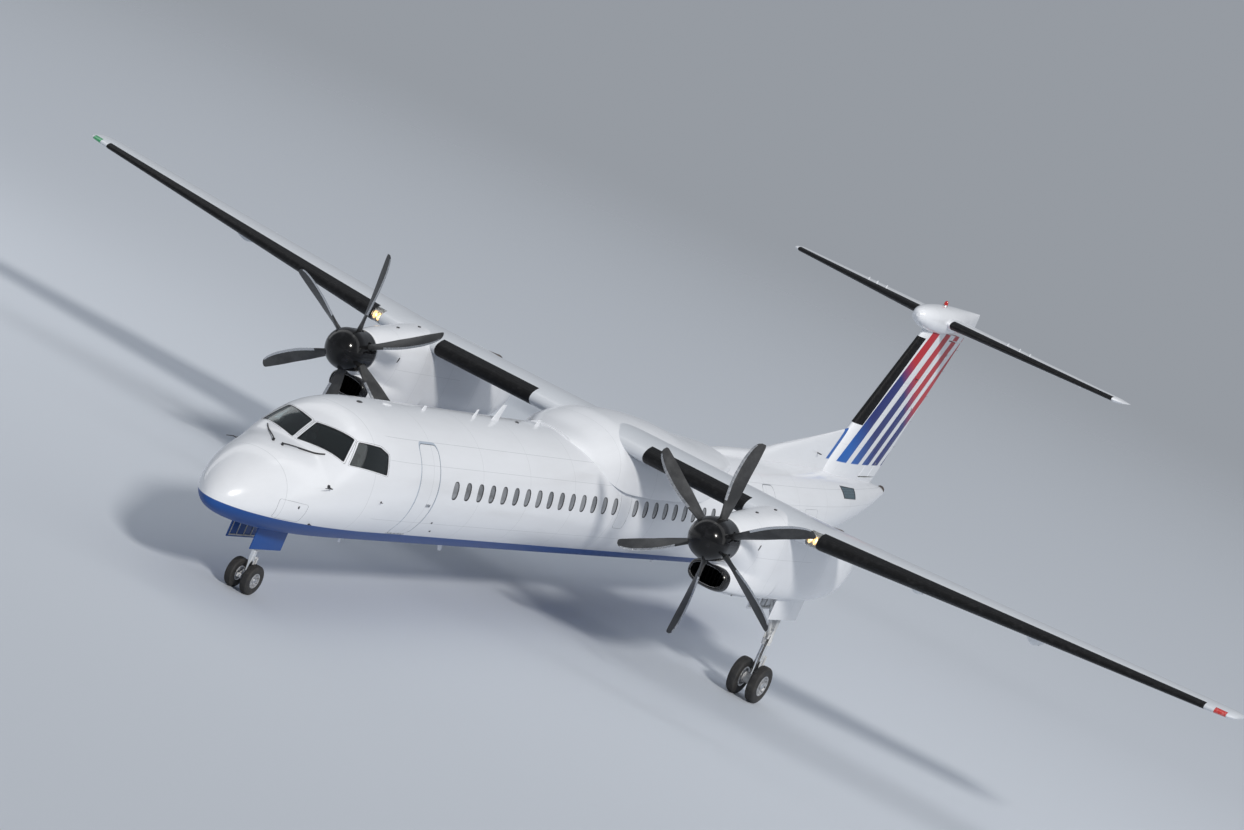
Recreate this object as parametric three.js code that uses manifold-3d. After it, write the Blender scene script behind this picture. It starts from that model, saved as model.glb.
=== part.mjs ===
// A high-wing twin turboprop airliner, standing level on its gear, in millimetres.
// Stations: x to port, y aft from the nose tip, z up from a datum just above the ground. The
// exported group is moved so that its origin lies on the ground under the middle of the aircraft.
import * as THREE from "three";
import { mergeVertices } from "three/addons/utils/BufferGeometryUtils.js";
import Module from "manifold-3d";

const wasm = await Module();
wasm.setup();

// Driving dimensions of the whole aircraft
const LENGTH = 32830;
const HALF_SPAN = 14210;
const TAIL_HALF_SPAN = 4635;
const NACELLE_X = 4400;
const NOSE_GEAR_Y = 2350;
const MAIN_GEAR_Y = 16290;
const GROUND_Z = -100; // the ground, below the datum
const AXIS_Z = 2400; // fuselage centreline above the datum
const FUSELAGE_HALF_WIDTH = 1345;
const PROPELLER_RADIUS = 2055;
const SEAM = 0.5; // gap between pieces that are fixed together
const CLEAR = 14; // gap round a hinged surface

// Paints and materials
const finish = (color, roughness, metalness) =>
  new THREE.MeshStandardMaterial({ color, roughness, metalness });
const WHITE_PAINT = finish(0xe6e9f0, 0.25, 0);
const BOOT_RUBBER = finish(0x111214, 0.4, 0);
const SPINNER_BLACK = finish(0x0d0d0e, 0.25, 0);
const BLADE_GREY = finish(0x2b2d30, 0.45, 0);
const COCKPIT_GLASS = finish(0x10242c, 0.08, 0);
const LAMP_GLASS = finish(0xd8d2c8, 0.1, 0);
const CABIN_TRIM = finish(0x5d605c, 0.7, 0);
const GEAR_GREY = finish(0xb9bdc2, 0.4, 0.5);
const WHEEL_METAL = finish(0xc9ccd0, 0.35, 0.7);
const TYRE_RUBBER = finish(0x17181a, 0.85, 0);
const ENGINE_METAL = finish(0x6d6a66, 0.5, 0.8);

// A closed solid from a three.js geometry
function solid(geometry) {
  const bare = geometry.clone();
  bare.deleteAttribute("normal");
  bare.deleteAttribute("uv");
  const merged = mergeVertices(bare, 1e-3);
  return new wasm.Manifold(
    new wasm.Mesh({
      numProp: 3,
      vertProperties: merged.attributes.position.array,
      triVerts: new Uint32Array(merged.index.array),
    }),
  );
}

// A body through rings of equally many points. Point 0 and the middle point of each ring are
// its two ends, so a cap zips the two sides between them.
function loft(rings) {
  const count = rings[0].length;
  const half = count / 2;
  const index = [];
  const quad = (a, b, c, d) => index.push(a, b, c, a, c, d);
  for (let i = 0; i + 1 < rings.length; i++)
    for (let j = 0; j < count; j++) {
      const next = (j + 1) % count;
      quad(i * count + j, i * count + next, (i + 1) * count + next, (i + 1) * count + j);
    }
  const last = (rings.length - 1) * count;
  index.push(0, count - 1, 1, half - 1, half + 1, half);
  index.push(last, last + 1, last + count - 1, last + half - 1, last + half, last + half + 1);
  for (let j = 1; j < half - 1; j++) {
    quad(count - j, count - j - 1, j + 1, j);
    quad(last + j, last + j + 1, last + count - j - 1, last + count - j);
  }
  const positions = new Float32Array(rings.flat(2));
  const geometry = new THREE.BufferGeometry();
  geometry.setAttribute("position", new THREE.BufferAttribute(positions, 3));
  geometry.setIndex(index);
  const made = solid(geometry);
  if (made.volume() > 0) return made;
  geometry.setIndex(index.reverse());
  return solid(geometry);
}

// A straight prism through a convex outline of 3-D corners, from `back` to `front` along a direction
function prism(corners, direction, back, front) {
  const at = (distance) => corners.map((c) => c.clone().addScaledVector(direction, distance));
  const points = [...at(back), ...at(front)];
  const count = corners.length;
  const index = [];
  for (let j = 0; j < count; j++) {
    const next = (j + 1) % count;
    index.push(j, next, count + next, j, count + next, count + j);
    if (j > 0 && j < count - 1) index.push(0, j + 1, j, count, count + j, count + j + 1);
  }
  const geometry = new THREE.BufferGeometry().setFromPoints(points);
  geometry.setIndex(index);
  const made = solid(geometry);
  if (made.volume() > 0) return made;
  geometry.setIndex(index.reverse());
  return solid(geometry);
}

const box = (x0, x1, y0, y1, z0, z1) =>
  solid(
    new THREE.BoxGeometry(x1 - x0, y1 - y0, z1 - z0).translate((x0 + x1) / 2, (y0 + y1) / 2, (z0 + z1) / 2),
  );

// A round bar between two points
function rod(from, to, radius, sides = 12) {
  const a = new THREE.Vector3(...from);
  const b = new THREE.Vector3(...to);
  const along = b.clone().sub(a);
  const geometry = new THREE.CylinderGeometry(radius, radius, along.length(), sides);
  const turn = new THREE.Quaternion().setFromUnitVectors(new THREE.Vector3(0, 1, 0), along.normalize());
  geometry.applyQuaternion(turn).translate((a.x + b.x) / 2, (a.y + b.y) / 2, (a.z + b.z) / 2);
  return solid(geometry);
}

// A turned body from [radius, place along the axis] points, about x or y
function turned(profile, axis, sides) {
  const geometry = new THREE.LatheGeometry(profile.map(([r, a]) => new THREE.Vector2(r, a)), sides);
  if (axis === "x") geometry.rotateZ(-Math.PI / 2);
  const made = solid(geometry);
  return made.volume() > 0 ? made : solid(new THREE.LatheGeometry(
    profile.toReversed().map(([r, a]) => new THREE.Vector2(r, a)), sides,
  ).rotateZ(axis === "x" ? -Math.PI / 2 : 0));
}

const union = (first, ...others) => others.reduce((made, other) => made.add(other), first);
const largest = (made) => made.decompose().reduce((a, b) => (a.volume() > b.volume() ? a : b));
const mirrored = (made) => made.mirror([1, 0, 0]);

// Values between the rows of a table, looked up by the rows' first column
function between(table, at) {
  let row = table.findIndex((r) => r[0] >= at);
  row = row < 1 ? 1 : row;
  const [low, high] = [table[row - 1], table[row]];
  const share = (at - low[0]) / (high[0] - low[0]);
  return low.map((value, column) => value + share * (high[column] - value));
}

// Fuselage sections: y, top z, bottom z, z of the widest line, half width, squareness above it
const TAIL_END = 31500;
const FUSELAGE = [
  [0, 1610, 1550, 1580, 30, 2],
  [50, 1770, 1465, 1600, 170, 2],
  [200, 1990, 1385, 1650, 355, 2],
  [500, 2250, 1305, 1720, 575, 2.1],
  [1000, 2540, 1230, 1820, 800, 2.2],
  [1500, 2715, 1185, 1920, 955, 2.3],
  [1930, 2815, 1160, 2010, 1060, 2.4],
  [2200, 3010, 1150, 2060, 1115, 2.45],
  [2500, 3225, 1140, 2110, 1165, 2.45],
  [2850, 3430, 1130, 2170, 1215, 2.4],
  [3300, 3590, 1125, 2240, 1270, 2.25],
  [3900, 3665, 1120, 2330, 1320, 2.1],
  [4600, 3680, 1120, AXIS_Z, FUSELAGE_HALF_WIDTH, 2],
  [6300, 3680, 1120, AXIS_Z, FUSELAGE_HALF_WIDTH, 2],
  [20600, 3680, 1120, AXIS_Z, FUSELAGE_HALF_WIDTH, 2],
  [22000, 3680, 1175, 2430, 1320, 2],
  [23700, 3675, 1360, 2510, 1235, 2],
  [25600, 3645, 1680, 2660, 1070, 2],
  [27500, 3580, 2030, 2850, 835, 2],
  [29200, 3500, 2390, 2990, 560, 2],
  [30500, 3430, 2760, 3110, 325, 2],
  [31150, 3370, 3010, 3195, 190, 2],
  [TAIL_END, 3330, 3120, 3225, 105, 2],
];
const NOSE_JOINT = 6300;
const TAIL_JOINT = 20600;
const HULL_POINTS = 28;
const WALL = 90;

function hullRing([y, top, bottom, wide, halfWidth, square], inset = 0) {
  return Array.from({ length: HULL_POINTS }, (_, i) => {
    const turn = (i / HULL_POINTS) * 2 * Math.PI;
    const power = 2 / (Math.cos(turn) > 0 ? square : 2);
    const across = Math.sign(Math.sin(turn)) * Math.abs(Math.sin(turn)) ** power;
    const up = Math.sign(Math.cos(turn)) * Math.abs(Math.cos(turn)) ** power;
    const reach = (up > 0 ? top - wide : wide - bottom) - inset;
    return [(halfWidth - inset) * across, y, wide + reach * up];
  });
}
function hull(from, to, inset = 0) {
  const rows = FUSELAGE.filter((row) => row[0] > from + 1 && row[0] < to - 1);
  const ends = [between(FUSELAGE, from), ...rows, between(FUSELAGE, to)];
  return loft(ends.map((row) => hullRing(row, inset)));
}

// Flight-deck panes: outlines on the port side, corner by corner, as x, y, z
const WINDSHIELD = [[45, 1985, 2845], [45, 2450, 3190], [745, 2690, 3215], [905, 2330, 2800]];
const SIDE_WINDOW = [[850, 2750, 3200], [1000, 2420, 2800], [1290, 3450, 2790], [1130, 3490, 3130], [1040, 3280, 3215]];
const PANE = 22;
function paneCutter(outline, shrink) {
  const corners = outline.map((c) => new THREE.Vector3(...c));
  const centre = corners.reduce((a, b) => a.clone().add(b)).divideScalar(corners.length);
  const first = corners[2].clone().sub(corners[0]);
  const normal = corners[3].clone().sub(corners[1]).cross(first).normalize();
  if (normal.x < 0) normal.negate();
  corners.forEach((c) => c.addScaledVector(c.clone().sub(centre).normalize(), -shrink));
  return prism(corners, normal, -230, 400);
}
function pane(outline) {
  return largest(hull(1500, 4600).subtract(hull(1500, 4600, PANE)).intersect(paneCutter(outline, SEAM)));
}

// Passenger door on the port side: its outline in y and z, cut right through the wall
const DOOR = { front: 4690, rear: 5440, sill: 1600, head: 3330, corner: 130, gap: 8, thickness: 80 };
const FLOOR_Z = 1590;
const CABIN = { front: 1950, rear: 6190 };
function doorCutter(shrink) {
  const [y0, y1, z0, z1] = [DOOR.front + shrink, DOOR.rear - shrink, DOOR.sill + shrink, DOOR.head - shrink];
  const r = DOOR.corner;
  const outline = new THREE.Shape();
  outline.moveTo(y0, z0).lineTo(y1, z0).lineTo(y1, z1 - r).absarc(y1 - r, z1 - r, r, 0, Math.PI / 2, false);
  outline.lineTo(y0 + r, z1).absarc(y0 + r, z1 - r, r, Math.PI / 2, Math.PI, false);
  const geometry = new THREE.ExtrudeGeometry(outline, { depth: 1100, bevelEnabled: false, curveSegments: 5 });
  // Local x, y, z become y, z, x
  geometry.applyMatrix4(new THREE.Matrix4().set(0, 0, 1, 500, 1, 0, 0, 0, 0, 1, 0, 0, 0, 0, 0, 1));
  return solid(geometry);
}
const DOOR_HINGE = { x: 1046, z: 1603, radius: 16 };
const doorHinge = (grow) => {
  const { x, z, radius } = DOOR_HINGE;
  return rod([x, DOOR.front + 40, z], [x, DOOR.rear - 40, z], radius + grow, 24);
};
const STEP = { count: 4, first: 1830, rise: 340, depth: 190, plate: 30, width: 520 };
function airstairDoor() {
  const shell = hull(4000, 6300).subtract(hull(4000, 6300, DOOR.thickness));
  let made = largest(shell.intersect(doorCutter(DOOR.gap))).add(doorHinge(0));
  const middle = (DOOR.front + DOOR.rear) / 2;
  for (let i = 0; i < STEP.count; i++) {
    const z = STEP.first + i * STEP.rise;
    const up = (z - AXIS_Z) / (3680 - AXIS_Z);
    const inner = (FUSELAGE_HALF_WIDTH - DOOR.thickness) * Math.sqrt(1 - up * up);
    made = made.add(
      box(inner - STEP.depth, inner + 30, middle - STEP.width / 2, middle + STEP.width / 2, z, z + STEP.plate),
    );
  }
  return made;
}

// Nose-gear bay in the belly, with its two open doors
const NOSE_BAY = { half: 250, front: 1600, rear: 2740, roof: 1470, doorDrop: 800, plate: 25 };
function noseSection() {
  const cabin = hull(CABIN.front, CABIN.rear, WALL).intersect(box(-1400, 1400, 1800, 6300, FLOOR_Z, 4000));
  let made = hull(0, NOSE_JOINT).subtract(cabin).subtract(doorCutter(0)).subtract(doorHinge(SEAM));
  for (const outline of [WINDSHIELD, SIDE_WINDOW]) {
    const cutter = paneCutter(outline, 0);
    made = made.subtract(cutter).subtract(mirrored(cutter));
  }
  const { half, front, rear, roof, doorDrop, plate } = NOSE_BAY;
  made = made.subtract(box(-half, half, front, rear, 900, roof));
  for (const side of [-1, 1]) {
    const [x0, x1] = side < 0 ? [-half - plate, -half] : [half, half + plate];
    made = made.add(box(x0, x1, front + 20, rear - 20, doorDrop, 1300));
  }
  return made;
}

// Seats, floor and instrument panel of the flight deck, in one piece
const SEAT = { x: 480, front: 3050, depth: 480, width: 500, pan: 2050, top: 2890 };
function flightDeck() {
  const floor = box(-820, 820, 2350, 4300, FLOOR_Z + SEAM, FLOOR_Z + 30);
  const panel = box(-700, 700, 2420, 2560, FLOOR_Z + 20, 2600);
  const hood = box(-720, 720, 2330, 2620, 2600, 2660);
  const pedestal = box(-150, 150, 2500, 3100, FLOOR_Z + 20, 2250);
  const seats = [-SEAT.x, SEAT.x].flatMap((x) => [
    box(x - 100, x + 100, SEAT.front + 120, SEAT.front + 380, FLOOR_Z + 20, SEAT.pan - 40),
    box(x - SEAT.width / 2, x + SEAT.width / 2, SEAT.front, SEAT.front + SEAT.depth, SEAT.pan - 50, SEAT.pan + 60),
    box(x - 220, x + 220, SEAT.front + SEAT.depth - 90, SEAT.front + SEAT.depth + 30, SEAT.pan, 2660),
    box(x - 130, x + 130, SEAT.front + SEAT.depth - 70, SEAT.front + SEAT.depth + 20, 2640, SEAT.top),
  ]);
  return union(floor, panel, hood, pedestal, ...seats);
}

// Lifting surfaces: a section has its chord along y, and its thickness along z (wing) or x (fin)
const ALONG_WING = (chordwise, thick, span) => [span, chordwise, thick];
const ALONG_FIN = (chordwise, thick, span) => [thick, chordwise, span];
const AEROFOIL_POINTS = 20;
const halfThickness = (c, t) =>
  5 * t * (0.2969 * Math.sqrt(c) - 0.126 * c - 0.3516 * c ** 2 + 0.2843 * c ** 3 - 0.1036 * c ** 4);
const camberAt = (c, camber) => 4 * camber * c * (1 - c);

// One section. Row: span place, leading edge y, chord, height or offset of the chord line, thickness
function aerofoilRing([span, lead, chord, offset, thickness], place, camber, inflate = 0) {
  return Array.from({ length: AEROFOIL_POINTS }, (_, i) => {
    const c = (1 + Math.cos((2 * Math.PI * i) / AEROFOIL_POINTS)) / 2;
    const side = i === 0 || i === AEROFOIL_POINTS / 2 ? 0 : i < AEROFOIL_POINTS / 2 ? 1 : -1;
    const thick = side * (halfThickness(c, thickness) * chord + inflate) + camberAt(c, camber) * chord;
    const stretch = (2 * c - 1) * inflate;
    return place(lead + c * chord + stretch, offset + thick, span);
  });
}
const surface = (rows, place, camber, inflate) =>
  loft(rows.map((row) => aerofoilRing(row, place, camber, inflate)));

// Everything aft of a hinge line, with a rounded front of the section's own half thickness plus
// a gap. A swept hinge crosses the sections at a slant, so that front is stretched there.
function behindHinge(rows, share, place, camber, gap) {
  const [first, last] = [rows[0], rows.at(-1)].map(([span, lead, chord]) => [span, lead + share * chord]);
  const skew = Math.hypot(1, (last[1] - first[1]) / (last[0] - first[0]));
  const HEIGHT = 700;
  const AFT = 3500;
  const ARC = 8;
  return loft(
    rows.map(([span, lead, chord, offset, thickness]) => {
      const y = lead + share * chord;
      const v = offset + camberAt(share, camber) * chord;
      const r = halfThickness(share, thickness) * chord + gap;
      const upper = [[y + AFT, 0], [y + AFT, HEIGHT], [y + 2, HEIGHT]];
      for (let i = 0; i < ARC; i++) {
        const turn = (i / ARC) * (Math.PI / 2);
        upper.push([y - r * skew * Math.sin(turn), r * Math.cos(turn)]);
      }
      const front = [y - r * skew, 0];
      const lower = upper.slice(1).reverse().map(([a, b]) => [a, -b]);
      return [...upper, front, ...lower].map(([a, b]) => place(a, v + b, span));
    }),
  );
}

// A block between two stations of a surface, from its leading edge back to a share of its chord
function leadingBlock(rows, share, place) {
  const DEPTH = 500;
  return loft(
    rows.map(([span, lead, chord, offset]) =>
      [
        [lead + share * chord, offset - DEPTH],
        [lead + share * chord, offset + DEPTH],
        [lead - DEPTH, offset + DEPTH],
        [lead - DEPTH, offset - DEPTH],
      ].map(([a, b]) => place(a, b, span)),
    ),
  );
}

// Wing: x, leading edge y, chord, z of the chord line, thickness over chord
const BREAK_X = 5000;
const CAMBER = 0.02;
const DIHEDRAL = Math.tan((3.3 * Math.PI) / 180);
const WING_Z = 3820;
const riseAt = (x) => WING_Z + (x - BREAK_X) * DIHEDRAL;
const CENTRE_WING = [
  [-BREAK_X, 13400, 2700, WING_Z, 0.18],
  [BREAK_X, 13400, 2700, WING_Z, 0.18],
];
const OUTER_WING = [
  [BREAK_X + SEAM, 13400, 2700, riseAt(BREAK_X), 0.18],
  [13800, 14500, 1330, riseAt(13800), 0.135],
  [14060, 14560, 1240, riseAt(14060), 0.125],
  [14170, 14660, 1080, riseAt(14170), 0.09],
  [HALF_SPAN, 14800, 860, riseAt(HALF_SPAN), 0.05],
];
const HINGE_SHARE = 0.73;
const BOOT_SHARE = 0.1;
const BOOT_SEAM = 0.0002; // in shares of the chord
const CENTRE_BOOT = [1400, 3810];
const OUTER_BOOT = [5500, 13600];
const LANDING_LIGHT = [5270, 5500];
const LAMP_SHARE = 0.075;
const INNER_FLAP = [1640, 3800];
const OUTER_FLAP = [5030, 9960];
const AILERON = [9990, 13680];
const FLAP_PIVOT_DROP = 350; // the flap's pivot lies this far below its nose
const TRACKS = { inner: [2700], outer: [7250, 9850], half: 95, below: 20, knuckle: 12, split: [-12, 6] };

const rowsAt = (table, places, grow = 0) => {
  const [from, to] = places;
  const inside = table.filter((row) => row[0] > from + 1 && row[0] < to - 1);
  return [between(table, from - grow), ...inside, between(table, to + grow)];
};

// The line on which a flap, aileron, elevator or rudder turns, at one place along the span
function hingePoint(table, span, share, place, camber, drop = 0) {
  const [, lead, chord, offset] = between(table, span);
  return place(lead + share * chord, offset + camberAt(share, camber) * chord - drop, span);
}
// Flap-track fairing: a slim boat under the wing, split at the flap's pivot. The front half is
// fixed, the rear half moves with the flap, and a knuckle joins them.
function trackFairing(x, table) {
  const [, pivotY, pivotZ] = hingePoint(table, x, HINGE_SHARE, ALONG_WING, CAMBER, FLAP_PIVOT_DROP);
  const PROFILE = [
    // distance aft of the pivot, depth share, half width share
    [-950, 0.25, 0.15],
    [-650, 0.7, 0.7],
    [-200, 1, 1],
    [250, 0.95, 0.9],
    [620, 0.5, 0.5],
    [860, 0.25, 0.12],
  ];
  const SIDES = 8;
  const depth = FLAP_PIVOT_DROP + TRACKS.below - 40;
  const roof = pivotZ - TRACKS.below + depth;
  return loft(
    PROFILE.map(([aft, deep, wide]) =>
      Array.from({ length: SIDES }, (_, i) => {
        const turn = (i / SIDES) * 2 * Math.PI;
        const low = roof + Math.cos(turn) * (Math.cos(turn) < 0 ? depth * deep : 10);
        return [x + Math.sin(turn) * TRACKS.half * wide, pivotY + aft, low];
      }),
    ),
  );
}
function trackHalf(x, table, aft) {
  const reach = TRACKS.half / 2;
  const ends = (apart) => [x - apart, x + apart].map((at) =>
    hingePoint(table, at, HINGE_SHARE, ALONG_WING, CAMBER, FLAP_PIVOT_DROP));
  const [, y, z] = hingePoint(table, x, HINGE_SHARE, ALONG_WING, CAMBER, FLAP_PIVOT_DROP);
  const [foreEnd, aftEnd] = TRACKS.split;
  const r = TRACKS.knuckle;
  if (aft) {
    const half = trackFairing(x, table).intersect(box(x - 300, x + 300, y + aftEnd, y + 2000, 2500, 5000));
    const web = box(x - reach + 3, x + reach - 3, y, y + aftEnd + 15, z - r / 3, z + r / 2);
    return union(half, rod(...ends(reach), r, 16), web);
  }
  const half = trackFairing(x, table).intersect(box(x - 300, x + 300, y - 2000, y + foreEnd, 2500, 5000));
  const seat = box(x - reach, x + reach, y - 40, y - 2, z - r, z + 2 * r);
  return union(half, seat).subtract(rod(...ends(2 * reach), r + 2 * SEAM, 16));
}

function trailingPiece(table, places) {
  const rows = rowsAt(table, places);
  return surface(rows, ALONG_WING, CAMBER).intersect(behindHinge(rows, HINGE_SHARE, ALONG_WING, CAMBER, 0));
}
// The pin a control surface turns on, which reaches across the gap at both of its ends. A leaning
// pin's square ends stop short by their own lean, so that they turn clear.
function pivotPin(table, [from, to], share, place, camber, room = CLEAR, radius = 11) {
  const end = (at) => hingePoint(table, at, share, place, camber);
  const [a, b] = [end(from), end(to)];
  const run = (to - from) / Math.hypot(b[0] - a[0], b[1] - a[1], b[2] - a[2]);
  const short = room - SEAM - radius * Math.sqrt(1 - run ** 2);
  return rod(end(from - short), end(to + short), radius, 12);
}
function trailingCut(table, places) {
  return behindHinge(rowsAt(table, places, CLEAR), HINGE_SHARE, ALONG_WING, CAMBER, CLEAR);
}
function flap(table, places, tracks) {
  return union(trailingPiece(table, places), ...tracks.map((x) => trackHalf(x, table, true)));
}
function aileron() {
  return trailingPiece(OUTER_WING, AILERON).add(pivotPin(OUTER_WING, AILERON, HINGE_SHARE, ALONG_WING, CAMBER));
}
function centreWing() {
  const boot = leadingBlock(rowsAt(CENTRE_WING, CENTRE_BOOT), BOOT_SHARE, ALONG_WING);
  const tracks = union(...TRACKS.inner.map((x) => trackHalf(x, CENTRE_WING, false)));
  const cut = boot.add(trailingCut(CENTRE_WING, INNER_FLAP));
  const made = surface(CENTRE_WING, ALONG_WING, CAMBER).add(tracks).add(mirrored(tracks));
  return made.subtract(cut).subtract(mirrored(cut));
}
function outerWing() {
  let made = surface(OUTER_WING, ALONG_WING, CAMBER);
  made = made.subtract(leadingBlock(rowsAt(OUTER_WING, OUTER_BOOT), BOOT_SHARE, ALONG_WING));
  made = made.subtract(leadingBlock(rowsAt(OUTER_WING, LANDING_LIGHT), LAMP_SHARE, ALONG_WING));
  for (const x of TRACKS.outer) made = made.add(trackHalf(x, OUTER_WING, false));
  made = made.subtract(trailingCut(OUTER_WING, OUTER_FLAP));
  return made.subtract(trailingCut(OUTER_WING, AILERON));
}
function wingEdge(table, [from, to], share) {
  const places = [from + SEAM, to - SEAM];
  const cutter = leadingBlock(rowsAt(table, places), share - BOOT_SEAM, ALONG_WING);
  return surface(table, ALONG_WING, CAMBER).intersect(cutter);
}

// Fairing over the fuselage that carries the wing: y, top z, half width, z of its lower edge
const FAIRING = [
  [11900, 3705, 500, 3560],
  [12500, 3800, 900, 3300],
  [13100, 3985, 1180, 3050],
  [13800, 4125, 1330, 2930],
  [15000, 4150, 1385, 2900],
  [16300, 4090, 1385, 2900],
  [17400, 3960, 1350, 2930],
  [18600, 3840, 1180, 3150],
  [19900, 3770, 700, 3500],
];
function wingFairing() {
  const rings = FAIRING.map(([y, top, half, low]) => {
    const COUNT = 24;
    return Array.from({ length: COUNT }, (_, i) => {
      const turn = (i / COUNT) * 2 * Math.PI;
      const across = Math.sign(Math.sin(turn)) * Math.abs(Math.sin(turn)) ** (2 / 2.3);
      const up = Math.abs(Math.cos(turn)) ** (2 / 2.3);
      return [half * across, y, Math.cos(turn) >= 0 ? low + (top - low) * up : low - 30 * up];
    });
  });
  const wing = surface(CENTRE_WING, ALONG_WING, CAMBER, SEAM);
  const flapRoom = trailingCut(CENTRE_WING, [INNER_FLAP[0] - 240, INNER_FLAP[1]]);
  let made = loft(rings).subtract(wing).subtract(hull(10000, 22500, -SEAM));
  made = made.subtract(flapRoom.intersect(box(1400, 4000, 13000, 18000, 3000, 5000)));
  return largest(made.subtract(mirrored(flapRoom).intersect(box(-4000, -1400, 13000, 18000, 3000, 5000))));
}
function centreFuselage() {
  return largest(hull(NOSE_JOINT + SEAM, TAIL_JOINT).subtract(surface(CENTRE_WING, ALONG_WING, CAMBER, SEAM)));
}

// Nacelles: y, top z, bottom z, half width, squareness. The chin duct under the spinner is a
// second, lower body that runs into the first.
const SPINNER_Z = 3320;
const PROPELLER_Y = 11150;
const COWL = [
  [11470, 3750, 2890, 430, 2],
  [11950, 3850, 2760, 480, 2.2],
  [12600, 3930, 2520, 535, 2.5],
  [13300, 4010, 2290, 560, 3],
  [14400, 4090, 2210, 565, 3.4],
  [15900, 3950, 2210, 560, 3.4],
  [16900, 3825, 2235, 530, 3.2],
  [17700, 3700, 2350, 450, 3],
  [18300, 3570, 2560, 320, 2.8],
  [18620, 3450, 2760, 200, 2.6],
];
const CHIN = [
  [11560, 2790, 2350, 400, 2.6],
  [11620, 2815, 2325, 425, 2.6],
  [12100, 2840, 2270, 470, 2.6],
  [13000, 3000, 2225, 520, 2.8],
  [13900, 3200, 2215, 545, 3],
];
const NACELLE_POINTS = 20;
const bodyRing = ([y, top, bottom, half, square], grow = 0) =>
  Array.from({ length: NACELLE_POINTS }, (_, i) => {
    const turn = (i / NACELLE_POINTS) * 2 * Math.PI;
    const bend = (s) => Math.sign(s) * Math.abs(s) ** (2 / square);
    const middle = (top + bottom) / 2;
    return [(half + grow) * bend(Math.sin(turn)), y, middle + (middle - bottom + grow) * bend(Math.cos(turn))];
  });
const DUCT_GROW = -42; // the intake's lip is this thick
const ENGINE = { half: 350, front: 12350, rear: 14550, low: 2870, high: 3620, room: 20 };
const EXHAUST = { z: 3600, radius: 150 };
const WELL = { half: 250, front: 15050, rear: 16620, roof: 2620, plate: 25, drop: 1780 };
function nacelle() {
  let made = loft(COWL.map((row) => bodyRing(row))).add(loft(CHIN.map((row) => bodyRing(row))));
  const mouth = CHIN.slice(0, 4).map((row, i) => [i === 0 ? row[0] - 40 : row[0], ...row.slice(1)]);
  const duct = loft(mouth.map((row) => bodyRing(row, DUCT_GROW)));
  const { half, front, rear, low, high, room } = ENGINE;
  const bay = box(-half - room, half + room, front - room, rear + room, low, high + room);
  made = made.subtract(duct).subtract(bay).subtract(box(-200, 200, 12500, 12980, 2600, low + 5));
  made = made.subtract(box(-WELL.half, WELL.half, WELL.front, WELL.rear, 2000, WELL.roof));
  for (const side of [-1, 1]) {
    const x = side * (WELL.half + WELL.plate / 2);
    const y = [WELL.front + 30, WELL.rear - 30];
    made = made.add(box(x - WELL.plate / 2, x + WELL.plate / 2, ...y, WELL.drop, 2400));
  }
  const flange = rod([0, PROPELLER_Y + SPINNER.rear + SEAM, SPINNER_Z], [0, 11600, SPINNER_Z], 150, 20);
  const pipe = rod([0, 16500, 3720], [0, 17650, EXHAUST.z], EXHAUST.radius, 20);
  made = union(made, flange, pipe).subtract(rod([0, 17000, 3670], [0, 18600, EXHAUST.z], EXHAUST.radius - 14, 20));
  const wing = surface(CENTRE_WING, ALONG_WING, CAMBER, SEAM).translate([-NACELLE_X, 0, 0]);
  return largest(made.subtract(wing));
}
const engineBlock = () =>
  box(-ENGINE.half, ENGINE.half, ENGINE.front, ENGINE.rear, ENGINE.low + SEAM, ENGINE.high);

// Propellers, about their own axis along y, with the blades' plane at y = 0
const SPINNER = { radius: 435, front: -650, rear: 300, hubRadius: 260, hubFront: -230, rootRadius: 92 };
const BLADES = 6;
const BLADE = [
  // radius from the axis, chord, thickness over chord, pitch in degrees, sweep of the mid chord
  [230, 165, 0.95, 62, 0],
  [440, 190, 0.6, 60, 0],
  [740, 270, 0.2, 53, 10],
  [1150, 325, 0.1, 44, 15],
  [1600, 310, 0.065, 37, -15],
  [1900, 240, 0.05, 33, -60],
  [PROPELLER_RADIUS, 110, 0.05, 31, -115],
];
function blade() {
  const POINTS = 8;
  return loft(
    BLADE.map(([radius, chord, thickness, pitch, sweep]) =>
      Array.from({ length: POINTS }, (_, i) => {
        const turn = (2 * Math.PI * i) / POINTS;
        const along = (Math.cos(turn) / 2) * chord - sweep;
        const thick = ((Math.sin(turn) * thickness) / 2) * chord;
        const b = (pitch * Math.PI) / 180;
        return [
          along * Math.cos(b) + thick * Math.sin(b),
          along * Math.sin(b) - thick * Math.cos(b),
          radius,
        ];
      }),
    ),
  );
}
const bladeTurns = Array.from({ length: BLADES }, (_, i) => [0, (360 / BLADES) * i, 0]);
function bladesAndHub() {
  const { hubRadius, hubFront, rear } = SPINNER;
  const hub = turned([[0, hubFront], [hubRadius, hubFront], [hubRadius, rear - 60], [0, rear - 60]], "y", 20);
  return union(hub, ...bladeTurns.map((turn) => blade().rotate(turn)));
}
function spinner() {
  const { radius, front, rear, hubRadius, hubFront, rootRadius } = SPINNER;
  const STEPS = 6;
  const profile = Array.from({ length: STEPS + 1 }, (_, i) => {
    const turn = (i / STEPS) * (Math.PI / 2);
    return [radius * Math.sin(turn) ** 0.92, -200 + (front + 200) * Math.cos(turn)];
  });
  let made = turned([...profile, [radius, rear - 20], [radius - 20, rear], [0, rear]], "y", 24);
  const room = SEAM;
  made = made.subtract(rod([0, hubFront - room, 0], [0, rear - 60 + room, 0], hubRadius + room, 20));
  for (const turn of bladeTurns)
    made = made.subtract(rod([0, 0, 200], [0, 0, 600], rootRadius + 12, 12).rotate(turn));
  return made;
}

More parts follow.
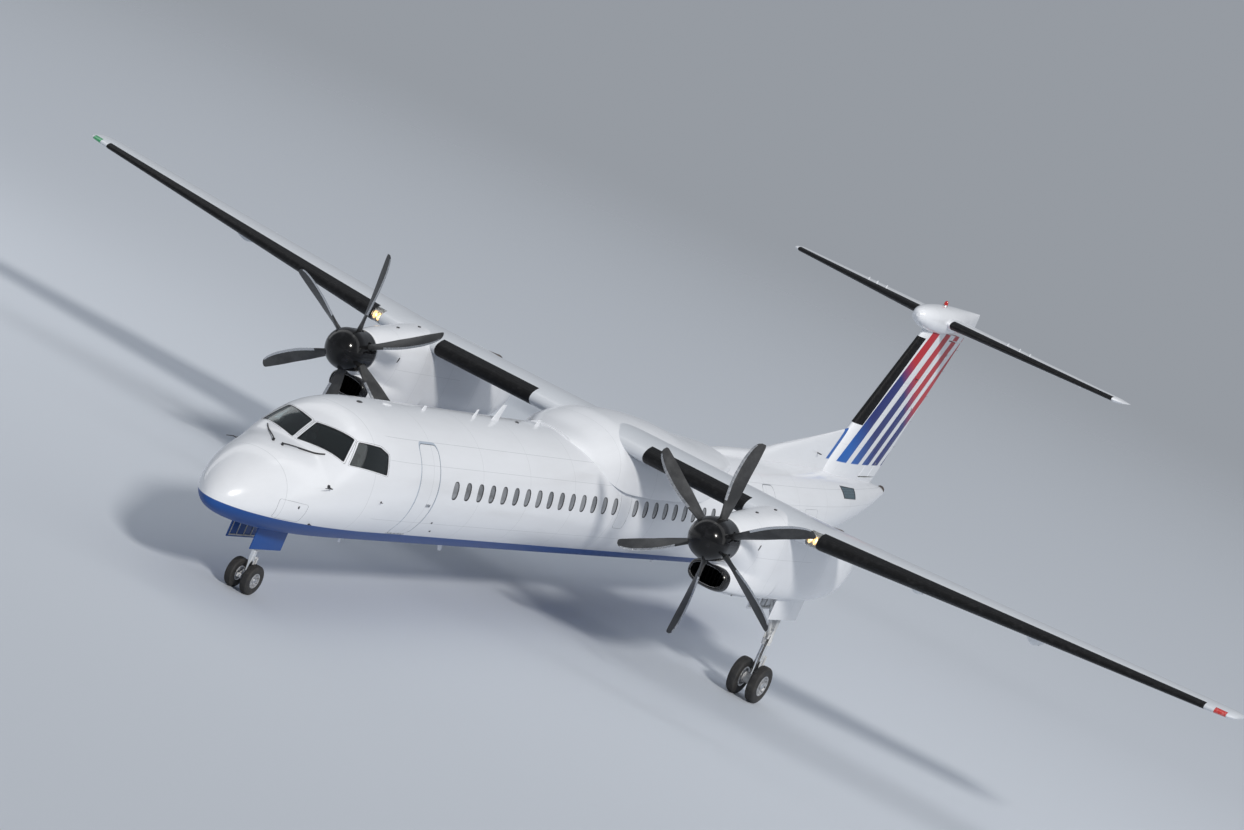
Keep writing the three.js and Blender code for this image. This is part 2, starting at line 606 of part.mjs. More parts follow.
// Wheels, about their axle along x: half track, tyre radius and width, rim radius, axle radius.
// The axle is fixed to its leg, and each hub turns on it. A wheel stands on one of its flats.
const MAIN_WHEEL = { half: 230, radius: 405, width: 222, rim: 203, axle: 50 };
const NOSE_WHEEL = { half: 172, radius: 280, width: 165, rim: 128, axle: 36 };
const WHEEL_SIDES = 20;
const FLAT_DOWN = [180 / WHEEL_SIDES, 0, 0];
const AXLE_ROOM = 0.93;
function hub({ half, width, rim, axle }) {
  const bore = axle + AXLE_ROOM;
  const seat = width * 0.38;
  const edge = width * 0.45;
  const flange = rim + width * 0.1;
  const outline = [
    [bore, seat * -0.5],
    [flange, -edge],
    [flange, -seat],
    [rim, -seat],
    [rim, seat],
    [flange, seat],
    [flange, edge],
    [rim * 0.75, seat * 0.35],
    [bore, edge],
    [bore, seat * -0.5],
  ];
  return turned(outline.map(([r, a]) => [r, a + half]), "x", WHEEL_SIDES).rotate(FLAT_DOWN);
}
const axleRod = ({ half, width, axle }, z) => {
  const end = half + width * 0.45;
  return rod([-end, 0, z], [end, 0, z], axle);
};
function tyre({ half, radius, width, rim }) {
  const seat = width * 0.38 - SEAM;
  const tread = radius / Math.cos(Math.PI / WHEEL_SIDES);
  const side = [
    [rim + SEAM, seat],
    [rim + width * 0.1 + 3, seat],
    [rim + width * 0.22, width * 0.5],
    [tread - width * 0.3, width * 0.5],
    [tread - width * 0.1, width * 0.4],
    [tread, width * 0.2],
  ];
  const outline = [...side, ...side.toReversed().map(([r, a]) => [r, -a]), side[0]];
  return turned(outline.map(([r, a]) => [r, a + half]), "x", WHEEL_SIDES).rotate(FLAT_DOWN);
}

// Main leg, about the foot of its own upright: a strut, piston, axle lug, torque links and brace
function mainLeg() {
  const z = MAIN_WHEEL.radius;
  const roof = WELL.roof - GROUND_Z;
  const strut = rod([0, 0, 1200], [0, 0, roof - SEAM], 105);
  const piston = rod([0, 0, z], [0, 0, 1300], 66);
  const lug = rod([-112, 0, z], [112, 0, z], 96);
  const links = union(
    box(-45, 45, 40, 300, 600, 640),
    box(-45, 45, 250, 310, 600, 950),
    box(-45, 45, 60, 310, 910, 950),
    box(-45, 45, 60, 130, 910, 1350),
  );
  const brace = rod([0, 0, 1380], [0, -1040, roof - 140], 48);
  const crossTube = rod([-170, -1030, roof - 150], [170, -1030, roof - 150], 60);
  const trunnion = rod([SEAM - WELL.half, 0, roof - 200], [WELL.half - SEAM, 0, roof - 200], 70);
  return union(strut, piston, lug, links, brace, crossTube, trunnion, axleRod(MAIN_WHEEL, z));
}

// Nose leg: the upper cylinder stays, and the piston, lug and tow fitting turn in it
const NOSE_CYLINDER = { foot: 850, radius: 84, bore: 60.5, boreTop: 1400 };
function noseCylinder() {
  const { foot, radius, bore, boreTop } = NOSE_CYLINDER;
  const roof = NOSE_BAY.roof - GROUND_Z;
  const reach = NOSE_BAY.half - SEAM;
  const outer = rod([0, 0, foot], [0, 0, roof - SEAM], radius);
  const brace = rod([0, 0, 1040], [0, -560, roof - 45], 34);
  const braceTube = rod([-reach, -545, roof - 50], [reach, -545, roof - 50], 38);
  const trunnion = rod([-reach, 0, roof - 70], [reach, 0, roof - 70], 50);
  return union(outer, brace, braceTube, trunnion).subtract(rod([0, 0, foot - 50], [0, 0, boreTop], bore, 24));
}
const TOW_LUG = { half: 45, front: -190, low: 235, high: 325 };
function noseFork() {
  const z = NOSE_WHEEL.radius;
  const piston = rod([0, 0, z], [0, 0, NOSE_CYLINDER.boreTop - SEAM], 55, 24);
  const lug = rod([-76, 0, z], [76, 0, z], 72);
  const links = union(
    box(-30, 30, 30, 190, 420, 445),
    box(-30, 30, 160, 195, 420, 640),
    box(-30, 30, 40, 195, 615, 640),
    box(-30, 30, 40, 75, 615, 820),
    rod([0, 0, 780], [0, 0, 840], 84),
  );
  const { half, front, low, high } = TOW_LUG;
  const tow = box(-half, half, front, -40, low, high);
  return union(piston, lug, links, tow, axleRod(NOSE_WHEEL, z));
}

// Fin: z, leading edge y, chord, offset, thickness over chord
const FIN = [
  [3150, 26520, 3990, 0, 0.11],
  [3500, 26760, 3860, 0, 0.11],
  [7460, 29530, 2930, 0, 0.1],
];
const FIN_BOOT = [4850, 7240];
const FIN_BOOT_SHARE = 0.085;
const RUDDER_SPAN = [3600, 7300];
const RUDDER_ROOM = 34; // above and below it, since its hinge leans and its corners climb
const FORE_HINGE = 0.62;
const REAR_HINGE = 0.82;
const RUDDER_PADS = [[3900, 3960], [5400, 5460], [6900, 6960]]; // from and to, in z
// Dorsal fin and spine ahead of it: y, top z, half width at its foot
const DORSAL = [
  [19950, 3720, 250],
  [21000, 3790, 330],
  [22500, 3830, 300],
  [24000, 4080, 200],
  [27300, 4640, 95],
  [27700, 4720, 80],
];
function finBody() {
  const dorsal = loft(
    DORSAL.map(([y, top, half]) => {
      const [, crown] = between(FUSELAGE, y);
      const foot = crown - 150;
      const rise = top - foot;
      const upper = [[0, 1], [0.35, 0.93], [0.5, 0.7], [0.62, 0.35], [0.9, 0.12], [1, -0.1]];
      const right = upper.map(([across, up]) => [half * across, y, foot + rise * up]);
      const left = right.slice(1, -1).reverse().map(([x, at, z]) => [-x, at, z]);
      const middle = [0, y, foot - rise * 0.2];
      return [right[0], ...right.slice(1), middle, [-right[5][0], y, right[5][2]], ...left];
    }),
  );
  let made = surface(FIN, ALONG_FIN, 0).add(dorsal).subtract(hull(17000, TAIL_END, -SEAM));
  const span = rowsAt(FIN, RUDDER_SPAN, RUDDER_ROOM);
  made = made.subtract(behindHinge(span, FORE_HINGE, ALONG_FIN, 0, CLEAR));
  made = made.subtract(leadingBlock(rowsAt(FIN, FIN_BOOT), FIN_BOOT_SHARE, ALONG_FIN));
  return largest(made.subtract(bullet(SEAM)));
}
function finBoot() {
  const rows = rowsAt(FIN, [FIN_BOOT[0] + SEAM, FIN_BOOT[1] - SEAM]);
  return surface(FIN, ALONG_FIN, 0).intersect(leadingBlock(rows, FIN_BOOT_SHARE - BOOT_SEAM, ALONG_FIN));
}
function foreRudder() {
  const rows = rowsAt(FIN, RUDDER_SPAN);
  const cut = rowsAt(FIN, RUDDER_SPAN, CLEAR);
  const made = surface(rows, ALONG_FIN, 0)
    .intersect(behindHinge(rows, FORE_HINGE, ALONG_FIN, 0, 0))
    .subtract(behindHinge(cut, REAR_HINGE, ALONG_FIN, 0, CLEAR));
  return made.add(pivotPin(FIN, RUDDER_SPAN, FORE_HINGE, ALONG_FIN, 0, RUDDER_ROOM, 18));
}
// The trailing rudder is carried by the fore rudder, on bearing pads in front of its rounded nose
function trailingRudder() {
  const rows = rowsAt(FIN, RUDDER_SPAN);
  const hinge = (z) => hingePoint(FIN, z, REAR_HINGE, ALONG_FIN, 0);
  const pads = RUDDER_PADS.map(([low, high]) => {
    const [, , chord, , thickness] = between(FIN, high);
    const radius = halfThickness(REAR_HINGE, thickness) * chord + CLEAR - 2 * SEAM;
    return rod(hinge(low), hinge(high), radius, 24).intersect(box(-30, 30, 28000, hinge(low)[1], 3000, 8000));
  });
  const made = surface(rows, ALONG_FIN, 0);
  return union(made.intersect(behindHinge(rows, REAR_HINGE, ALONG_FIN, 0, 0)), ...pads);
}

// Tailplane and the bullet that carries it: x, leading edge y, chord, z, thickness over chord
const TAIL_Z = 7770;
const TAILPLANE = [
  [0, 29750, 2470, TAIL_Z, 0.12],
  [350, 29860, 2370, TAIL_Z, 0.12],
  [4480, 31130, 1230, TAIL_Z, 0.11],
  [4590, 31230, 1080, TAIL_Z, 0.08],
  [TAIL_HALF_SPAN, 31400, 850, TAIL_Z, 0.05],
];
const TAIL_BOOT = [420, 4460];
const ELEVATOR = [420, 4440];
const ELEVATOR_HINGE = 0.62;
const BEACON_TOP = 8240;
const BULLET = [
  // y, top z, bottom z, half width
  [28700, 7790, 7690, 45],
  [28790, 7900, 7590, 165],
  [29050, 7985, 7500, 265],
  [29500, 8050, 7430, 335],
  [30200, 8105, 7410, 355],
  [31100, 8130, 7480, 285],
  [32000, 8130, 7600, 150],
  [LENGTH, 8120, 7740, 18],
];
function bullet(grow = 0) {
  return loft(
    BULLET.map(([y, top, bottom, half], i) => {
      const end = i === 0 ? -grow : i === BULLET.length - 1 ? grow : 0;
      return bodyRing([y + end, top, bottom, half, 2.2], grow);
    }),
  );
}
function tailplane() {
  const side = surface(TAILPLANE, ALONG_WING, 0);
  const aft = behindHinge(rowsAt(TAILPLANE, ELEVATOR, CLEAR), ELEVATOR_HINGE, ALONG_WING, 0, CLEAR);
  const boot = leadingBlock(rowsAt(TAILPLANE, TAIL_BOOT), BOOT_SHARE, ALONG_WING);
  const half = side.subtract(aft).subtract(boot);
  const join = surface([TAILPLANE[0].with(0, -200), TAILPLANE[0].with(0, 200)], ALONG_WING, 0);
  return half.add(mirrored(half)).add(join);
}
function tailBullet() {
  const half = surface(TAILPLANE, ALONG_WING, 0, SEAM);
  const join = surface([TAILPLANE[0].with(0, -200), TAILPLANE[0].with(0, 200)], ALONG_WING, 0, SEAM);
  const cut = union(half, mirrored(half), join);
  const aft = rowsAt(TAILPLANE, [0, ELEVATOR[1]]);
  const room = behindHinge(aft, ELEVATOR_HINGE, ALONG_WING, 0, CLEAR);
  const side = room.intersect(box(ELEVATOR[0] - CLEAR, 3000, 29000, 34000, 7000, 8500));
  const beacon = rod([0, 30200, 7950], [0, 30200, BEACON_TOP], 60, 12);
  return largest(bullet().add(beacon).subtract(cut).subtract(side).subtract(mirrored(side)));
}
function tailBoot() {
  const rows = rowsAt(TAILPLANE, [TAIL_BOOT[0] + SEAM, TAIL_BOOT[1] - SEAM]);
  return surface(TAILPLANE, ALONG_WING, 0).intersect(leadingBlock(rows, BOOT_SHARE - BOOT_SEAM, ALONG_WING));
}
function elevator() {
  const rows = rowsAt(TAILPLANE, ELEVATOR);
  const flapping = behindHinge(rows, ELEVATOR_HINGE, ALONG_WING, 0, 0);
  const pin = pivotPin(TAILPLANE, ELEVATOR, ELEVATOR_HINGE, ALONG_WING, 0);
  return surface(rows, ALONG_WING, 0).intersect(flapping).add(pin);
}

// Assembly: each piece is one named mesh, and pieces on wheels, legs and propellers sit in groups
const aircraft = new THREE.Group();
aircraft.position.set(0, -LENGTH / 2, -GROUND_Z);
function add(name, made, material, parent = aircraft) {
  const { numProp, numVert, vertProperties, triVerts } = made.getMesh();
  const points = new Float32Array(numVert * 3);
  for (let i = 0; i < numVert; i++) points.set(vertProperties.subarray(i * numProp, i * numProp + 3), i * 3);
  const geometry = new THREE.BufferGeometry();
  geometry.setAttribute("position", new THREE.BufferAttribute(points, 3));
  geometry.setIndex(new THREE.BufferAttribute(triVerts, 1));
  geometry.computeVertexNormals();
  const mesh = new THREE.Mesh(geometry, material);
  mesh.name = name;
  parent.add(mesh);
}
function groupAt(x, y, z) {
  const group = new THREE.Group();
  group.position.set(x, y, z);
  aircraft.add(group);
  return group;
}

add("nose_section", noseSection(), WHITE_PAINT);
add("centre_fuselage", centreFuselage(), WHITE_PAINT);
add("aft_fuselage", hull(TAIL_JOINT + SEAM, TAIL_END), WHITE_PAINT);
add("wing_fairing", wingFairing(), WHITE_PAINT);
add("flight_deck", flightDeck(), CABIN_TRIM);
add("airstair_door", airstairDoor(), WHITE_PAINT);
add("wing_centre_section", centreWing(), WHITE_PAINT);
add("fin", finBody(), WHITE_PAINT);
add("deice_boot_fin", finBoot(), BOOT_RUBBER);
add("rudder_fore", foreRudder(), WHITE_PAINT);
add("rudder_trailing", trailingRudder(), WHITE_PAINT);
add("tailplane", tailplane(), WHITE_PAINT);
add("tail_bullet", tailBullet(), WHITE_PAINT);

const handed = [
  // name, port piece, material
  ["windshield", pane(WINDSHIELD), COCKPIT_GLASS],
  ["side_window", pane(SIDE_WINDOW), COCKPIT_GLASS],
  ["outer_wing", outerWing(), WHITE_PAINT],
  ["deice_boot_centre", wingEdge(CENTRE_WING, CENTRE_BOOT, BOOT_SHARE), BOOT_RUBBER],
  ["deice_boot_outer", wingEdge(OUTER_WING, OUTER_BOOT, BOOT_SHARE), BOOT_RUBBER],
  ["landing_light", wingEdge(OUTER_WING, LANDING_LIGHT, LAMP_SHARE), LAMP_GLASS],
  ["flap_inner", flap(CENTRE_WING, INNER_FLAP, TRACKS.inner), WHITE_PAINT],
  ["flap_outer", flap(OUTER_WING, OUTER_FLAP, TRACKS.outer), WHITE_PAINT],
  ["aileron", aileron(), WHITE_PAINT],
  ["deice_boot_tail", tailBoot(), BOOT_RUBBER],
  ["elevator", elevator(), WHITE_PAINT],
];
for (const [name, made, material] of handed) {
  add(name + "_left", made, material);
  add(name + "_right", mirrored(made), material);
}

for (const [side, sign] of [["left", 1], ["right", -1]]) {
  const pod = groupAt(sign * NACELLE_X, 0, 0);
  add("nacelle_" + side, nacelle(), WHITE_PAINT, pod);
  add("engine_" + side, engineBlock(), ENGINE_METAL, pod);
  const propeller = groupAt(sign * NACELLE_X, PROPELLER_Y, SPINNER_Z);
  add("propeller_" + side, bladesAndHub(), BLADE_GREY, propeller);
  add("spinner_" + side, spinner(), SPINNER_BLACK, propeller);
  const leg = groupAt(sign * NACELLE_X, MAIN_GEAR_Y, GROUND_Z);
  add("main_leg_" + side, mainLeg(), GEAR_GREY, leg);
  const wheels = groupAt(sign * NACELLE_X, MAIN_GEAR_Y, GROUND_Z + MAIN_WHEEL.radius);
  const outward = (made) => (sign > 0 ? made : mirrored(made));
  add("main_hub_" + side + "_outer", outward(hub(MAIN_WHEEL)), WHEEL_METAL, wheels);
  add("main_hub_" + side + "_inner", outward(mirrored(hub(MAIN_WHEEL))), WHEEL_METAL, wheels);
  add("main_tyre_" + side + "_outer", outward(tyre(MAIN_WHEEL)), TYRE_RUBBER, wheels);
  add("main_tyre_" + side + "_inner", outward(mirrored(tyre(MAIN_WHEEL))), TYRE_RUBBER, wheels);
}

const noseLeg = groupAt(0, NOSE_GEAR_Y, GROUND_Z);
add("nose_leg", noseCylinder(), GEAR_GREY, noseLeg);
add("nose_fork", noseFork(), GEAR_GREY, noseLeg);
const noseWheels = groupAt(0, NOSE_GEAR_Y, GROUND_Z + NOSE_WHEEL.radius);
add("nose_hub_left", hub(NOSE_WHEEL), WHEEL_METAL, noseWheels);
add("nose_hub_right", mirrored(hub(NOSE_WHEEL)), WHEEL_METAL, noseWheels);
add("nose_tyre_left", tyre(NOSE_WHEEL), TYRE_RUBBER, noseWheels);
add("nose_tyre_right", mirrored(tyre(NOSE_WHEEL)), TYRE_RUBBER, noseWheels);

export default aircraft;
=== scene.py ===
# A high-wing airliner with two turboprops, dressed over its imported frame. Lengths are in metres.
import math

import bmesh
import bpy
from mathutils import Matrix, Vector


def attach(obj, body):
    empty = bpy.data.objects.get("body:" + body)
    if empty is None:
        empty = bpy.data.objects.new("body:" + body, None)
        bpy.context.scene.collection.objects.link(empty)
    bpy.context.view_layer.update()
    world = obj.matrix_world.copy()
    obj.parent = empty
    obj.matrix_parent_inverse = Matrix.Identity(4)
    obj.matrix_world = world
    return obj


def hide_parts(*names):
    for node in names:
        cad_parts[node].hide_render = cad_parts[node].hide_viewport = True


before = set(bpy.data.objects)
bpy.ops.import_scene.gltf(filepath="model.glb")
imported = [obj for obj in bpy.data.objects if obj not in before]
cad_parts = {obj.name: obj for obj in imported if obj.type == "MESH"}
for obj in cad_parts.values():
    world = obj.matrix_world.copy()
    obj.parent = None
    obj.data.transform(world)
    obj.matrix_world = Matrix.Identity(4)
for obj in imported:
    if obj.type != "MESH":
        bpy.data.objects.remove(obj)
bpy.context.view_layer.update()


# Camera: long lens from ahead and to port, a little above, with the aircraft banked in the picture.
# The frame is 1244 by 830, and the lens and place were fitted to the wing, tail and fuselage.
PHOTO_WIDTH = 1244
FOCAL_PIXELS = 3792
view_from = Vector((30.306, -72.566, 13.423))
heading, pitch, bank = math.radians(23.11), math.radians(-6.77), math.radians(24.22)
lens = bpy.data.cameras.new("long_lens")
lens.sensor_width = 36
lens.lens = lens.sensor_width * FOCAL_PIXELS / PHOTO_WIDTH
lens.clip_end = 3000
camera = bpy.data.objects.new("camera", lens)
bpy.context.scene.collection.objects.link(camera)
camera.matrix_world = (
    Matrix.Translation(view_from)
    @ Matrix.Rotation(heading, 4, "Z")
    @ Matrix.Rotation(math.radians(90) + pitch, 4, "X")
    @ Matrix.Rotation(bank, 4, "Z")
)
bpy.context.scene.camera = camera


# Apron: a plain pale floor that fades out well away from the aircraft, so that no edge of it and
# no horizon cuts across the picture. Seen from below it is open, and shows the belly. Every piece
# is drawn in stations: y aft from the nose tip, and z up from a datum over the ground.
STATIONS_TO_FRAME = Vector((0, -16.415, 0.1))


def new_material(name):
    """A material, its node tree and its surface shader."""
    material = bpy.data.materials.new(name)
    material.use_nodes = True
    tree = material.node_tree
    return material, tree, tree.nodes["Principled BSDF"]


def node(tree, kind, **settings):
    """Adds a shader node. Settings named i_NAME or i_0 set its inputs, and the rest its options."""
    made = tree.nodes.new("ShaderNode" + kind)
    for key, value in settings.items():
        if key.startswith("i_"):
            key = int(key[2:]) if key[2:].isdigit() else key[2:].replace("_", " ")
            if isinstance(value, bpy.types.NodeSocket):
                tree.links.new(value, made.inputs[key])
            else:
                made.inputs[key].default_value = value
        else:
            setattr(made, key, value)
    return made


def math_node(tree, operation, a, b=0.0, clamp=False):
    """One sum on two values in a material."""
    made = node(tree, "Math", operation=operation, i_0=a, i_1=b)
    made.use_clamp = clamp
    return made.outputs[0]


def place_mesh(bm, name, material, smooth=None):
    """Turns a bmesh in stations into an object at the frame's origin. Edges sharper than `smooth`
    degrees stay hard."""
    bmesh.ops.translate(bm, verts=bm.verts, vec=STATIONS_TO_FRAME)
    mesh = bpy.data.meshes.new(name)
    bm.to_mesh(mesh)
    bm.free()
    if material:
        mesh.materials.append(material)
    if smooth is not None:
        mesh.shade_smooth()
        mesh.set_sharp_from_angle(angle=math.radians(smooth))
    piece = bpy.data.objects.new(name, mesh)
    bpy.context.scene.collection.objects.link(piece)
    return piece


FLOOR_RADIUS = 260
FLOOR_FADE = (45, 150)
disc = bmesh.new()
bmesh.ops.create_circle(disc, cap_ends=True, segments=96, radius=FLOOR_RADIUS,
                        matrix=Matrix.Translation(-STATIONS_TO_FRAME))
floor_paint, tree, shader = new_material("pale_floor")
shader.inputs["Base Color"].default_value = (0.60, 0.64, 0.70, 1)
shader.inputs["Roughness"].default_value = 0.7
place = node(tree, "TexCoord").outputs["Object"]
distance = node(tree, "VectorMath", operation="LENGTH", i_0=place).outputs["Value"]
fade = node(tree, "MapRange", i_0=distance, i_1=FLOOR_FADE[0], i_2=FLOOR_FADE[1])
fade.interpolation_type = "SMOOTHSTEP"
open_below = node(tree, "NewGeometry").outputs["Backfacing"]
see_through = math_node(tree, "MAXIMUM", fade.outputs[0], open_below)
clear = node(tree, "BsdfTransparent")
mixed = node(tree, "MixShader", i_0=see_through, i_1=shader.outputs[0], i_2=clear.outputs[0])
tree.links.new(mixed.outputs[0], tree.nodes["Material Output"].inputs["Surface"])
place_mesh(disc, "studio_floor", floor_paint)


# Studio light: an even pale surround, one broad soft key from ahead, above and to port, where the
# sun stands in the photograph, and two long overhead panels that run along the gloss of the paint.
KEY_FROM = Vector((0.95, -0.85, 0.80))
PANEL_OUT, PANEL_HEIGHT, PANEL_AIM = 19, 24, 3
world = bpy.data.worlds.new("surround")
bpy.context.scene.world = world
world.use_nodes = True
surround = world.node_tree.nodes["Background"]
surround.inputs["Color"].default_value = (0.80, 0.86, 0.95, 1)
surround.inputs["Strength"].default_value = 0.38
bpy.context.scene.view_settings.view_transform = "Standard"
sun = bpy.data.lights.new("key", "SUN")
sun.energy = 2.1
sun.angle = math.radians(7)
sun.color = (1.0, 0.965, 0.91)
key = bpy.data.objects.new("key", sun)
bpy.context.scene.collection.objects.link(key)
key.rotation_euler = (-KEY_FROM).to_track_quat("-Z", "Y").to_euler()
for side in (1, -1):
    panel = bpy.data.lights.new("panel", "AREA")
    panel.shape = "RECTANGLE"
    panel.size, panel.size_y = 9, 60
    panel.energy = 1700
    lamp = bpy.data.objects.new("panel", panel)
    bpy.context.scene.collection.objects.link(lamp)
    lamp.location = (side * PANEL_OUT, 0, PANEL_HEIGHT)
    aim = Vector((-side * PANEL_OUT, 0, PANEL_AIM - PANEL_HEIGHT))
    lamp.rotation_euler = aim.to_track_quat("-Z", "Y").to_euler()



# Fuselage: riveted light-alloy barrels with a moulded nose cap, gloss white over a blue keel. It
# is one smooth skin in three lengths. The flight deck is hollow behind the first, and the panes,
# the passenger door and the nose gear's bay are cut through it. Rows: station aft of the nose
# tip, top, bottom, widest line, half width, and squareness of the upper half.
FUSELAGE = [
    (0.0, 1.61, 1.55, 1.58, 0.03, 2), (0.05, 1.77, 1.465, 1.60, 0.17, 2), (0.2, 1.99, 1.385, 1.65, 0.355, 2),
    (0.5, 2.25, 1.305, 1.72, 0.575, 2.1), (1.0, 2.54, 1.23, 1.82, 0.80, 2.2),
    (1.5, 2.715, 1.185, 1.92, 0.955, 2.3),
    (1.93, 2.815, 1.16, 2.01, 1.06, 2.4), (2.2, 3.01, 1.15, 2.06, 1.115, 2.45),
    (2.5, 3.225, 1.14, 2.11, 1.165, 2.45),
    (2.85, 3.43, 1.13, 2.17, 1.215, 2.4), (3.3, 3.59, 1.125, 2.24, 1.27, 2.25),
    (3.9, 3.665, 1.12, 2.33, 1.32, 2.1),
    (4.6, 3.68, 1.12, 2.40, 1.345, 2), (6.3, 3.68, 1.12, 2.40, 1.345, 2), (20.6, 3.68, 1.12, 2.40, 1.345, 2),
    (22.0, 3.68, 1.175, 2.43, 1.32, 2), (23.7, 3.675, 1.36, 2.51, 1.235, 2),
    (25.6, 3.645, 1.68, 2.66, 1.07, 2),
    (27.5, 3.58, 2.03, 2.85, 0.835, 2), (29.2, 3.50, 2.39, 2.99, 0.56, 2), (30.5, 3.43, 2.76, 3.11, 0.325, 2),
    (31.15, 3.37, 3.01, 3.195, 0.19, 2), (31.5, 3.33, 3.12, 3.225, 0.105, 2),
]
NOSE_JOINT, TAIL_JOINT, TAIL_END = 6.3, 20.6, 31.5
HULL_SIDES = 96
SIDES = ((1, "left"), (-1, "right"))


def turns(count):
    """Angles set evenly round a circle."""
    return [2 * math.pi * k / count for k in range(count)]


def bowed(value, power):
    """A sine or cosine to a power, which squares or sharpens a curve, with its sign kept."""
    return math.copysign(abs(value) ** power, value)


def smooth_row(table, at, scale=lambda s: s):
    """A row between those of a table, on a curve through them that never overshoots."""
    i = next((k for k in range(1, len(table) - 1) if table[k][0] >= at), len(table) - 1)
    before, low = table[max(i - 2, 0)], table[i - 1]
    high, after = table[i], table[min(i + 1, len(table) - 1)]
    s0, s1, s2, s3 = (scale(row[0]) for row in (before, low, high, after))
    span = s2 - s1
    t = (scale(at) - s1) / span
    row = [at]
    for a, b, c, d in list(zip(before, low, high, after))[1:]:
        rise = (c - b) / span
        ends = []
        for change, gap in ((b - a, s1 - s0), (d - c, s3 - s2)):
            other = change / gap if gap else rise
            ends.append(2 * rise * other / (rise + other) if rise * other > 0 else 0.0)
        row.append(
            b * (1 + 2 * t) * (1 - t) ** 2 + ends[0] * span * t * (1 - t) ** 2
            + c * t * t * (3 - 2 * t) - ends[1] * span * t * t * (1 - t)
        )
    return row


def hull_row(y):
    """The fuselage's row at a station, read over the station's root so that the nose is blunt."""
    return smooth_row(FUSELAGE, y, math.sqrt)


def hull_ring(y, inset=0.0):
    """The outline of the fuselage at one station, from the top round to port."""
    y, top, bottom, wide, half, square = hull_row(y)
    ring = []
    for turn in turns(HULL_SIDES):
        power = 2 / (square if math.cos(turn) > 0 else 2)
        across, up = bowed(math.sin(turn), power), bowed(math.cos(turn), power)
        reach = (top - wide if up > 0 else wide - bottom) - inset
        ring.append(Vector(((half - inset) * across, y, wide + reach * up)))
    return ring


def hull_x(y, z, inset=0.0):
    """How far out the fuselage's side lies at one station and height."""
    y, top, bottom, wide, half, square = hull_row(y)
    reach, power = (top - wide, square) if z > wide else (wide - bottom, 2)
    up = min(abs(z - wide) / (reach - inset), 1)
    return (half - inset) * (1 - up ** power) ** (1 / power)


def steps(start, end, count):
    """Even steps from one value to another, both ends with them."""
    return [start + (end - start) * k / count for k in range(count + 1)]


def loft(bm, rings, closed=False):
    """Skins a bmesh through rings of points, then caps both ends or joins them to each other."""
    loops, skin = [], []
    for ring in rings:
        verts = bmesh.ops.create_circle(bm, segments=len(ring), radius=1)["verts"]
        for vert, point in zip(verts, ring):
            vert.co = point
        loops.append({edge for vert in verts for edge in vert.link_edges})
    for near, far in zip(loops, loops[1:] + loops[:1] if closed else loops[1:]):
        skin += bmesh.ops.bridge_loops(bm, edges=list(near | far))["faces"]
    for end in () if closed else (loops[0], loops[-1]):
        skin += bmesh.ops.contextual_create(bm, geom=list(end))["faces"]
    bmesh.ops.recalc_face_normals(bm, faces=skin)
    return skin


def solid(rings, name, material=None):
    """A piece skinned through rings."""
    bm = bmesh.new()
    loft(bm, rings)
    return place_mesh(bm, name, material)


def carve(piece, cutter, operation="DIFFERENCE"):
    """Cuts one closed piece with another for good, keeps the cutter's finish, and removes it."""
    knife = piece.modifiers.new("carve", "BOOLEAN")
    knife.operation, knife.object = operation, cutter
    knife.solver, knife.material_mode = "EXACT", "TRANSFER"
    bpy.context.view_layer.update()
    made = bpy.data.meshes.new_from_object(piece.evaluated_get(bpy.context.evaluated_depsgraph_get()))
    piece.modifiers.clear()
    piece.data = made
    bpy.data.objects.remove(cutter)


def cut(piece, rings, lining, operation="DIFFERENCE"):
    """Carves a piece with a solid skinned through rings, whose cut faces take the lining."""
    carve(piece, solid(rings, "cutter", lining), operation)


def soften(piece, angle=32):
    """Shades a piece smooth but for its sharp edges."""
    piece.data.shade_smooth()
    piece.data.set_sharp_from_angle(angle=math.radians(angle))


def prism(corners, direction, back, front):
    """Rings for a straight bar through an outline, from `back` to `front` along a direction."""
    return [[corner + direction * reach for corner in corners] for reach in (back, front)]


def block(bm, x0, x1, y0, y1, z0, z1):
    """Adds a plain box between six bounds."""
    size = Matrix.Diagonal((x1 - x0, y1 - y0, z1 - z0, 1))
    middle = Matrix.Translation(((x0 + x1) / 2, (y0 + y1) / 2, (z0 + z1) / 2))
    return bmesh.ops.create_cube(bm, size=1, matrix=middle @ size)["verts"]


def cut_block(piece, bounds, lining):
    """Carves a plain box out of a piece."""
    bm = bmesh.new()
    block(bm, *bounds)
    carve(piece, place_mesh(bm, "cutter", lining))


def bevel(bm, edges, offset, segments=3):
    """Rounds some edges."""
    bmesh.ops.bevel(bm, geom=edges, offset=offset, segments=segments, profile=0.5, affect="EDGES",
                    material=-1)


def mirror_outline(corners):
    """The same points on the other side."""
    return [Vector((-c.x, c.y, c.z)) for c in corners]


def to_side(rings, side):
    """Rings drawn to port, on either side."""
    return rings if side > 0 else [mirror_outline(ring) for ring in rings]


def near(tree, value, at, half):
    """1 within `half` of a place, with a soft edge."""
    away = math_node(tree, "ABSOLUTE", math_node(tree, "SUBTRACT", value, at))
    return node(tree, "MapRange", i_0=away, i_1=half, i_2=half * 0.5).outputs[0]


def every(tree, value, pitch, half, start=0.0):
    """Lines at an even pitch."""
    away = math_node(tree, "PINGPONG", math_node(tree, "SUBTRACT", value, start), pitch / 2)
    return node(tree, "MapRange", i_0=away, i_1=half, i_2=half * 0.5).outputs[0]


def ramp(tree, value, low, high, to_low=0.0, to_high=1.0):
    """Maps a value from one range to another."""
    return node(tree, "MapRange", i_0=value, i_1=low, i_2=high, i_3=to_low, i_4=to_high).outputs[0]


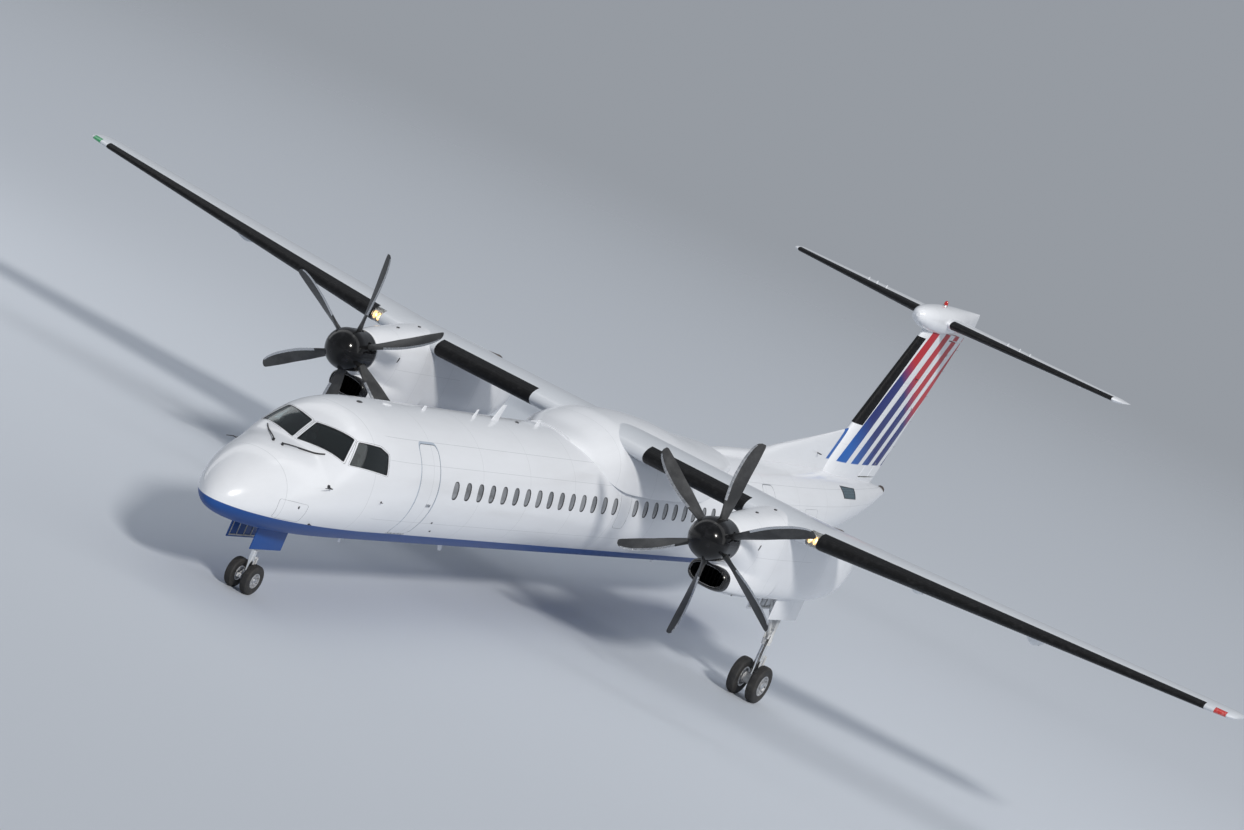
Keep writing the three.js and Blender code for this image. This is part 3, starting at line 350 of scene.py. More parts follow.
def over(tree, mask, colour, under):
    """Lays one colour on another."""
    return node(tree, "Mix", data_type="RGBA", i_0=mask, i_6=under, i_7=colour).outputs[2]


def strongest(tree, masks):
    """The highest of some masks."""
    top = masks[0]
    for mask in masks[1:]:
        top = math_node(tree, "MAXIMUM", top, mask)
    return top


GROUND_GRIME = (0.30, 0.29, 0.27, 1)
SEAM_GREY = (0.36, 0.38, 0.41, 1)


def gloss_paint(name, colour, roughness=0.24, waves=0.0012, grime=0.10):
    """Two-pack aircraft enamel on sheet: gloss, faintly wavy over its frames, lightly weathered."""
    material, tree, shader = new_material(name)
    place = node(tree, "TexCoord").outputs["Object"]
    x, y, z = node(tree, "SeparateXYZ", i_0=place).outputs
    stretched = node(tree, "Mapping", i_0=place, i_3=(1.0, 0.22, 1.0)).outputs[0]
    streaks = node(tree, "TexNoise", i_Vector=stretched, i_Scale=2.6, i_Detail=7.0,
                   i_Roughness=0.62).outputs[0]
    dirt = ramp(tree, streaks, 0.42, 0.95, 0.0, grime)
    tint = over(tree, dirt, GROUND_GRIME, colour)
    gloss = node(tree, "TexNoise", i_Vector=place, i_Scale=1.3, i_Detail=4.0).outputs[0]
    tree.links.new(ramp(tree, gloss, 0.25, 0.80, roughness - 0.02, roughness + 0.03),
                   shader.inputs["Roughness"])
    shader.inputs["Coat Weight"].default_value = 0.45
    shader.inputs["Coat Roughness"].default_value = 0.06
    wave = node(tree, "TexNoise", i_Vector=place, i_Scale=1.9, i_Detail=2.0).outputs[0]
    bump = node(tree, "Bump", i_Strength=1.0, i_Distance=waves, i_Height=wave)
    tree.links.new(bump.outputs[0], shader.inputs["Normal"])
    return material, tree, shader, (x, y, z), tint


def add_seams(tree, shader, tint, seams, share=0.5, depth=0.0015):
    """Draws sheet joints as thin grey lines, sunk a little into the paint."""
    wave = shader.inputs["Normal"].links[0].from_node
    sunk = node(tree, "Bump", i_Strength=0.6, i_Distance=depth, i_Height=seams, i_Normal=wave.outputs[0])
    sunk.invert = True
    tree.links.new(sunk.outputs[0], shader.inputs["Normal"])
    return over(tree, math_node(tree, "MULTIPLY", seams, share), SEAM_GREY, tint)


def finish(tree, shader, tint):
    """Gives a material its colour."""
    tree.links.new(tint, shader.inputs["Base Color"])


def dull_where(tree, shader, mask, roughness, coat):
    """Makes paint satin under a mask: at least so rough, and its coat thinned between two weights."""
    glossy = shader.inputs["Roughness"].links[0].from_socket
    satin = math_node(tree, "MAXIMUM", glossy, math_node(tree, "MULTIPLY", mask, roughness))
    tree.links.new(satin, shader.inputs["Roughness"])
    tree.links.new(ramp(tree, mask, 0.0, 1.0, *coat), shader.inputs["Coat Weight"])


def mottled(name, mark, ground, scale, detail, grain=0.5, patch=None, gloss=None, **settings):
    """A material of one colour marked with another, by noise. `patch` is the run of the noise over
    which marks appear, and `gloss` the run that moves the roughness between two values."""
    material, tree, shader = new_material(name)
    place = node(tree, "TexCoord").outputs["Object"]
    noise = node(tree, "TexNoise", i_Vector=place, i_Scale=scale, i_Detail=detail,
                 i_Roughness=grain).outputs[0]
    mask = ramp(tree, noise, *patch) if patch else noise
    finish(tree, shader, over(tree, mask, (*mark, 1), (*ground, 1)))
    if gloss:
        tree.links.new(ramp(tree, noise, *gloss), shader.inputs["Roughness"])
    for key, value in settings.items():
        shader.inputs[key.replace("_", " ")].default_value = value
    return material


def parts_of(material):
    """A mottled material's tree, surface shader, Object coordinates and noise."""
    nodes = material.node_tree.nodes
    place, noise = nodes["Texture Coordinate"].outputs["Object"], nodes["Noise Texture"].outputs[0]
    return material.node_tree, nodes["Principled BSDF"], place, noise


def emboss(tree, shader, height, strength, distance):
    """Raises a material by a height."""
    raised = node(tree, "Bump", i_Strength=strength, i_Distance=distance, i_Height=height)
    tree.links.new(raised.outputs[0], shader.inputs["Normal"])


def roughen(material, scale, detail, strength, distance):
    """Raises a fine grain on a mottled material."""
    tree, shader, place, _ = parts_of(material)
    grain = node(tree, "TexNoise", i_Vector=place, i_Scale=scale, i_Detail=detail).outputs[0]
    emboss(tree, shader, grain, strength, distance)


WHITE = (0.78, 0.80, 0.84, 1)
KEEL_BLUE = (0.004, 0.062, 0.27, 1)
KEEL_TOP = (1.705, 1.60)
skin_paint, tree, shader, (x, y, z), tint = gloss_paint("fuselage_paint", WHITE)
keel_top = ramp(tree, y, -16.4, 4.0, *KEEL_TOP)
below = math_node(tree, "SUBTRACT", keel_top, z)
frames = every(tree, y, 2.06, 0.005, start=-15.35)
behind_nose = ramp(tree, y, -12.9, -12.8)
laps = [math_node(tree, "MULTIPLY", near(tree, z, at, 0.004), behind_nose) for at in (2.02, 3.12, 3.46)]
tint = add_seams(tree, shader, tint, strongest(tree, [frames, *laps]))
keel = ramp(tree, below, -0.004, 0.004)
finish(tree, shader, over(tree, keel, KEEL_BLUE, tint))
dull_where(tree, shader, keel, 0.5, (0.4, 0.05))
lining = mottled("cabin_lining", (0.16, 0.165, 0.16), (0.11, 0.115, 0.12), 60, 3, Roughness=0.75)
sealant_and_duct_shade = mottled("black_sealant_and_duct_shade", (0.022, 0.023, 0.025), (0.009, 0.009, 0.010), 35, 5,
                  gloss=(0.3, 0.7, 0.38, 0.6))
primer = mottled("bay_enamel", (0.30, 0.29, 0.27), (0.56, 0.57, 0.56), 7, 7, 0.65,
                 patch=(0.45, 0.7), Roughness=0.5)

# Outlines on the port side, corner by corner, and the depths of the openings behind them
WINDSHIELD = [(0.045, 1.985, 2.845), (0.045, 2.45, 3.19), (0.745, 2.69, 3.215), (0.905, 2.33, 2.80)]
SIDE_WINDOW = [(0.85, 2.75, 3.20), (1.0, 2.42, 2.80), (1.29, 3.45, 2.79), (1.13, 3.49, 3.13),
               (1.04, 3.28, 3.215)]
WALL, FLOOR_Z = 0.09, 1.59


def pane_bar(outline, grow, side, rounding=0.035):
    """Rings of a bar through a pane's outline with rounded corners, square to the pane."""
    corners = [Vector(corner) for corner in outline]
    centre = sum(corners, Vector()) / len(corners)
    normal = (corners[3] - corners[1]).cross(corners[2] - corners[0]).normalized()
    if normal.x < 0:
        normal.negate()
    rounded = []
    for before, corner, after in zip(corners[-1:] + corners[:-1], corners, corners[1:] + corners[:1]):
        start = corner + (before - corner).normalized() * rounding
        end = corner + (after - corner).normalized() * rounding
        for t in steps(0, 1, 6):
            rounded.append(start * (1 - t) ** 2 + corner * 2 * t * (1 - t) + end * t * t)
    spread = [point + (point - centre).normalized() * grow for point in rounded]
    return to_side(prism(spread, normal, -0.23, 0.4), side)


def door_outline(front, rear, sill, head, corner):
    """Rounded corners in station and height, all the way round."""
    points = []
    for y, z, start in ((rear, head, 0), (front, head, 90), (front, sill, 180), (rear, sill, 270)):
        inward = Vector((0, corner if y == front else -corner, corner if z == sill else -corner))
        for k in range(7):
            turn = math.radians(start + 15 * k)
            round_it = Vector((0, math.cos(turn), math.sin(turn))) * corner
            points.append(Vector((0.5, y, z)) + inward + round_it)
    return points


def dress(piece, body, slot, *nodes):
    """Hangs a finished piece on its body, in place of plain pieces of the frame. Its slot is not used."""
    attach(piece, body)
    if nodes:
        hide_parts(*nodes)


def window_ring(y, scale, lift, side):
    """One outline of a cabin window, at a height over or under the skin."""
    ring = []
    for turn in turns(32):
        along = bowed(math.cos(turn), WINDOW["bow"]) * WINDOW["half"] * scale
        up = bowed(math.sin(turn), WINDOW["bow"]) * WINDOW["tall"] / 2 * scale
        z = WINDOW["height"] + up
        ring.append(Vector((side * (hull_x(y + along, z) + lift), y + along, z)))
    return ring


DOOR = {"front": 4.69, "rear": 5.44, "sill": 1.60, "head": 3.33, "corner": 0.13}
NOSE_BAY = {"half": 0.25, "front": 1.60, "rear": 2.74, "roof": 1.47}
WINDOW = {"first": 6.16, "pitch": 0.515, "half": 0.118, "tall": 0.34, "height": 2.63, "deep": 0.03,
          "bow": 0.72, "a_side": 25, "at_wing": 15}
WINDOW_STATIONS = [WINDOW["first"] + WINDOW["pitch"] * k for k in range(WINDOW["a_side"])
                   if k != WINDOW["at_wing"]]
nose_stations = [0, 0.012, 0.03, *steps(0.05, 0.5, 12), *steps(0.55, 4.6, 54), 5.2, 5.8, NOSE_JOINT]
nose_skin = solid([hull_ring(y) for y in nose_stations], "nose_skin", skin_paint)
TO_PORT, AFT, UP = Vector((1, 0, 0)), Vector((0, 1, 0)), Vector((0, 0, 1))
door_bar = prism(door_outline(**DOOR), TO_PORT, 0, 1.1)
cabin = solid([hull_ring(y, WALL) for y in [*steps(1.95, 4.6, 20), 5.4, 6.19]], "cabin", lining)
cut_block(cabin, (-1.5, 1.5, 1.0, 6.4, 0.9, FLOOR_Z), lining)
carve(nose_skin, cabin)
cut(nose_skin, door_bar, sealant_and_duct_shade)
for outline in (WINDSHIELD, SIDE_WINDOW):
    for side in (1, -1):
        cut(nose_skin, pane_bar(outline, 0, side), sealant_and_duct_shade)
bay = (-NOSE_BAY["half"], NOSE_BAY["half"], NOSE_BAY["front"], NOSE_BAY["rear"], 0.9, NOSE_BAY["roof"])
cut_block(nose_skin, bay, primer)
centre_stations = [NOSE_JOINT, *steps(6.8, 20.3, 27), TAIL_JOINT]
centre_skin = solid([hull_ring(y) for y in centre_stations], "centre_skin", skin_paint)
tail_stations = [*steps(TAIL_JOINT, 31.2, 53), *steps(31.25, 31.45, 4), TAIL_END]
tail_skin = solid([hull_ring(y) for y in tail_stations], "tail_skin", skin_paint)
for skin, stations in ((nose_skin, WINDOW_STATIONS[:1]), (centre_skin, WINDOW_STATIONS[1:])):
    pockets = bmesh.new()
    for y in stations:
        for side in (1, -1):
            loft(pockets, [window_ring(y, 1, lift, side) for lift in (0.02, -WINDOW["deep"])])
    carve(skin, place_mesh(pockets, "window_pockets", sealant_and_duct_shade))
for skin, name in ((nose_skin, "nose_section"), (centre_skin, "centre_fuselage"),
                   (tail_skin, "aft_fuselage")):
    soften(skin)
    dress(skin, "airframe", "white_paint", name)


# Flight-deck panes: two windscreens and two side windows of thick laminated glass, tinted by their
# heating film. Each is cut from the smooth skin itself and set a little in, in a black rubber
# gasket, with the sealed edge of its retainer round it as a thin dark line.
PANE_DEPTHS, GASKET_DEPTHS, SEAM_DEPTHS = (0.006, 0.022), (0.001, 0.026), (-0.0008, 0.010)
GASKET, RETAINER, SEAM_WIDTH, HAIR = 0.014, 0.032, 0.006, 0.0005


def new_glass(name, tint):
    """Clear glass of a tint, with faint dust on it."""
    return mottled(name, (0.55, 0.60, 0.62), tint, 4, 6, patch=(0.4, 0.9, 0.0, 0.25),
                   gloss=(0.3, 0.8, 0.015, 0.09), Transmission_Weight=1.0, IOR=1.5)


def skin_shell(depths, name, material, span=(1.88, 3.6)):
    """A shell of the fuselage's skin over a run of stations, between two depths."""
    outer, inner = depths
    front, rear = span
    shell = solid([hull_ring(y, outer) for y in steps(front, rear, 42)], name, material)
    cut(shell, [hull_ring(y, inner) for y in steps(front - 0.08, rear + 0.10, 46)], material)
    return shell


pane_glass = new_glass("tinted_glass", (0.50, 0.60, 0.60))
for outline, name in ((WINDSHIELD, "windshield"), (SIDE_WINDOW, "side_window")):
    for side, word in SIDES:
        # Kind, depths, growth of its outer edge, growth of its inner edge, finish, slot, node
        for kind, depths, outer, inner, material, slot, *nodes in (
            ("glass", PANE_DEPTHS, -GASKET, None, pane_glass, "cockpit_glass", name + "_" + word),
            ("gasket", GASKET_DEPTHS, -HAIR, -GASKET, sealant_and_duct_shade, "boot_rubber"),
            ("seam", SEAM_DEPTHS, RETAINER + SEAM_WIDTH, RETAINER, sealant_and_duct_shade, "boot_rubber"),
        ):
            pane = skin_shell(depths, f"{name}_{kind}_{word}", material)
            cut(pane, pane_bar(outline, outer, side), material, "INTERSECT")
            if inner is not None:
                cut(pane, pane_bar(outline, inner, side), material)
            soften(pane)
            dress(pane, "airframe", slot, *nodes)


# Cabin windows: stretched acrylic panes, twenty-four a side, seated just under the skin in a black
# rubber frame. All of a side's panes are one piece, and so are its frames.
# The panes are an opaque grey: painted shade of the dark cabin that clear acrylic would show.
acrylic = mottled("cabin_acrylic_painted_shade", (0.25, 0.26, 0.275), (0.16, 0.168, 0.18), 1.4, 1.0,
                  patch=(0.42, 0.58), Coat_Weight=0.6)
tree, shader, place, _ = parts_of(acrylic)
aft = math_node(tree, "SUBTRACT", node(tree, "SeparateXYZ", i_0=place).outputs[1],
                WINDOW["first"] + STATIONS_TO_FRAME.y)
lean = math_node(tree, "PINGPONG", aft, WINDOW["pitch"] / 2)
tree.links.new(ramp(tree, lean, 0.0, 0.12, 0.07, 0.16), shader.inputs["Roughness"])
bare_metal = mottled("polished_metal", (0.62, 0.63, 0.65), (0.48, 0.49, 0.51), 14, 6,
                     gloss=(0.3, 0.7, 0.18, 0.36), Metallic=1.0)
PANE_SECTION = [(0.05, -0.009), (0.5, -0.009), (0.90, -0.010), (0.93, -0.012), (0.93, -0.028), (0.05, -0.028)]
FRAME_SECTION = [(0.89, -0.0100), (0.90, -0.007), (0.95, -0.004), (0.995, -0.001), (0.995, -0.028),
                 (0.89, -0.0285)]
for side, word in SIDES:
    panes, frames = bmesh.new(), bmesh.new()
    for y in WINDOW_STATIONS:
        loft(panes, [window_ring(y, scale, lift, side) for scale, lift in PANE_SECTION])
        loft(frames, [window_ring(y, scale, lift, side) for scale, lift in FRAME_SECTION], closed=True)
    dress(place_mesh(panes, "cabin_panes_" + word, acrylic, 40), "airframe", "cockpit_glass")
    dress(place_mesh(frames, "cabin_window_frames_" + word, sealant_and_duct_shade, 40), "airframe", "boot_rubber")


# Doors and hatches: thin rubber seals round the rear doors, the emergency exits, the baggage door and the
# service panels, then the port airstair door in a blue-grey strip round its edge, with its steps, hinge and
# handle, and the light laminate lobby with its cabinets that shows when it is open.
def hull_strip(bm, outline, width, side, lift=0.0015, depth=0.004):
    """A thin strip laid on the skin along a closed outline in station and height."""
    middle = sum(outline, Vector()) / len(outline)
    rings = []
    for grow, rise in ((0, -depth), (0, lift), (width, lift), (width, -depth)):
        ring = []
        for point in outline:
            spread = (point - middle).normalized() * grow
            y, z = point.y + spread.y, point.z + spread.z
            ring.append(Vector((side * (hull_x(y, z) + rise), y, z)))
        rings.append(ring)
    loft(bm, rings, closed=True)


def dense(outline, pitch=0.04):
    """Adds points along the straight runs of a closed outline, so that it follows the skin."""
    points = []
    for a, b in zip(outline, outline[1:] + outline[:1]):
        parts = max(1, round((b - a).length / pitch))
        points += [a.lerp(b, k / parts) for k in range(parts)]
    return points


HATCHES = [
    # side, front, rear, sill, head, corner radius, seam width
    (1, 21.47, 22.14, 1.86, 3.34, 0.12, 0.014), (-1, 4.72, 5.38, 1.86, 3.24, 0.12, 0.012),
    (-1, 21.10, 22.40, 1.66, 3.05, 0.12, 0.014), (1, 13.62, 14.12, 2.18, 3.06, 0.10, 0.006),
    (-1, 13.62, 14.12, 2.18, 3.06, 0.10, 0.006), (1, 0.95, 1.62, 1.62, 1.98, 0.05, 0.005),
    (-1, 0.95, 1.62, 1.62, 1.98, 0.05, 0.005), (1, 24.15, 25.05, 2.50, 2.95, 0.05, 0.005),
]
seals = bmesh.new()
for side, front, rear, sill, head, corner, width in HATCHES:
    hull_strip(seals, dense(door_outline(front, rear, sill, head, corner)), width, side)
grey_seal = mottled("grey_seal", (0.26, 0.28, 0.31), (0.16, 0.17, 0.19), 20, 4, Roughness=0.55)
dress(place_mesh(seals, "hatch_seals", grey_seal, 40), "airframe", "boot_rubber")

surround_paint, tree, shader, _, tint = gloss_paint("door_surround", (0.43, 0.49, 0.58, 1))
finish(tree, shader, tint)
surround = bmesh.new()
hull_strip(surround, dense(door_outline(**DOOR)), 0.032, 1, 0.0012)
surround = place_mesh(surround, "door_surround", surround_paint)
cut_block(surround, (0.5, 1.6, 4.4, 5.8, 1.4, DOOR["sill"] + 0.08), surround_paint)
soften(surround)
dress(surround, "airframe", "white_paint")
laminate = mottled("cabin_laminate", (0.50, 0.50, 0.48), (0.60, 0.60, 0.575), 90, 3, Roughness=0.5)
LOBBY = (4.36, 6.12)
CABINETS = [
    # x from and to, station from and to, z from and to
    (-0.86, -0.28, 4.41, 4.62, 1.60, 3.14), (-1.14, -0.52, 5.50, 6.08, 1.60, 2.56),
    (-1.02, -0.60, 5.50, 6.08, 2.58, 3.20), (-0.53, 0.98, 5.52, 5.545, 1.60, 1.63),
]
lobby = solid([hull_ring(y, WALL + 0.003) for y in steps(*LOBBY, 12)], "cabin_lobby", lining)
cut(lobby, [hull_ring(y, WALL + 0.018) for y in steps(LOBBY[0] + 0.02, LOBBY[1] - 0.02, 12)], laminate)
cut_block(lobby, (-1.5, 1.5, 4.0, 6.4, 0.9, FLOOR_Z + 0.001), lining)
cut(lobby, door_bar, laminate)
soften(lobby)
dress(lobby, "airframe", "cabin_trim")
cabinets = bmesh.new()
for bounds in CABINETS:
    block(cabinets, *bounds)
bevel(cabinets, cabinets.edges[:], 0.012)
dress(place_mesh(cabinets, "lobby_cabinets", laminate, 40), "airframe", "cabin_trim")

DOOR_GAP, DOOR_WALL = 0.008, 0.08
DOOR_SKIN = {"front": DOOR["front"] + DOOR_GAP, "rear": DOOR["rear"] - DOOR_GAP,
             "sill": DOOR["sill"] + DOOR_GAP,
             "head": DOOR["head"] - DOOR_GAP, "corner": DOOR["corner"] - DOOR_GAP}
STEP = {"count": 4, "first": 1.83, "rise": 0.34, "depth": 0.19, "thick": 0.018, "half": 0.26}
HINGE = {"x": 1.046, "z": 1.603, "radius": 0.016, "knuckles": 8, "long": 0.078}
door = solid([hull_ring(y) for y in steps(4.5, 5.6, 6)], "airstair", skin_paint)
cut(door, [hull_ring(y, DOOR_WALL) for y in steps(4.4, 5.7, 6)], laminate)
cut(door, prism(door_outline(**DOOR_SKIN), TO_PORT, 0, 1.1), sealant_and_duct_shade, "INTERSECT")
soften(door)
dress(door, "airstair_door", "white_paint", "airstair_door")
tread_rubber, tree, shader = new_material("tread_rubber")
place = node(tree, "TexCoord").outputs["Object"]
ribs = every(tree, node(tree, "SeparateXYZ", i_0=place).outputs[0], 0.02, 0.004)
finish(tree, shader, over(tree, ribs, (0.10, 0.10, 0.11, 1), (0.035, 0.036, 0.04, 1)))
shader.inputs["Roughness"].default_value = 0.7
treads, brackets, knuckles, handle = (bmesh.new() for _ in range(4))
middle = (DOOR["front"] + DOOR["rear"]) / 2
step_heights = [STEP["first"] + STEP["rise"] * k for k in range(STEP["count"])]
for z in step_heights:
    wall = hull_x(middle, z, DOOR_WALL)
    block(treads, wall - STEP["depth"], wall + 0.004, middle - STEP["half"], middle + STEP["half"],
          z, z + STEP["thick"])
bevel(treads, treads.edges[:], 0.004, 2)
for end in (-1, 1):
    for z in step_heights:
        wall, at = hull_x(middle, z, DOOR_WALL), middle + end * STEP["half"]
        block(brackets, wall - STEP["depth"] * 0.8, wall + 0.004, at - 0.009, at + 0.009, z - 0.012,
              z - 0.0005)
knuckle_run = DOOR["rear"] - DOOR["front"] - 0.08
for k in range(HINGE["knuckles"]):
    y = DOOR["front"] + 0.04 + (k + 0.5) * knuckle_run / HINGE["knuckles"]
    lying = Matrix.Translation((HINGE["x"], y, HINGE["z"])) @ Matrix.Rotation(math.pi / 2, 4, "X")
    bmesh.ops.create_cone(knuckles, cap_ends=True, segments=20, radius1=HINGE["radius"],
                          radius2=HINGE["radius"],
                          depth=HINGE["long"], matrix=lying)
y, z = DOOR["rear"] - 0.17, 2.30
at = hull_x(y, z)
block(handle, at - 0.012, at + 0.006, y - 0.085, y + 0.085, z - 0.028, z + 0.028)
bevel(handle, handle.edges[:], 0.005)
for mesh, name, finish_of, slot in ((treads, "airstair_treads", tread_rubber, "boot_rubber"),
                                    (brackets, "airstair_brackets", bare_metal, "wheel_alloy"),
                                    (knuckles, "airstair_hinge_knuckles", bare_metal, "wheel_alloy"),
                                    (handle, "airstair_handle", bare_metal, "wheel_alloy")):
    dress(place_mesh(mesh, name, finish_of, 40), "airstair_door", slot)

# Fuselage fittings: blade antennas, pitot, ice and static probes, a lamp under the nose, wipers, and
# the meshed panel in the port side of the tail cone where the auxiliary power unit breathes in.
def rod_between(bm, a, b, radius, end_radius=None, segments=16):
    """A round bar from one point to another."""
    a, b = Vector(a), Vector(b)
    turn = (b - a).to_track_quat("Z", "Y").to_matrix().to_4x4()
    end = radius if end_radius is None else end_radius
    return bmesh.ops.create_cone(bm, cap_ends=True, segments=segments, radius1=radius, radius2=end,
                                 depth=(b - a).length, matrix=Matrix.Translation((a + b) / 2) @ turn)["verts"]


def blade_ring(x, y, z, chord, thick):
    """A slim lens across an antenna, level with the ground."""
    return [Vector((x + thick / 2 * math.sin(turn), y + chord / 2 * math.cos(turn), z))
            for turn in turns(16)]


def circle(centre, turn, radius, points):
    """A ring of points round a place, in the plane that `turn` lays it in."""
    return [centre + turn @ Vector((radius * math.cos(a), radius * math.sin(a), 0)) for a in turns(points)]


def flat_ball(bm, centre, size, segments, turned=16):
    """A ball squashed to three half sizes."""
    place = Matrix.Translation(centre) @ Matrix.Diagonal((*size, 1))
    bmesh.ops.create_uvsphere(bm, u_segments=segments, v_segments=turned, radius=1, matrix=place)


def crown_point(x, y, lift):
    """A place over the top of the skin."""
    y, top, _, wide, half, square = hull_row(y)
    return Vector((x, y, wide + (top - wide) * (1 - (abs(x) / half) ** square) ** (1 / square) + lift))


dark_metal = mottled("dark_cast_metal", (0.10, 0.10, 0.105), (0.045, 0.045, 0.05), 25, 5,
                     Metallic=0.6, Roughness=0.42)
fitting_white, tree, shader, _, tint = gloss_paint("fitting_paint", WHITE)
finish(tree, shader, tint)
antennas = bmesh.new()
BLADES = [
    # x, station, foot z, tip z, chord at foot and tip, sweep of the tip, thickness
    (0, 9.30, 3.66, 4.00, 0.30, 0.16, 0.16, 0.028), (0, 11.2, 3.66, 3.80, 0.20, 0.14, 0.04, 0.02),
    (0, 6.26, 3.66, 3.76, 0.16, 0.11, 0.03, 0.022), (0, 8.38, 3.66, 3.83, 0.14, 0.08, 0.06, 0.022),
    (0, 5.22, 1.13, 0.93, 0.16, 0.09, 0.03, 0.022), (0, 9.30, 1.13, 0.90, 0.26, 0.15, 0.10, 0.024),
    (0, 19.6, 1.13, 0.95, 0.22, 0.14, 0.07, 0.022),
]
for x, y, foot, tip, chord, end, sweep, thick in BLADES:
    lean = 1 if tip > foot else -1
    rings = [blade_ring(x, y, foot - lean * 0.02, chord * 1.15, thick * 1.6),
             blade_ring(x, y, foot + lean * 0.022, chord * 1.1, thick * 1.4)]
    for t in steps(0, 1, 5):
        rings.append(blade_ring(x, y + sweep * t, foot + lean * 0.03 + (tip - foot - lean * 0.03) * t,
                                chord + (end - chord) * t, thick * (1 - 0.35 * t)))
    loft(antennas, rings)
flat_ball(antennas, (0, 4.78, 3.68), (0.075, 0.16, 0.030), 32)
dress(place_mesh(antennas, "blade_antennas", fitting_white, 50), "airframe", "white_paint")
PROBES = [
    # station, z, radius of its base, how far it stands out, how far it points ahead
    (1.98, 2.36, 0.038, 0.085, 0.26), (3.54, 2.27, 0.022, 0.045, 0.10), (1.98, 1.62, 0.026, 0.05, 0.04),
]
probes = bmesh.new()
for y, wide, long in ((3.74, 0.045, 0.09), (10.28, 0.035, 0.07)):
    flat_ball(probes, (0, y, hull_row(y)[1]), (wide, long, 0.022), 24, 12)
for side in (1, -1):
    for y, z, base, reach, ahead in PROBES:
        out = hull_x(y, z)
        tip = side * (out + reach)
        rod_between(probes, (side * (out - 0.02), y, z), (side * (out + 0.006), y, z), base, base * 0.93, 28)
        rod_between(probes, (side * out, y, z), (tip, y - 0.03, z), base * 0.36, base * 0.26)
        rod_between(probes, (tip, y - 0.01, z), (tip, y - ahead, z), base * 0.28, base * 0.18)
    for y, z in ((1.42, 1.90), (5.9, 1.95), (6.18, 1.75)):
        out = hull_x(y, z)
        rod_between(probes, (side * (out - 0.02), y, z), (side * (out + 0.003), y, z), 0.028, 0.026, 28)
dress(place_mesh(probes, "air_data_probes", dark_metal, 50), "airframe", "wheel_alloy")
belly_lamp, lamp_glass = bmesh.new(), new_glass("small_lamp_glass", (0.92, 0.94, 0.96))
lamp_foot = Vector((0, 3.08, hull_row(3.08)[2]))
rod_between(belly_lamp, lamp_foot + Vector((0, 0, 0.01)), lamp_foot - Vector((0, 0, 0.028)), 0.045, 0.038, 24)
bmesh.ops.create_uvsphere(belly_lamp, u_segments=24, v_segments=14, radius=0.037,
                          matrix=Matrix.Translation(lamp_foot - Vector((0, 0, 0.030))))
dress(place_mesh(belly_lamp, "nose_belly_lamp", lamp_glass, 40), "airframe", "lamp_glass")
INTAKE_PANEL = [(27.15, 3.43), (28.32, 3.38), (28.26, 3.17), (27.22, 3.20)]
PANEL_RUN = (27.0, 28.5)
intake_mesh_over_painted_shade, tree, shader = new_material("intake_mesh_over_painted_shade")
x, y, z = node(tree, "SeparateXYZ", i_0=node(tree, "TexCoord").outputs["Object"]).outputs
wires = strongest(tree, [every(tree, y, 0.05, 0.008), every(tree, z, 0.03, 0.005)])
# The dark blue ground between the wires is painted shade of the duct behind the mesh.
finish(tree, shader, over(tree, wires, (0.17, 0.25, 0.29, 1), (0.025, 0.060, 0.082, 1)))
shader.inputs["Metallic"].default_value = 0.5
shader.inputs["Roughness"].default_value = 0.32
emboss(tree, shader, wires, 0.7, 0.006)
corners = [Vector((0, y, z)) for y, z in INTAKE_PANEL]
middle = sum(corners, Vector()) / len(corners)
inner_corners = [corner.lerp(middle, 0.08) for corner in corners]
panel = skin_shell((-0.002, 0.02), "intake_panel", intake_mesh_over_painted_shade, PANEL_RUN)
cut(panel, prism(inner_corners, TO_PORT, 0.1, 1.4), intake_mesh_over_painted_shade, "INTERSECT")
rim = skin_shell((-0.007, 0.02), "intake_panel_rim", dark_metal, PANEL_RUN)
cut(rim, prism(corners, TO_PORT, 0.1, 1.4), dark_metal, "INTERSECT")
cut(rim, prism(inner_corners, TO_PORT, 0.05, 1.5), dark_metal)
for piece in (panel, rim):
    soften(piece)
    dress(piece, "airframe", "engine_metal")

wipers = bmesh.new()
under_arm = Vector((0, 0, 0.013))
for side in (1, -1):
    arm = [crown_point(side * (0.10 + 0.54 * t), 1.50 + 0.58 * t, 0.034 - 0.012 * t)
           for t in steps(0, 1, 8)]
    rod_between(wipers, arm[0] - Vector((0, 0, 0.05)), arm[0] + Vector((0, 0, 0.012)), 0.024)
    for k, (a, b) in enumerate(zip(arm, arm[1:])):
        rod_between(wipers, a, b, 0.012 - 0.0006 * k, 0.0114 - 0.0006 * k)
        if k > 2:
            rod_between(wipers, a - under_arm, b - under_arm, 0.008, 0.008, 6)
dress(place_mesh(wipers, "windscreen_wipers", sealant_and_duct_shade, 50), "airframe", "boot_rubber")


# Wing: light-alloy box with two flaps and an aileron a side, black rubber de-icing boots along the
# leading edge, warm landing lamps and coloured tip lamps under clear covers, boat-shaped fairings
# over the flap tracks, hinge pins and static wicks. Sections are aerofoils. Rows: place along the
# span, leading edge station, chord, height, thickness over chord.
CAMBER = 0.02
SECTION_POINTS = 64


def along_wing(chordwise, thick, span):
    """Lays a section's point on a wing."""
    return Vector((span, chordwise, thick))


def along_fin(chordwise, thick, span):
    """Lays a section's point on an upright fin."""
    return Vector((thick, chordwise, span))


def half_thickness(c, t):
    """Half the height of a plain aerofoil at a share of its chord."""
    return 5 * t * (0.2969 * math.sqrt(c) - 0.126 * c - 0.3516 * c ** 2 + 0.2843 * c ** 3 - 0.1036 * c ** 4)


def camber_at(c, camber):
    """The height of the mean line at a share of the chord."""
    return 4 * camber * c * (1 - c)


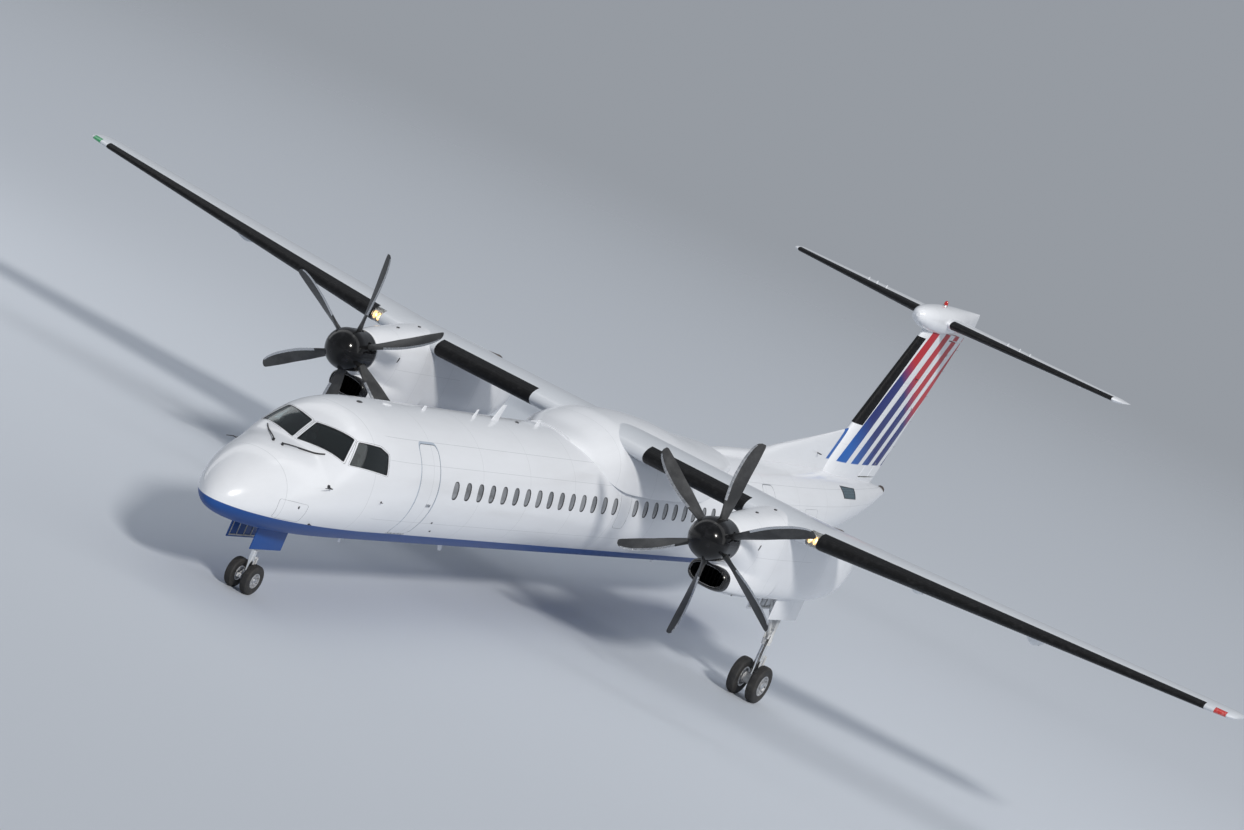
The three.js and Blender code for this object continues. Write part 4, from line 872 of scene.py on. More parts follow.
def aerofoil_ring(row, layout, camber, inflate=0.0):
    """Points round an aerofoil at one row of a table."""
    span, lead, chord, offset, thickness = row
    ring = []
    for k in range(SECTION_POINTS):
        c = (1 + math.cos(2 * math.pi * k / SECTION_POINTS)) / 2
        side = 0 if k in (0, SECTION_POINTS // 2) else 1 if k < SECTION_POINTS // 2 else -1
        thick = side * (half_thickness(c, thickness) * chord + inflate) + camber_at(c, camber) * chord
        ring.append(layout(lead + c * chord + (2 * c - 1) * inflate, offset + thick, span))
    return ring


def surface(table, spans, name, material, layout=along_wing, camber=CAMBER, inflate=0.0):
    """A closed lifting surface through sections at the places given."""
    rings = [aerofoil_ring(smooth_row(table, span), layout, camber, inflate) for span in spans]
    return solid(rings, name, material)


def behind_hinge(table, span, share, layout=along_wing, camber=CAMBER, gap=0.0, room=0.0):
    """Rings for all that lies aft of a hinge line, with a rounded front. A swept hinge crosses the
    sections at a slant, so that front is stretched there."""
    rows = [smooth_row(table, at) for at in steps(span[0] - room, span[1] + room, 6)]
    first, last = ((row[0], row[1] + share * row[2]) for row in (rows[0], rows[-1]))
    skew = math.hypot(1, (last[1] - first[1]) / (last[0] - first[0]))
    rings = []
    for at, lead, chord, offset, thickness in rows:
        y, v = lead + share * chord, offset + camber_at(share, camber) * chord
        r = half_thickness(share, thickness) * chord + gap
        upper = [(y + 3.5, 0.0), (y + 3.5, 0.7), (y + 0.002, 0.7)]
        for k in range(12):
            turn = k / 12 * math.pi / 2
            upper.append((y - r * skew * math.sin(turn), r * math.cos(turn)))
        outline = upper + [(y - r * skew, 0.0)] + [(a, -b) for a, b in reversed(upper[1:])]
        rings.append([layout(a, v + b, at) for a, b in outline])
    return rings


def leading_block(table, span, share, layout=along_wing):
    """Rings for a block from ahead of the leading edge back to a share of the chord."""
    rings = []
    for at in steps(span[0], span[1], 6):
        at, lead, chord, offset, _ = smooth_row(table, at)
        back = lead + share * chord
        corners = ((back, -0.5), (back, 0.5), (lead - 0.5, 0.5), (lead - 0.5, -0.5))
        rings.append([layout(a, offset + b, at) for a, b in corners])
    return rings


def mirrored(piece, name):
    """The other side's twin of a piece."""
    bm = bmesh.new()
    bm.from_mesh(piece.data)
    bmesh.ops.scale(bm, vec=(-1, 1, 1), verts=bm.verts)
    bmesh.ops.reverse_faces(bm, faces=bm.faces[:])
    mesh = bpy.data.meshes.new(name)
    bm.to_mesh(mesh)
    bm.free()
    for material in piece.data.materials:
        mesh.materials.append(material)
    twin = bpy.data.objects.new(name, mesh)
    bpy.context.scene.collection.objects.link(twin)
    return twin


def dress_pair(piece, body, slot, node_name=None):
    """Dresses a port piece and makes its starboard twin. Bodies and nodes end in the side."""
    twin = mirrored(piece, piece.name + "_right")
    piece.name += "_left"
    for made, word in ((piece, "left"), (twin, "right")):
        soften(made)
        nodes = [node_name + "_" + word] if node_name else []
        dress(made, body if body == "airframe" else body + "_" + word, slot, *nodes)


WING_Z, DIHEDRAL, DIHEDRAL_FROM = 3.82, math.radians(3.3), 5


def wing_row(x, lead, chord, thickness):
    """A row of the wing's table, raised by the dihedral."""
    return (x, lead, chord, WING_Z + max(x - DIHEDRAL_FROM, 0) * math.tan(DIHEDRAL), thickness)


CENTRE_WING = [(x, 13.4, 2.7, WING_Z, 0.18) for x in (-5.0, 0.0, 5.0)]
OUTER_WING = [
    wing_row(5.0005, 13.4, 2.7, 0.18), wing_row(9.0, 13.89994, 2.07734, 0.15955),
    wing_row(13.5, 14.46250, 1.37671, 0.13653), wing_row(13.8, 14.5, 1.33, 0.135),
    wing_row(14.06, 14.56, 1.24, 0.125), wing_row(14.17, 14.66, 1.08, 0.09),
    wing_row(14.21, 14.80, 0.86, 0.05),
]
HINGE_SHARE, BOOT_SHARE, LAMP_SHARE, EDGE_GAP, CLEAR = 0.73, 0.10, 0.075, 0.002, 0.014
CENTRE_BOOT, OUTER_BOOT = (1.40, 3.81), (5.50, 13.60)
LANDING_LIGHT, NAV_LIGHT = (5.27, 5.50), (13.80, 14.04)
INNER_FLAP, OUTER_FLAP, AILERON = (1.64, 3.80), (5.03, 9.96), (9.99, 13.68)
TRACKS = {"inner": [2.7], "outer": [7.25, 9.85], "half": 0.095, "below": 0.02, "drop": 0.35}
BOAT = [(-0.95, 0.25, 0.15), (-0.65, 0.7, 0.7), (-0.2, 1, 1), (0.25, 0.95, 0.9), (0.62, 0.5, 0.5),
        (0.86, 0.25, 0.12)]


def wing_share(tree, x, y):
    """How far across the chord a point of the wing lies, as a share, and how far out from 5 m."""
    out = math_node(tree, "MAXIMUM", math_node(tree, "SUBTRACT", math_node(tree, "ABSOLUTE", x), 5.0), 0.0)
    ahead = math_node(tree, "SUBTRACT", y, math_node(tree, "MULTIPLY_ADD", out, 0.125))
    chord = math_node(tree, "SUBTRACT", 2.7, math_node(tree, "MULTIPLY", out, 0.1557))
    return math_node(tree, "DIVIDE", math_node(tree, "ADD", ahead, 3.015), chord), out


# The wing's enamel is a greyer copy of the fuselage white: painted shade over the whole wing, its flaps,
# ailerons and track fairings.
shaded_wing_paint, tree, shader, (x, y, z), tint = gloss_paint("shaded_wing_paint", (0.60, 0.63, 0.675, 1), roughness=0.30)
share, out = wing_share(tree, x, y)
ribs = every(tree, x, 1.30, 0.004, start=0.2)
ribs = math_node(tree, "MULTIPLY", ribs, ramp(tree, share, 0.151, 0.153))
seams = strongest(tree, [near(tree, share, 0.152, 0.0016), near(tree, share, 0.60, 0.0016), ribs])
tint = add_seams(tree, shader, tint, seams, share=0.4)
finish(tree, shader, tint)
boot_rubber = mottled("boot_rubber", (0.022, 0.0225, 0.024), (0.006, 0.0062, 0.007), 9, 8, 0.7,
                      patch=(0.5, 0.78), gloss=(0.3, 0.7, 0.40, 0.56), Specular_IOR_Level=0.18)
tree, shader, place, _ = parts_of(boot_rubber)
x, y, z = node(tree, "SeparateXYZ", i_0=place).outputs
share, out = wing_share(tree, x, y)
tubes = math_node(tree, "PINGPONG", share, 0.011)
emboss(tree, shader, ramp(tree, tubes, 0.0, 0.004), 0.5, 0.004)

centre_wing = surface(CENTRE_WING, steps(-5, 5, 20), "centre_wing", shaded_wing_paint)
flap_room = behind_hinge(CENTRE_WING, INNER_FLAP, HINGE_SHARE, gap=CLEAR, room=CLEAR)
for side in (1, -1):
    cut(centre_wing, to_side(leading_block(CENTRE_WING, CENTRE_BOOT, BOOT_SHARE), side), sealant_and_duct_shade)
    cut(centre_wing, to_side(flap_room, side), primer)
soften(centre_wing)
dress(centre_wing, "airframe", "white_paint", "wing_centre_section")
OUTER_SPANS = [*steps(5.0005, 13.5, 22), 13.65, *steps(13.8, 14.06, 4), 14.10, 14.14, 14.17, 14.195, 14.21]
outer_wing = surface(OUTER_WING, OUTER_SPANS, "outer_wing_skin", shaded_wing_paint)
for span, share, lining in ((OUTER_BOOT, BOOT_SHARE, sealant_and_duct_shade), (LANDING_LIGHT, LAMP_SHARE, shaded_wing_paint),
                            (NAV_LIGHT, LAMP_SHARE, sealant_and_duct_shade)):
    cut(outer_wing, leading_block(OUTER_WING, span, share), lining)
for span in (OUTER_FLAP, AILERON):
    cut(outer_wing, behind_hinge(OUTER_WING, span, HINGE_SHARE, gap=CLEAR, room=CLEAR), primer)
dress_pair(outer_wing, "airframe", "white_paint", "outer_wing")


def edge_piece(table, span, share, name, material, layout=along_wing, camber=CAMBER):
    """A length of a surface's leading edge."""
    made = surface(table, steps(span[0] + EDGE_GAP, span[1] - EDGE_GAP, 16), name, material, layout, camber)
    cut(made, leading_block(table, (span[0] - 0.1, span[1] + 0.1), share - 0.001, layout), material,
        "INTERSECT")
    return made


for table, span, name in ((CENTRE_WING, CENTRE_BOOT, "centre"), (OUTER_WING, OUTER_BOOT, "outer")):
    boot = edge_piece(table, span, BOOT_SHARE, name + "_boot", boot_rubber)
    dress_pair(boot, "airframe", "boot_rubber", "deice_boot_" + name)

clear_cover = new_glass("clear_cover", (0.93, 0.95, 0.96))
cover = edge_piece(OUTER_WING, LANDING_LIGHT, LAMP_SHARE, "landing_lamp_cover", clear_cover)
hollow = []
for x in steps(LANDING_LIGHT[0] + 0.008, LANDING_LIGHT[1] - 0.008, 6):
    row = smooth_row(OUTER_WING, x)
    inside = aerofoil_ring(row, along_wing, CAMBER, -0.006)
    hollow.append([point for point in inside if point.y < row[1] + 0.2 * row[2]])
cut(cover, hollow, clear_cover)
dress_pair(cover, "airframe", "lamp_glass", "landing_light")
LAMP_PLACES, LAMP_TALL = (5.332, 5.440), 1.62
BOWL = [(0.006, 0.085), (0.022, 0.080), (0.038, 0.060), (0.048, 0.022), (0.051, 0.0), (0.053, 0.0),
        (0.053, 0.095), (0.004, 0.098)]


def add_spun(bm, profile, axis, centre, segments, across=Vector((0, 0, 1))):
    """Spins a profile of (radius, place along the axis) once round an axis."""
    verts = [bm.verts.new(centre + across * r + axis * a) for r, a in profile]
    edges = [bm.edges.new(pair) for pair in zip(verts, verts[1:])]
    bmesh.ops.spin(bm, geom=verts + edges, cent=centre, axis=axis, angle=2 * math.pi, steps=segments,
                   use_duplicate=False)
    bmesh.ops.remove_doubles(bm, verts=bm.verts, dist=2e-5)
    bmesh.ops.recalc_face_normals(bm, faces=bm.faces)


lamps, bulbs = bmesh.new(), bmesh.new()
for x in LAMP_PLACES:
    row = smooth_row(OUTER_WING, x)
    face, z = row[1] + 0.070, row[3] + 0.008
    bowl, merged = bmesh.new(), bpy.data.meshes.new("bowl")
    add_spun(bowl, BOWL, AFT, Vector(), 36, TO_PORT)
    tall = Matrix.Translation((x, face, z)) @ Matrix.Diagonal((1, 1, LAMP_TALL, 1))
    bmesh.ops.transform(bowl, matrix=tall, verts=bowl.verts)
    bowl.to_mesh(merged)
    bowl.free()
    lamps.from_mesh(merged)
    flat_ball(bulbs, (x, face + 0.058, z), (0.027, 0.8 * 0.027, 1.45 * 0.027), 24, 14)
# The reflector bowls glow by emission in warm patches: a painted reflection of the lit filaments.
gilt = mottled("gilded_reflector_painted_glow", (0.95, 0.86, 0.66), (0.72, 0.46, 0.20), 42, 2, patch=(0.45, 0.6),
               Metallic=0.8, Roughness=0.22, Emission_Color=(1.0, 0.74, 0.42, 1))
tree, shader, place, glow_patches = parts_of(gilt)
tree.links.new(ramp(tree, glow_patches, 0.42, 0.62, 0.05, 0.55), shader.inputs["Emission Strength"])
dress_pair(place_mesh(lamps, "landing_lamp_bowls", gilt), "airframe", "wheel_alloy")
warm_glow, tree, shader = new_material("warm_filament")
shader.inputs["Emission Color"].default_value = (1.0, 0.80, 0.52, 1)
place = node(tree, "TexCoord").outputs["Object"]
flicker = node(tree, "TexNoise", i_Vector=place, i_Scale=60.0).outputs[0]
tree.links.new(ramp(tree, flicker, 0.2, 0.8, 1.6, 2.6), shader.inputs["Emission Strength"])
dress_pair(place_mesh(bulbs, "landing_lamp_bulbs", warm_glow), "airframe", "lamp_glass")

for (side, word), colour in zip(SIDES, ((0.75, 0.03, 0.02), (0.02, 0.42, 0.14))):
    lens_glass = mottled("nav_lens_" + word, (0.8, 0.8, 0.8), colour, 18, 4, patch=(0.5, 0.8, 0.0, 0.3),
                         Roughness=0.12, Transmission_Weight=0.35, Coat_Weight=1.0)
    cap = edge_piece(OUTER_WING, NAV_LIGHT, LAMP_SHARE, "nav_lens", lens_glass)
    if side < 0:
        port = cap
        cap = mirrored(port, "nav_lens_right")
        bpy.data.objects.remove(port)
    cap.name = "nav_lens_" + word
    soften(cap)
    dress(cap, "airframe", "lamp_glass")


def trailing_piece(table, span, name, material, share=HINGE_SHARE, layout=along_wing, camber=CAMBER):
    """All of a surface that lies aft of a hinge line."""
    made = surface(table, steps(span[0], span[1], 16), name, material, layout, camber)
    cut(made, behind_hinge(table, span, share, layout, camber, room=0.2), material, "INTERSECT")
    return made


def hinge_point(table, at, share, camber=CAMBER, drop=0.0):
    """A place on a hinge line, below the mean line."""
    at, lead, chord, offset, _ = smooth_row(table, at)
    return Vector((at, lead + share * chord, offset + camber_at(share, camber) * chord - drop))


def track_boat(table, x, cut_from, cut_to):
    """One half of a flap-track fairing, between two distances from the flap's pivot."""
    pivot = hinge_point(table, x, HINGE_SHARE, drop=TRACKS["drop"])
    depth = TRACKS["drop"] + TRACKS["below"] - 0.04
    roof = pivot.z - TRACKS["below"] + depth
    rings = []
    for aft in steps(cut_from, cut_to, 22):
        _, deep, wide = smooth_row(BOAT, aft)
        ring = []
        for turn in turns(40):
            up = bowed(math.cos(turn), 0.86)
            low = roof + up * (depth * deep if up < 0 else 0.01)
            ring.append(Vector((x + math.sin(turn) * TRACKS["half"] * wide, pivot.y + aft, low)))
        rings.append(ring)
    return rings


def add_wicks(bm, feet, reach):
    """Static wicks, thin rods that trail from an edge."""
    for foot in feet:
        rod_between(bm, foot, foot + Vector(reach), 0.0035, 0.002, 8)


for table, xs, span, name in ((CENTRE_WING, TRACKS["inner"], INNER_FLAP, "flap_inner"),
                              (OUTER_WING, TRACKS["outer"], OUTER_FLAP, "flap_outer")):
    dress_pair(trailing_piece(table, span, name + "_skin", shaded_wing_paint), name, "white_paint", name)
    fore, aft, pins = bmesh.new(), bmesh.new(), bmesh.new()
    for x in xs:
        loft(fore, track_boat(table, x, -0.95, -0.013))
        loft(aft, track_boat(table, x, 0.007, 0.86))
        low, high = (hinge_point(table, x + reach, HINGE_SHARE, drop=TRACKS["drop"])
                     for reach in (-0.047, 0.047))
        rod_between(pins, low, high, 0.012, segments=20)
        for share in (0.3, 0.7):
            lug = low.lerp(high, share)
            rod_between(pins, lug, lug + Vector((0, 0.02, 0)), 0.006)
    dress_pair(place_mesh(fore, name + "_track_fore", shaded_wing_paint), "airframe", "white_paint")
    dress_pair(place_mesh(aft, name + "_track_aft", shaded_wing_paint), name, "white_paint")
    dress_pair(place_mesh(pins, name + "_track_pins", bare_metal), name, "wheel_alloy")
dress_pair(trailing_piece(OUTER_WING, AILERON, "aileron_skin", shaded_wing_paint), "aileron", "white_paint",
           "aileron")
pins, wicks = bmesh.new(), bmesh.new()
ends = [hinge_point(OUTER_WING, x, HINGE_SHARE) for x in (AILERON[0] - 0.013, AILERON[1] + 0.013)]
rod_between(pins, *ends, 0.011)
rows = [smooth_row(OUTER_WING, x) for x in (10.6, 11.5, 12.4, 13.2)]
add_wicks(wicks, [Vector((row[0], row[1] + row[2] - 0.012, row[3])) for row in rows], (0.01, 0.17, 0.0))
dress_pair(place_mesh(pins, "aileron_pins", bare_metal), "aileron", "wheel_alloy")
dress_pair(place_mesh(wicks, "aileron_wicks", dark_metal), "aileron", "wheel_alloy")


# Wing fairing: a moulded glass-fibre saddle over the fuselage that carries the wing, filleted into
# both. Rows: station, top, half width, height of its lower edge.
FAIRING = [
    (11.9, 3.705, 0.5, 3.56), (12.5, 3.80, 0.9, 3.30), (13.1, 3.985, 1.18, 3.05), (13.8, 4.125, 1.33, 2.93),
    (15.0, 4.15, 1.385, 2.90), (16.3, 4.09, 1.385, 2.90), (17.4, 3.96, 1.35, 2.93), (18.6, 3.84, 1.18, 3.15),
    (19.9, 3.77, 0.7, 3.50),
]
FAIRING_SQUARE = 2 / 2.3
rings = []
for y in steps(FAIRING[0][0], FAIRING[-1][0], 70):
    y, top, half, low = smooth_row(FAIRING, y)
    ring = []
    for turn in turns(72):
        across, up = bowed(math.sin(turn), FAIRING_SQUARE), abs(math.cos(turn)) ** FAIRING_SQUARE
        height = low + (top - low) * up if math.cos(turn) >= 0 else low - 0.03 * up
        ring.append(Vector((half * across, y, height)))
    rings.append(ring)
fairing_paint, tree, shader, (x, y, z), tint = gloss_paint("fairing_paint", WHITE, waves=0.0008)
tint = add_seams(tree, shader, tint, every(tree, y, 1.55, 0.004, start=-3.2))
finish(tree, shader, tint)
fairing = solid(rings, "wing_fairing_skin", fairing_paint)
flap_room = behind_hinge(CENTRE_WING, (INNER_FLAP[0] - 0.24, INNER_FLAP[1]), HINGE_SHARE, gap=CLEAR,
                         room=CLEAR)
for side in (1, -1):
    cut(fairing, to_side(flap_room, side), sealant_and_duct_shade)
soften(fairing)
dress(fairing, "airframe", "white_composite", "wing_fairing")


# Nacelles: sheet cowls with a chin intake under the spinner, blended into one smooth body that
# hangs under the wing, with vents, drain masts, the main gear's well and its open doors, and a
# tailpipe in a groove on top. They are alike, so the port one is made and mirrored. Rows: station,
# top, bottom, half width, squareness.
NACELLE_X = 4.4
COWL = [
    (11.47, 3.75, 2.89, 0.43, 2), (11.95, 3.85, 2.76, 0.48, 2.2), (12.6, 3.93, 2.52, 0.535, 2.5),
    (13.3, 4.01, 2.29, 0.56, 3), (14.4, 4.09, 2.21, 0.565, 3.4), (15.9, 3.95, 2.21, 0.56, 3.4),
    (16.9, 3.825, 2.235, 0.53, 3.2), (17.7, 3.70, 2.35, 0.45, 3), (18.3, 3.57, 2.56, 0.32, 2.8),
    (18.62, 3.45, 2.76, 0.20, 2.6),
]
CHIN = [
    (11.56, 2.79, 2.35, 0.40, 2.6), (11.62, 2.815, 2.325, 0.425, 2.6), (12.1, 2.84, 2.27, 0.47, 2.6),
    (13.0, 3.0, 2.225, 0.52, 2.8), (13.9, 3.2, 2.215, 0.545, 3),
]
WELL = {"half": 0.25, "front": 15.05, "rear": 16.62, "roof": 2.62, "plate": 0.025, "drop": 1.78}


def body_ring(row, grow=0.0, points=64, middle_x=NACELLE_X):
    """A rounded box across a pod, level and square to its length."""
    y, top, bottom, half, square = row
    middle, reach = (top + bottom) / 2, (top - bottom) / 2
    ring = []
    for turn in turns(points):
        across, up = bowed(math.sin(turn), 2 / square), bowed(math.cos(turn), 2 / square)
        ring.append(Vector((middle_x + (half + grow) * across, y, middle + (reach + grow) * up)))
    return ring


def fuse(piece, voxel, passes):
    """Melts a piece into one even skin and rounds its inner corners."""
    melt = piece.modifiers.new("melt", "REMESH")
    melt.mode, melt.voxel_size = "VOXEL", voxel
    bpy.context.view_layer.update()
    made = bpy.data.meshes.new_from_object(piece.evaluated_get(bpy.context.evaluated_depsgraph_get()))
    piece.modifiers.clear()
    bm = bmesh.new()
    bm.from_mesh(made)
    for _ in range(passes):
        bmesh.ops.smooth_vert(bm, verts=bm.verts, factor=0.5, use_axis_x=True, use_axis_y=True,
                              use_axis_z=True)
    bm.to_mesh(made)
    bm.free()
    piece.data = made


cowl_paint, tree, shader, (x, y, z), tint = gloss_paint("cowl_paint", WHITE, waves=0.0009)
fore = ramp(tree, y, -1.2, -1.25)
joints = [near(tree, y, at, 0.0035) for at in (-4.10, -3.05, -1.75, -0.35, 0.95)]
sides = math_node(tree, "MULTIPLY", near(tree, z, 3.30, 0.0035), ramp(tree, y, -4.1, -4.09))
tint = add_seams(tree, shader, tint, strongest(tree, [*joints, math_node(tree, "MULTIPLY", sides, fore)]))
soot_at = node(tree, "Mapping", i_0=node(tree, "TexCoord").outputs["Object"], i_3=(1.0, 0.35, 1.0)).outputs[0]
soot = node(tree, "TexNoise", i_Vector=soot_at, i_Scale=4.0, i_Detail=8.0, i_Roughness=0.65).outputs[0]
behind = math_node(tree, "MULTIPLY", ramp(tree, y, 0.9, 1.9), ramp(tree, z, 3.35, 3.62))
soot = math_node(tree, "MULTIPLY", math_node(tree, "MULTIPLY", behind, ramp(tree, soot, 0.25, 0.75)), 0.75)
tint = over(tree, soot, (0.07, 0.065, 0.06, 1), tint)
finish(tree, shader, tint)
black_rubber = mottled("glossy_black_rubber", (0.035, 0.035, 0.037), (0.007, 0.007, 0.008), 12, 7,
                       patch=(0.45, 0.8), gloss=(0.3, 0.7, 0.16, 0.34))
burnt_metal = mottled("heat_stained_steel", (0.34, 0.27, 0.21), (0.13, 0.12, 0.13), 11, 6,
                      gloss=(0.3, 0.7, 0.35, 0.6), Metallic=1.0)

cowl_stations = [*steps(11.47, 12.0, 8), *steps(12.1, 17.6, 40), *steps(17.7, 18.62, 12)]
CHIN_FRONT, DUCT_WALL = 11.56, -0.042
pod = solid([body_ring(smooth_row(COWL, y)) for y in cowl_stations], "nacelle_cowl", cowl_paint)
chin = solid([body_ring(smooth_row(CHIN, y)) for y in steps(CHIN_FRONT, 13.9, 26)], "chin", cowl_paint)
carve(pod, chin, "UNION")
fuse(pod, 0.028, 14)
duct_rings = [body_ring(smooth_row(CHIN, y), DUCT_WALL) for y in (11.561, *steps(11.6, 13.0, 12))]
well = bmesh.new()
block(well, NACELLE_X - WELL["half"], NACELLE_X + WELL["half"], WELL["front"], WELL["rear"], 2.0,
      WELL["roof"])
groove = bmesh.new()
rod_between(groove, (NACELLE_X, 17.0, 3.66), (NACELLE_X, 18.7, 3.60), 0.152, segments=48)
mouth_rings = [body_ring((11.50, *smooth_row(CHIN, CHIN_FRONT)[1:]), DUCT_WALL),
               body_ring(smooth_row(CHIN, 11.57), DUCT_WALL)]
# The intake's mouth and blind duct are lined in the black sealant: painted shade that makes the duct look
# deep.
cut(pod, mouth_rings, sealant_and_duct_shade)
cut(pod, duct_rings, sealant_and_duct_shade)
carve(pod, place_mesh(well, "well", primer))
carve(pod, place_mesh(groove, "groove", burnt_metal))
soften(pod, 40)
dress_pair(pod, "airframe", "white_paint", "nacelle")
LIP = [(11.74, 0.003), (11.62, 0.005), (11.585, 0.002), (11.562, -0.008), (11.553, -0.021), (11.562, -0.034),
       (11.60, -0.0425), (11.74, -0.0435)]
lip = bmesh.new()
loft(lip, [body_ring((y, *smooth_row(CHIN, max(y, CHIN_FRONT))[1:]), grow) for y, grow in LIP], closed=True)
dress_pair(place_mesh(lip, "intake_lip", black_rubber), "airframe", "boot_rubber")
grille = bmesh.new()
row = smooth_row(CHIN, 12.35)
for k in range(9):
    at = NACELLE_X - 0.36 + 0.09 * k
    block(grille, at - 0.004, at + 0.004, 12.30, 12.36, row[2] + 0.045, row[1] - 0.045)
dress_pair(place_mesh(grille, "intake_vanes", dark_metal), "airframe", "wheel_alloy")

vents, masts = bmesh.new(), bmesh.new()
for y, z, long, wide, lean in ((12.28, 3.40, 0.065, 0.020, 62), (13.20, 2.52, 0.050, 0.018, 20)):
    row = smooth_row(COWL, y)
    middle, reach = (row[1] + row[2]) / 2, (row[1] - row[2]) / 2
    out = row[3] * (1 - (abs(z - middle) / reach) ** row[4]) ** (1 / row[4])
    upright = Matrix.Rotation(math.radians(90), 4, "Y") @ Matrix.Rotation(math.radians(lean), 4, "Z")
    for side in (1, -1):
        place = Matrix.Translation((NACELLE_X + side * (out - 0.004), y, z)) @ upright
        bmesh.ops.create_cone(vents, cap_ends=True, segments=28, radius1=1, radius2=1, depth=0.014,
                              matrix=place @ Matrix.Diagonal((wide, long, 1, 1)))
for y, z in ((12.68, 3.94), (13.56, 4.035)):
    place = Matrix.Translation((NACELLE_X, y, z)) @ Matrix.Diagonal((0.030, 0.055, 1, 1))
    bmesh.ops.create_cone(vents, cap_ends=True, segments=28, radius1=1, radius2=0.9, depth=0.03, matrix=place)
for y, tip in ((14.86, 2.02), (14.60, 2.09)):
    levels = (2.25, 2.2, (2.2 + tip) / 2, tip)
    loft(masts, [blade_ring(NACELLE_X, y + (2.22 - z) * 0.45, z, 0.085, 0.03) for z in levels])
dress_pair(place_mesh(vents, "nacelle_vents", dark_metal), "airframe", "engine_metal")
dress_pair(place_mesh(masts, "nacelle_drains", fitting_white), "airframe", "white_paint")

tailpipe = bmesh.new()
bore, wall = 0.136, 0.012
axis_from, axis_to = Vector((NACELLE_X, 16.95, 3.665)), Vector((NACELLE_X, 17.66, 3.600))
along = (axis_to - axis_from).normalized()
turn = along.to_track_quat("Z", "Y").to_matrix()
section = [(0, bore), (0.70, bore), (0.712, bore + 0.004), (0.712, bore + wall), (0.695, bore + wall + 0.003),
           (0.67, bore + wall), (0, bore + wall)]
loft(tailpipe, [circle(axis_from + along * reach, turn, r, 48) for reach, r in section], closed=True)
rod_between(tailpipe, axis_from + along * 0.02, axis_from + along * 0.03, bore + 0.001, segments=48)
dress_pair(place_mesh(tailpipe, "tailpipe", burnt_metal), "airframe", "engine_metal")

doors, liners, arms = bmesh.new(), bmesh.new(), bmesh.new()
for side in (1, -1):
    x = NACELLE_X + side * (WELL["half"] + WELL["plate"] / 2)
    low, high, front, rear = WELL["drop"], 2.36, WELL["front"] + 0.03, WELL["rear"] - 0.03
    block(doors, x - 0.0125, x + 0.0125, front, rear, low, high)
    inner = x - side * 0.0135
    ribs = [(front + 0.05, rear - 0.05, low + 0.04, low + 0.07),
            (front + 0.05, rear - 0.05, high - 0.12, high - 0.09)]
    ribs += [(y - 0.012, y + 0.012, low + 0.07, high - 0.12) for y in steps(front + 0.062, rear - 0.062, 5)]
    for rib in ribs:
        block(liners, *sorted((inner - side * 0.010, inner + side * 0.001)), *rib)
    for y in (front + 0.2, rear - 0.2):
        rod_between(arms, (inner, y, 2.16), (NACELLE_X + side * 0.12, y, 2.60), 0.012)
bevel(doors, doors.edges[:], 0.008)
dress_pair(place_mesh(doors, "main_gear_doors", cowl_paint), "airframe", "white_paint")
dress_pair(place_mesh(liners, "main_door_ribs", primer), "airframe", "gear_paint")
dress_pair(place_mesh(arms, "main_door_arms", bare_metal), "airframe", "wheel_alloy")
for word in ("left", "right"):
    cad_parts["engine_" + word].material_slots[0].material = burnt_metal


# Propellers: six swept composite blades in satin charcoal, each with a metal guard along its
# leading edge and a rubber seal round its root, on a steel hub under a spun, glossy black spinner.
# They turn clockwise from behind.
PROPELLER_Y, SPINNER_Z = 11.15, 3.32
BLADE = [
    # radius, chord, thickness over chord, pitch in degrees, sweep of the middle
    (0.23, 0.165, 0.95, 62, 0), (0.33, 0.172, 0.86, 61.4, 0), (0.44, 0.190, 0.6, 60, 0.0),
    (0.58, 0.228, 0.34, 57, 0.004),
    (0.74, 0.270, 0.2, 53, 0.010), (1.15, 0.325, 0.10, 44, 0.015), (1.60, 0.310, 0.065, 37, -0.015),
    (1.90, 0.240, 0.05, 33, -0.060), (2.02, 0.165, 0.05, 31.4, -0.098), (2.055, 0.075, 0.05, 31, -0.122),
]
HUB = {"radius": 0.26, "front": -0.23, "rear": 0.24}
SPINNER = {"radius": 0.435, "front": -0.65, "root": 0.104}


def blade_section(radius, angles, lift=0.0):
    """Points round a blade's section, at a height over its surface."""
    radius, chord, thickness, pitch, sweep = smooth_row(BLADE, radius)
    b = math.radians(pitch)
    points = []
    for turn in angles:
        along = math.cos(turn) * (chord / 2 + lift) - sweep
        fullness = 1 - 0.25 * math.cos(turn) * (1 - thickness)
        thick = math.sin(turn) * (thickness * chord / 2 * fullness + lift)
        points.append(Vector((along * math.cos(b) + thick * math.sin(b),
                              along * math.sin(b) - thick * math.cos(b), radius)))
    return points


blade_paint = mottled("blade_composite", (0.075, 0.077, 0.080), (0.028, 0.029, 0.031), 3.5, 8, 0.7,
                      patch=(0.45, 0.8), gloss=(0.3, 0.7, 0.30, 0.46))
roughen(blade_paint, 90, 3, 0.25, 0.0004)
spinner_black = mottled("spinner_black", (0.018, 0.018, 0.020), (0.004, 0.004, 0.0045), 6, 7,
                        patch=(0.5, 0.8), gloss=(0.3, 0.7, 0.12, 0.24), Specular_IOR_Level=0.2,
                        Coat_Weight=0.28, Coat_Roughness=0.05)

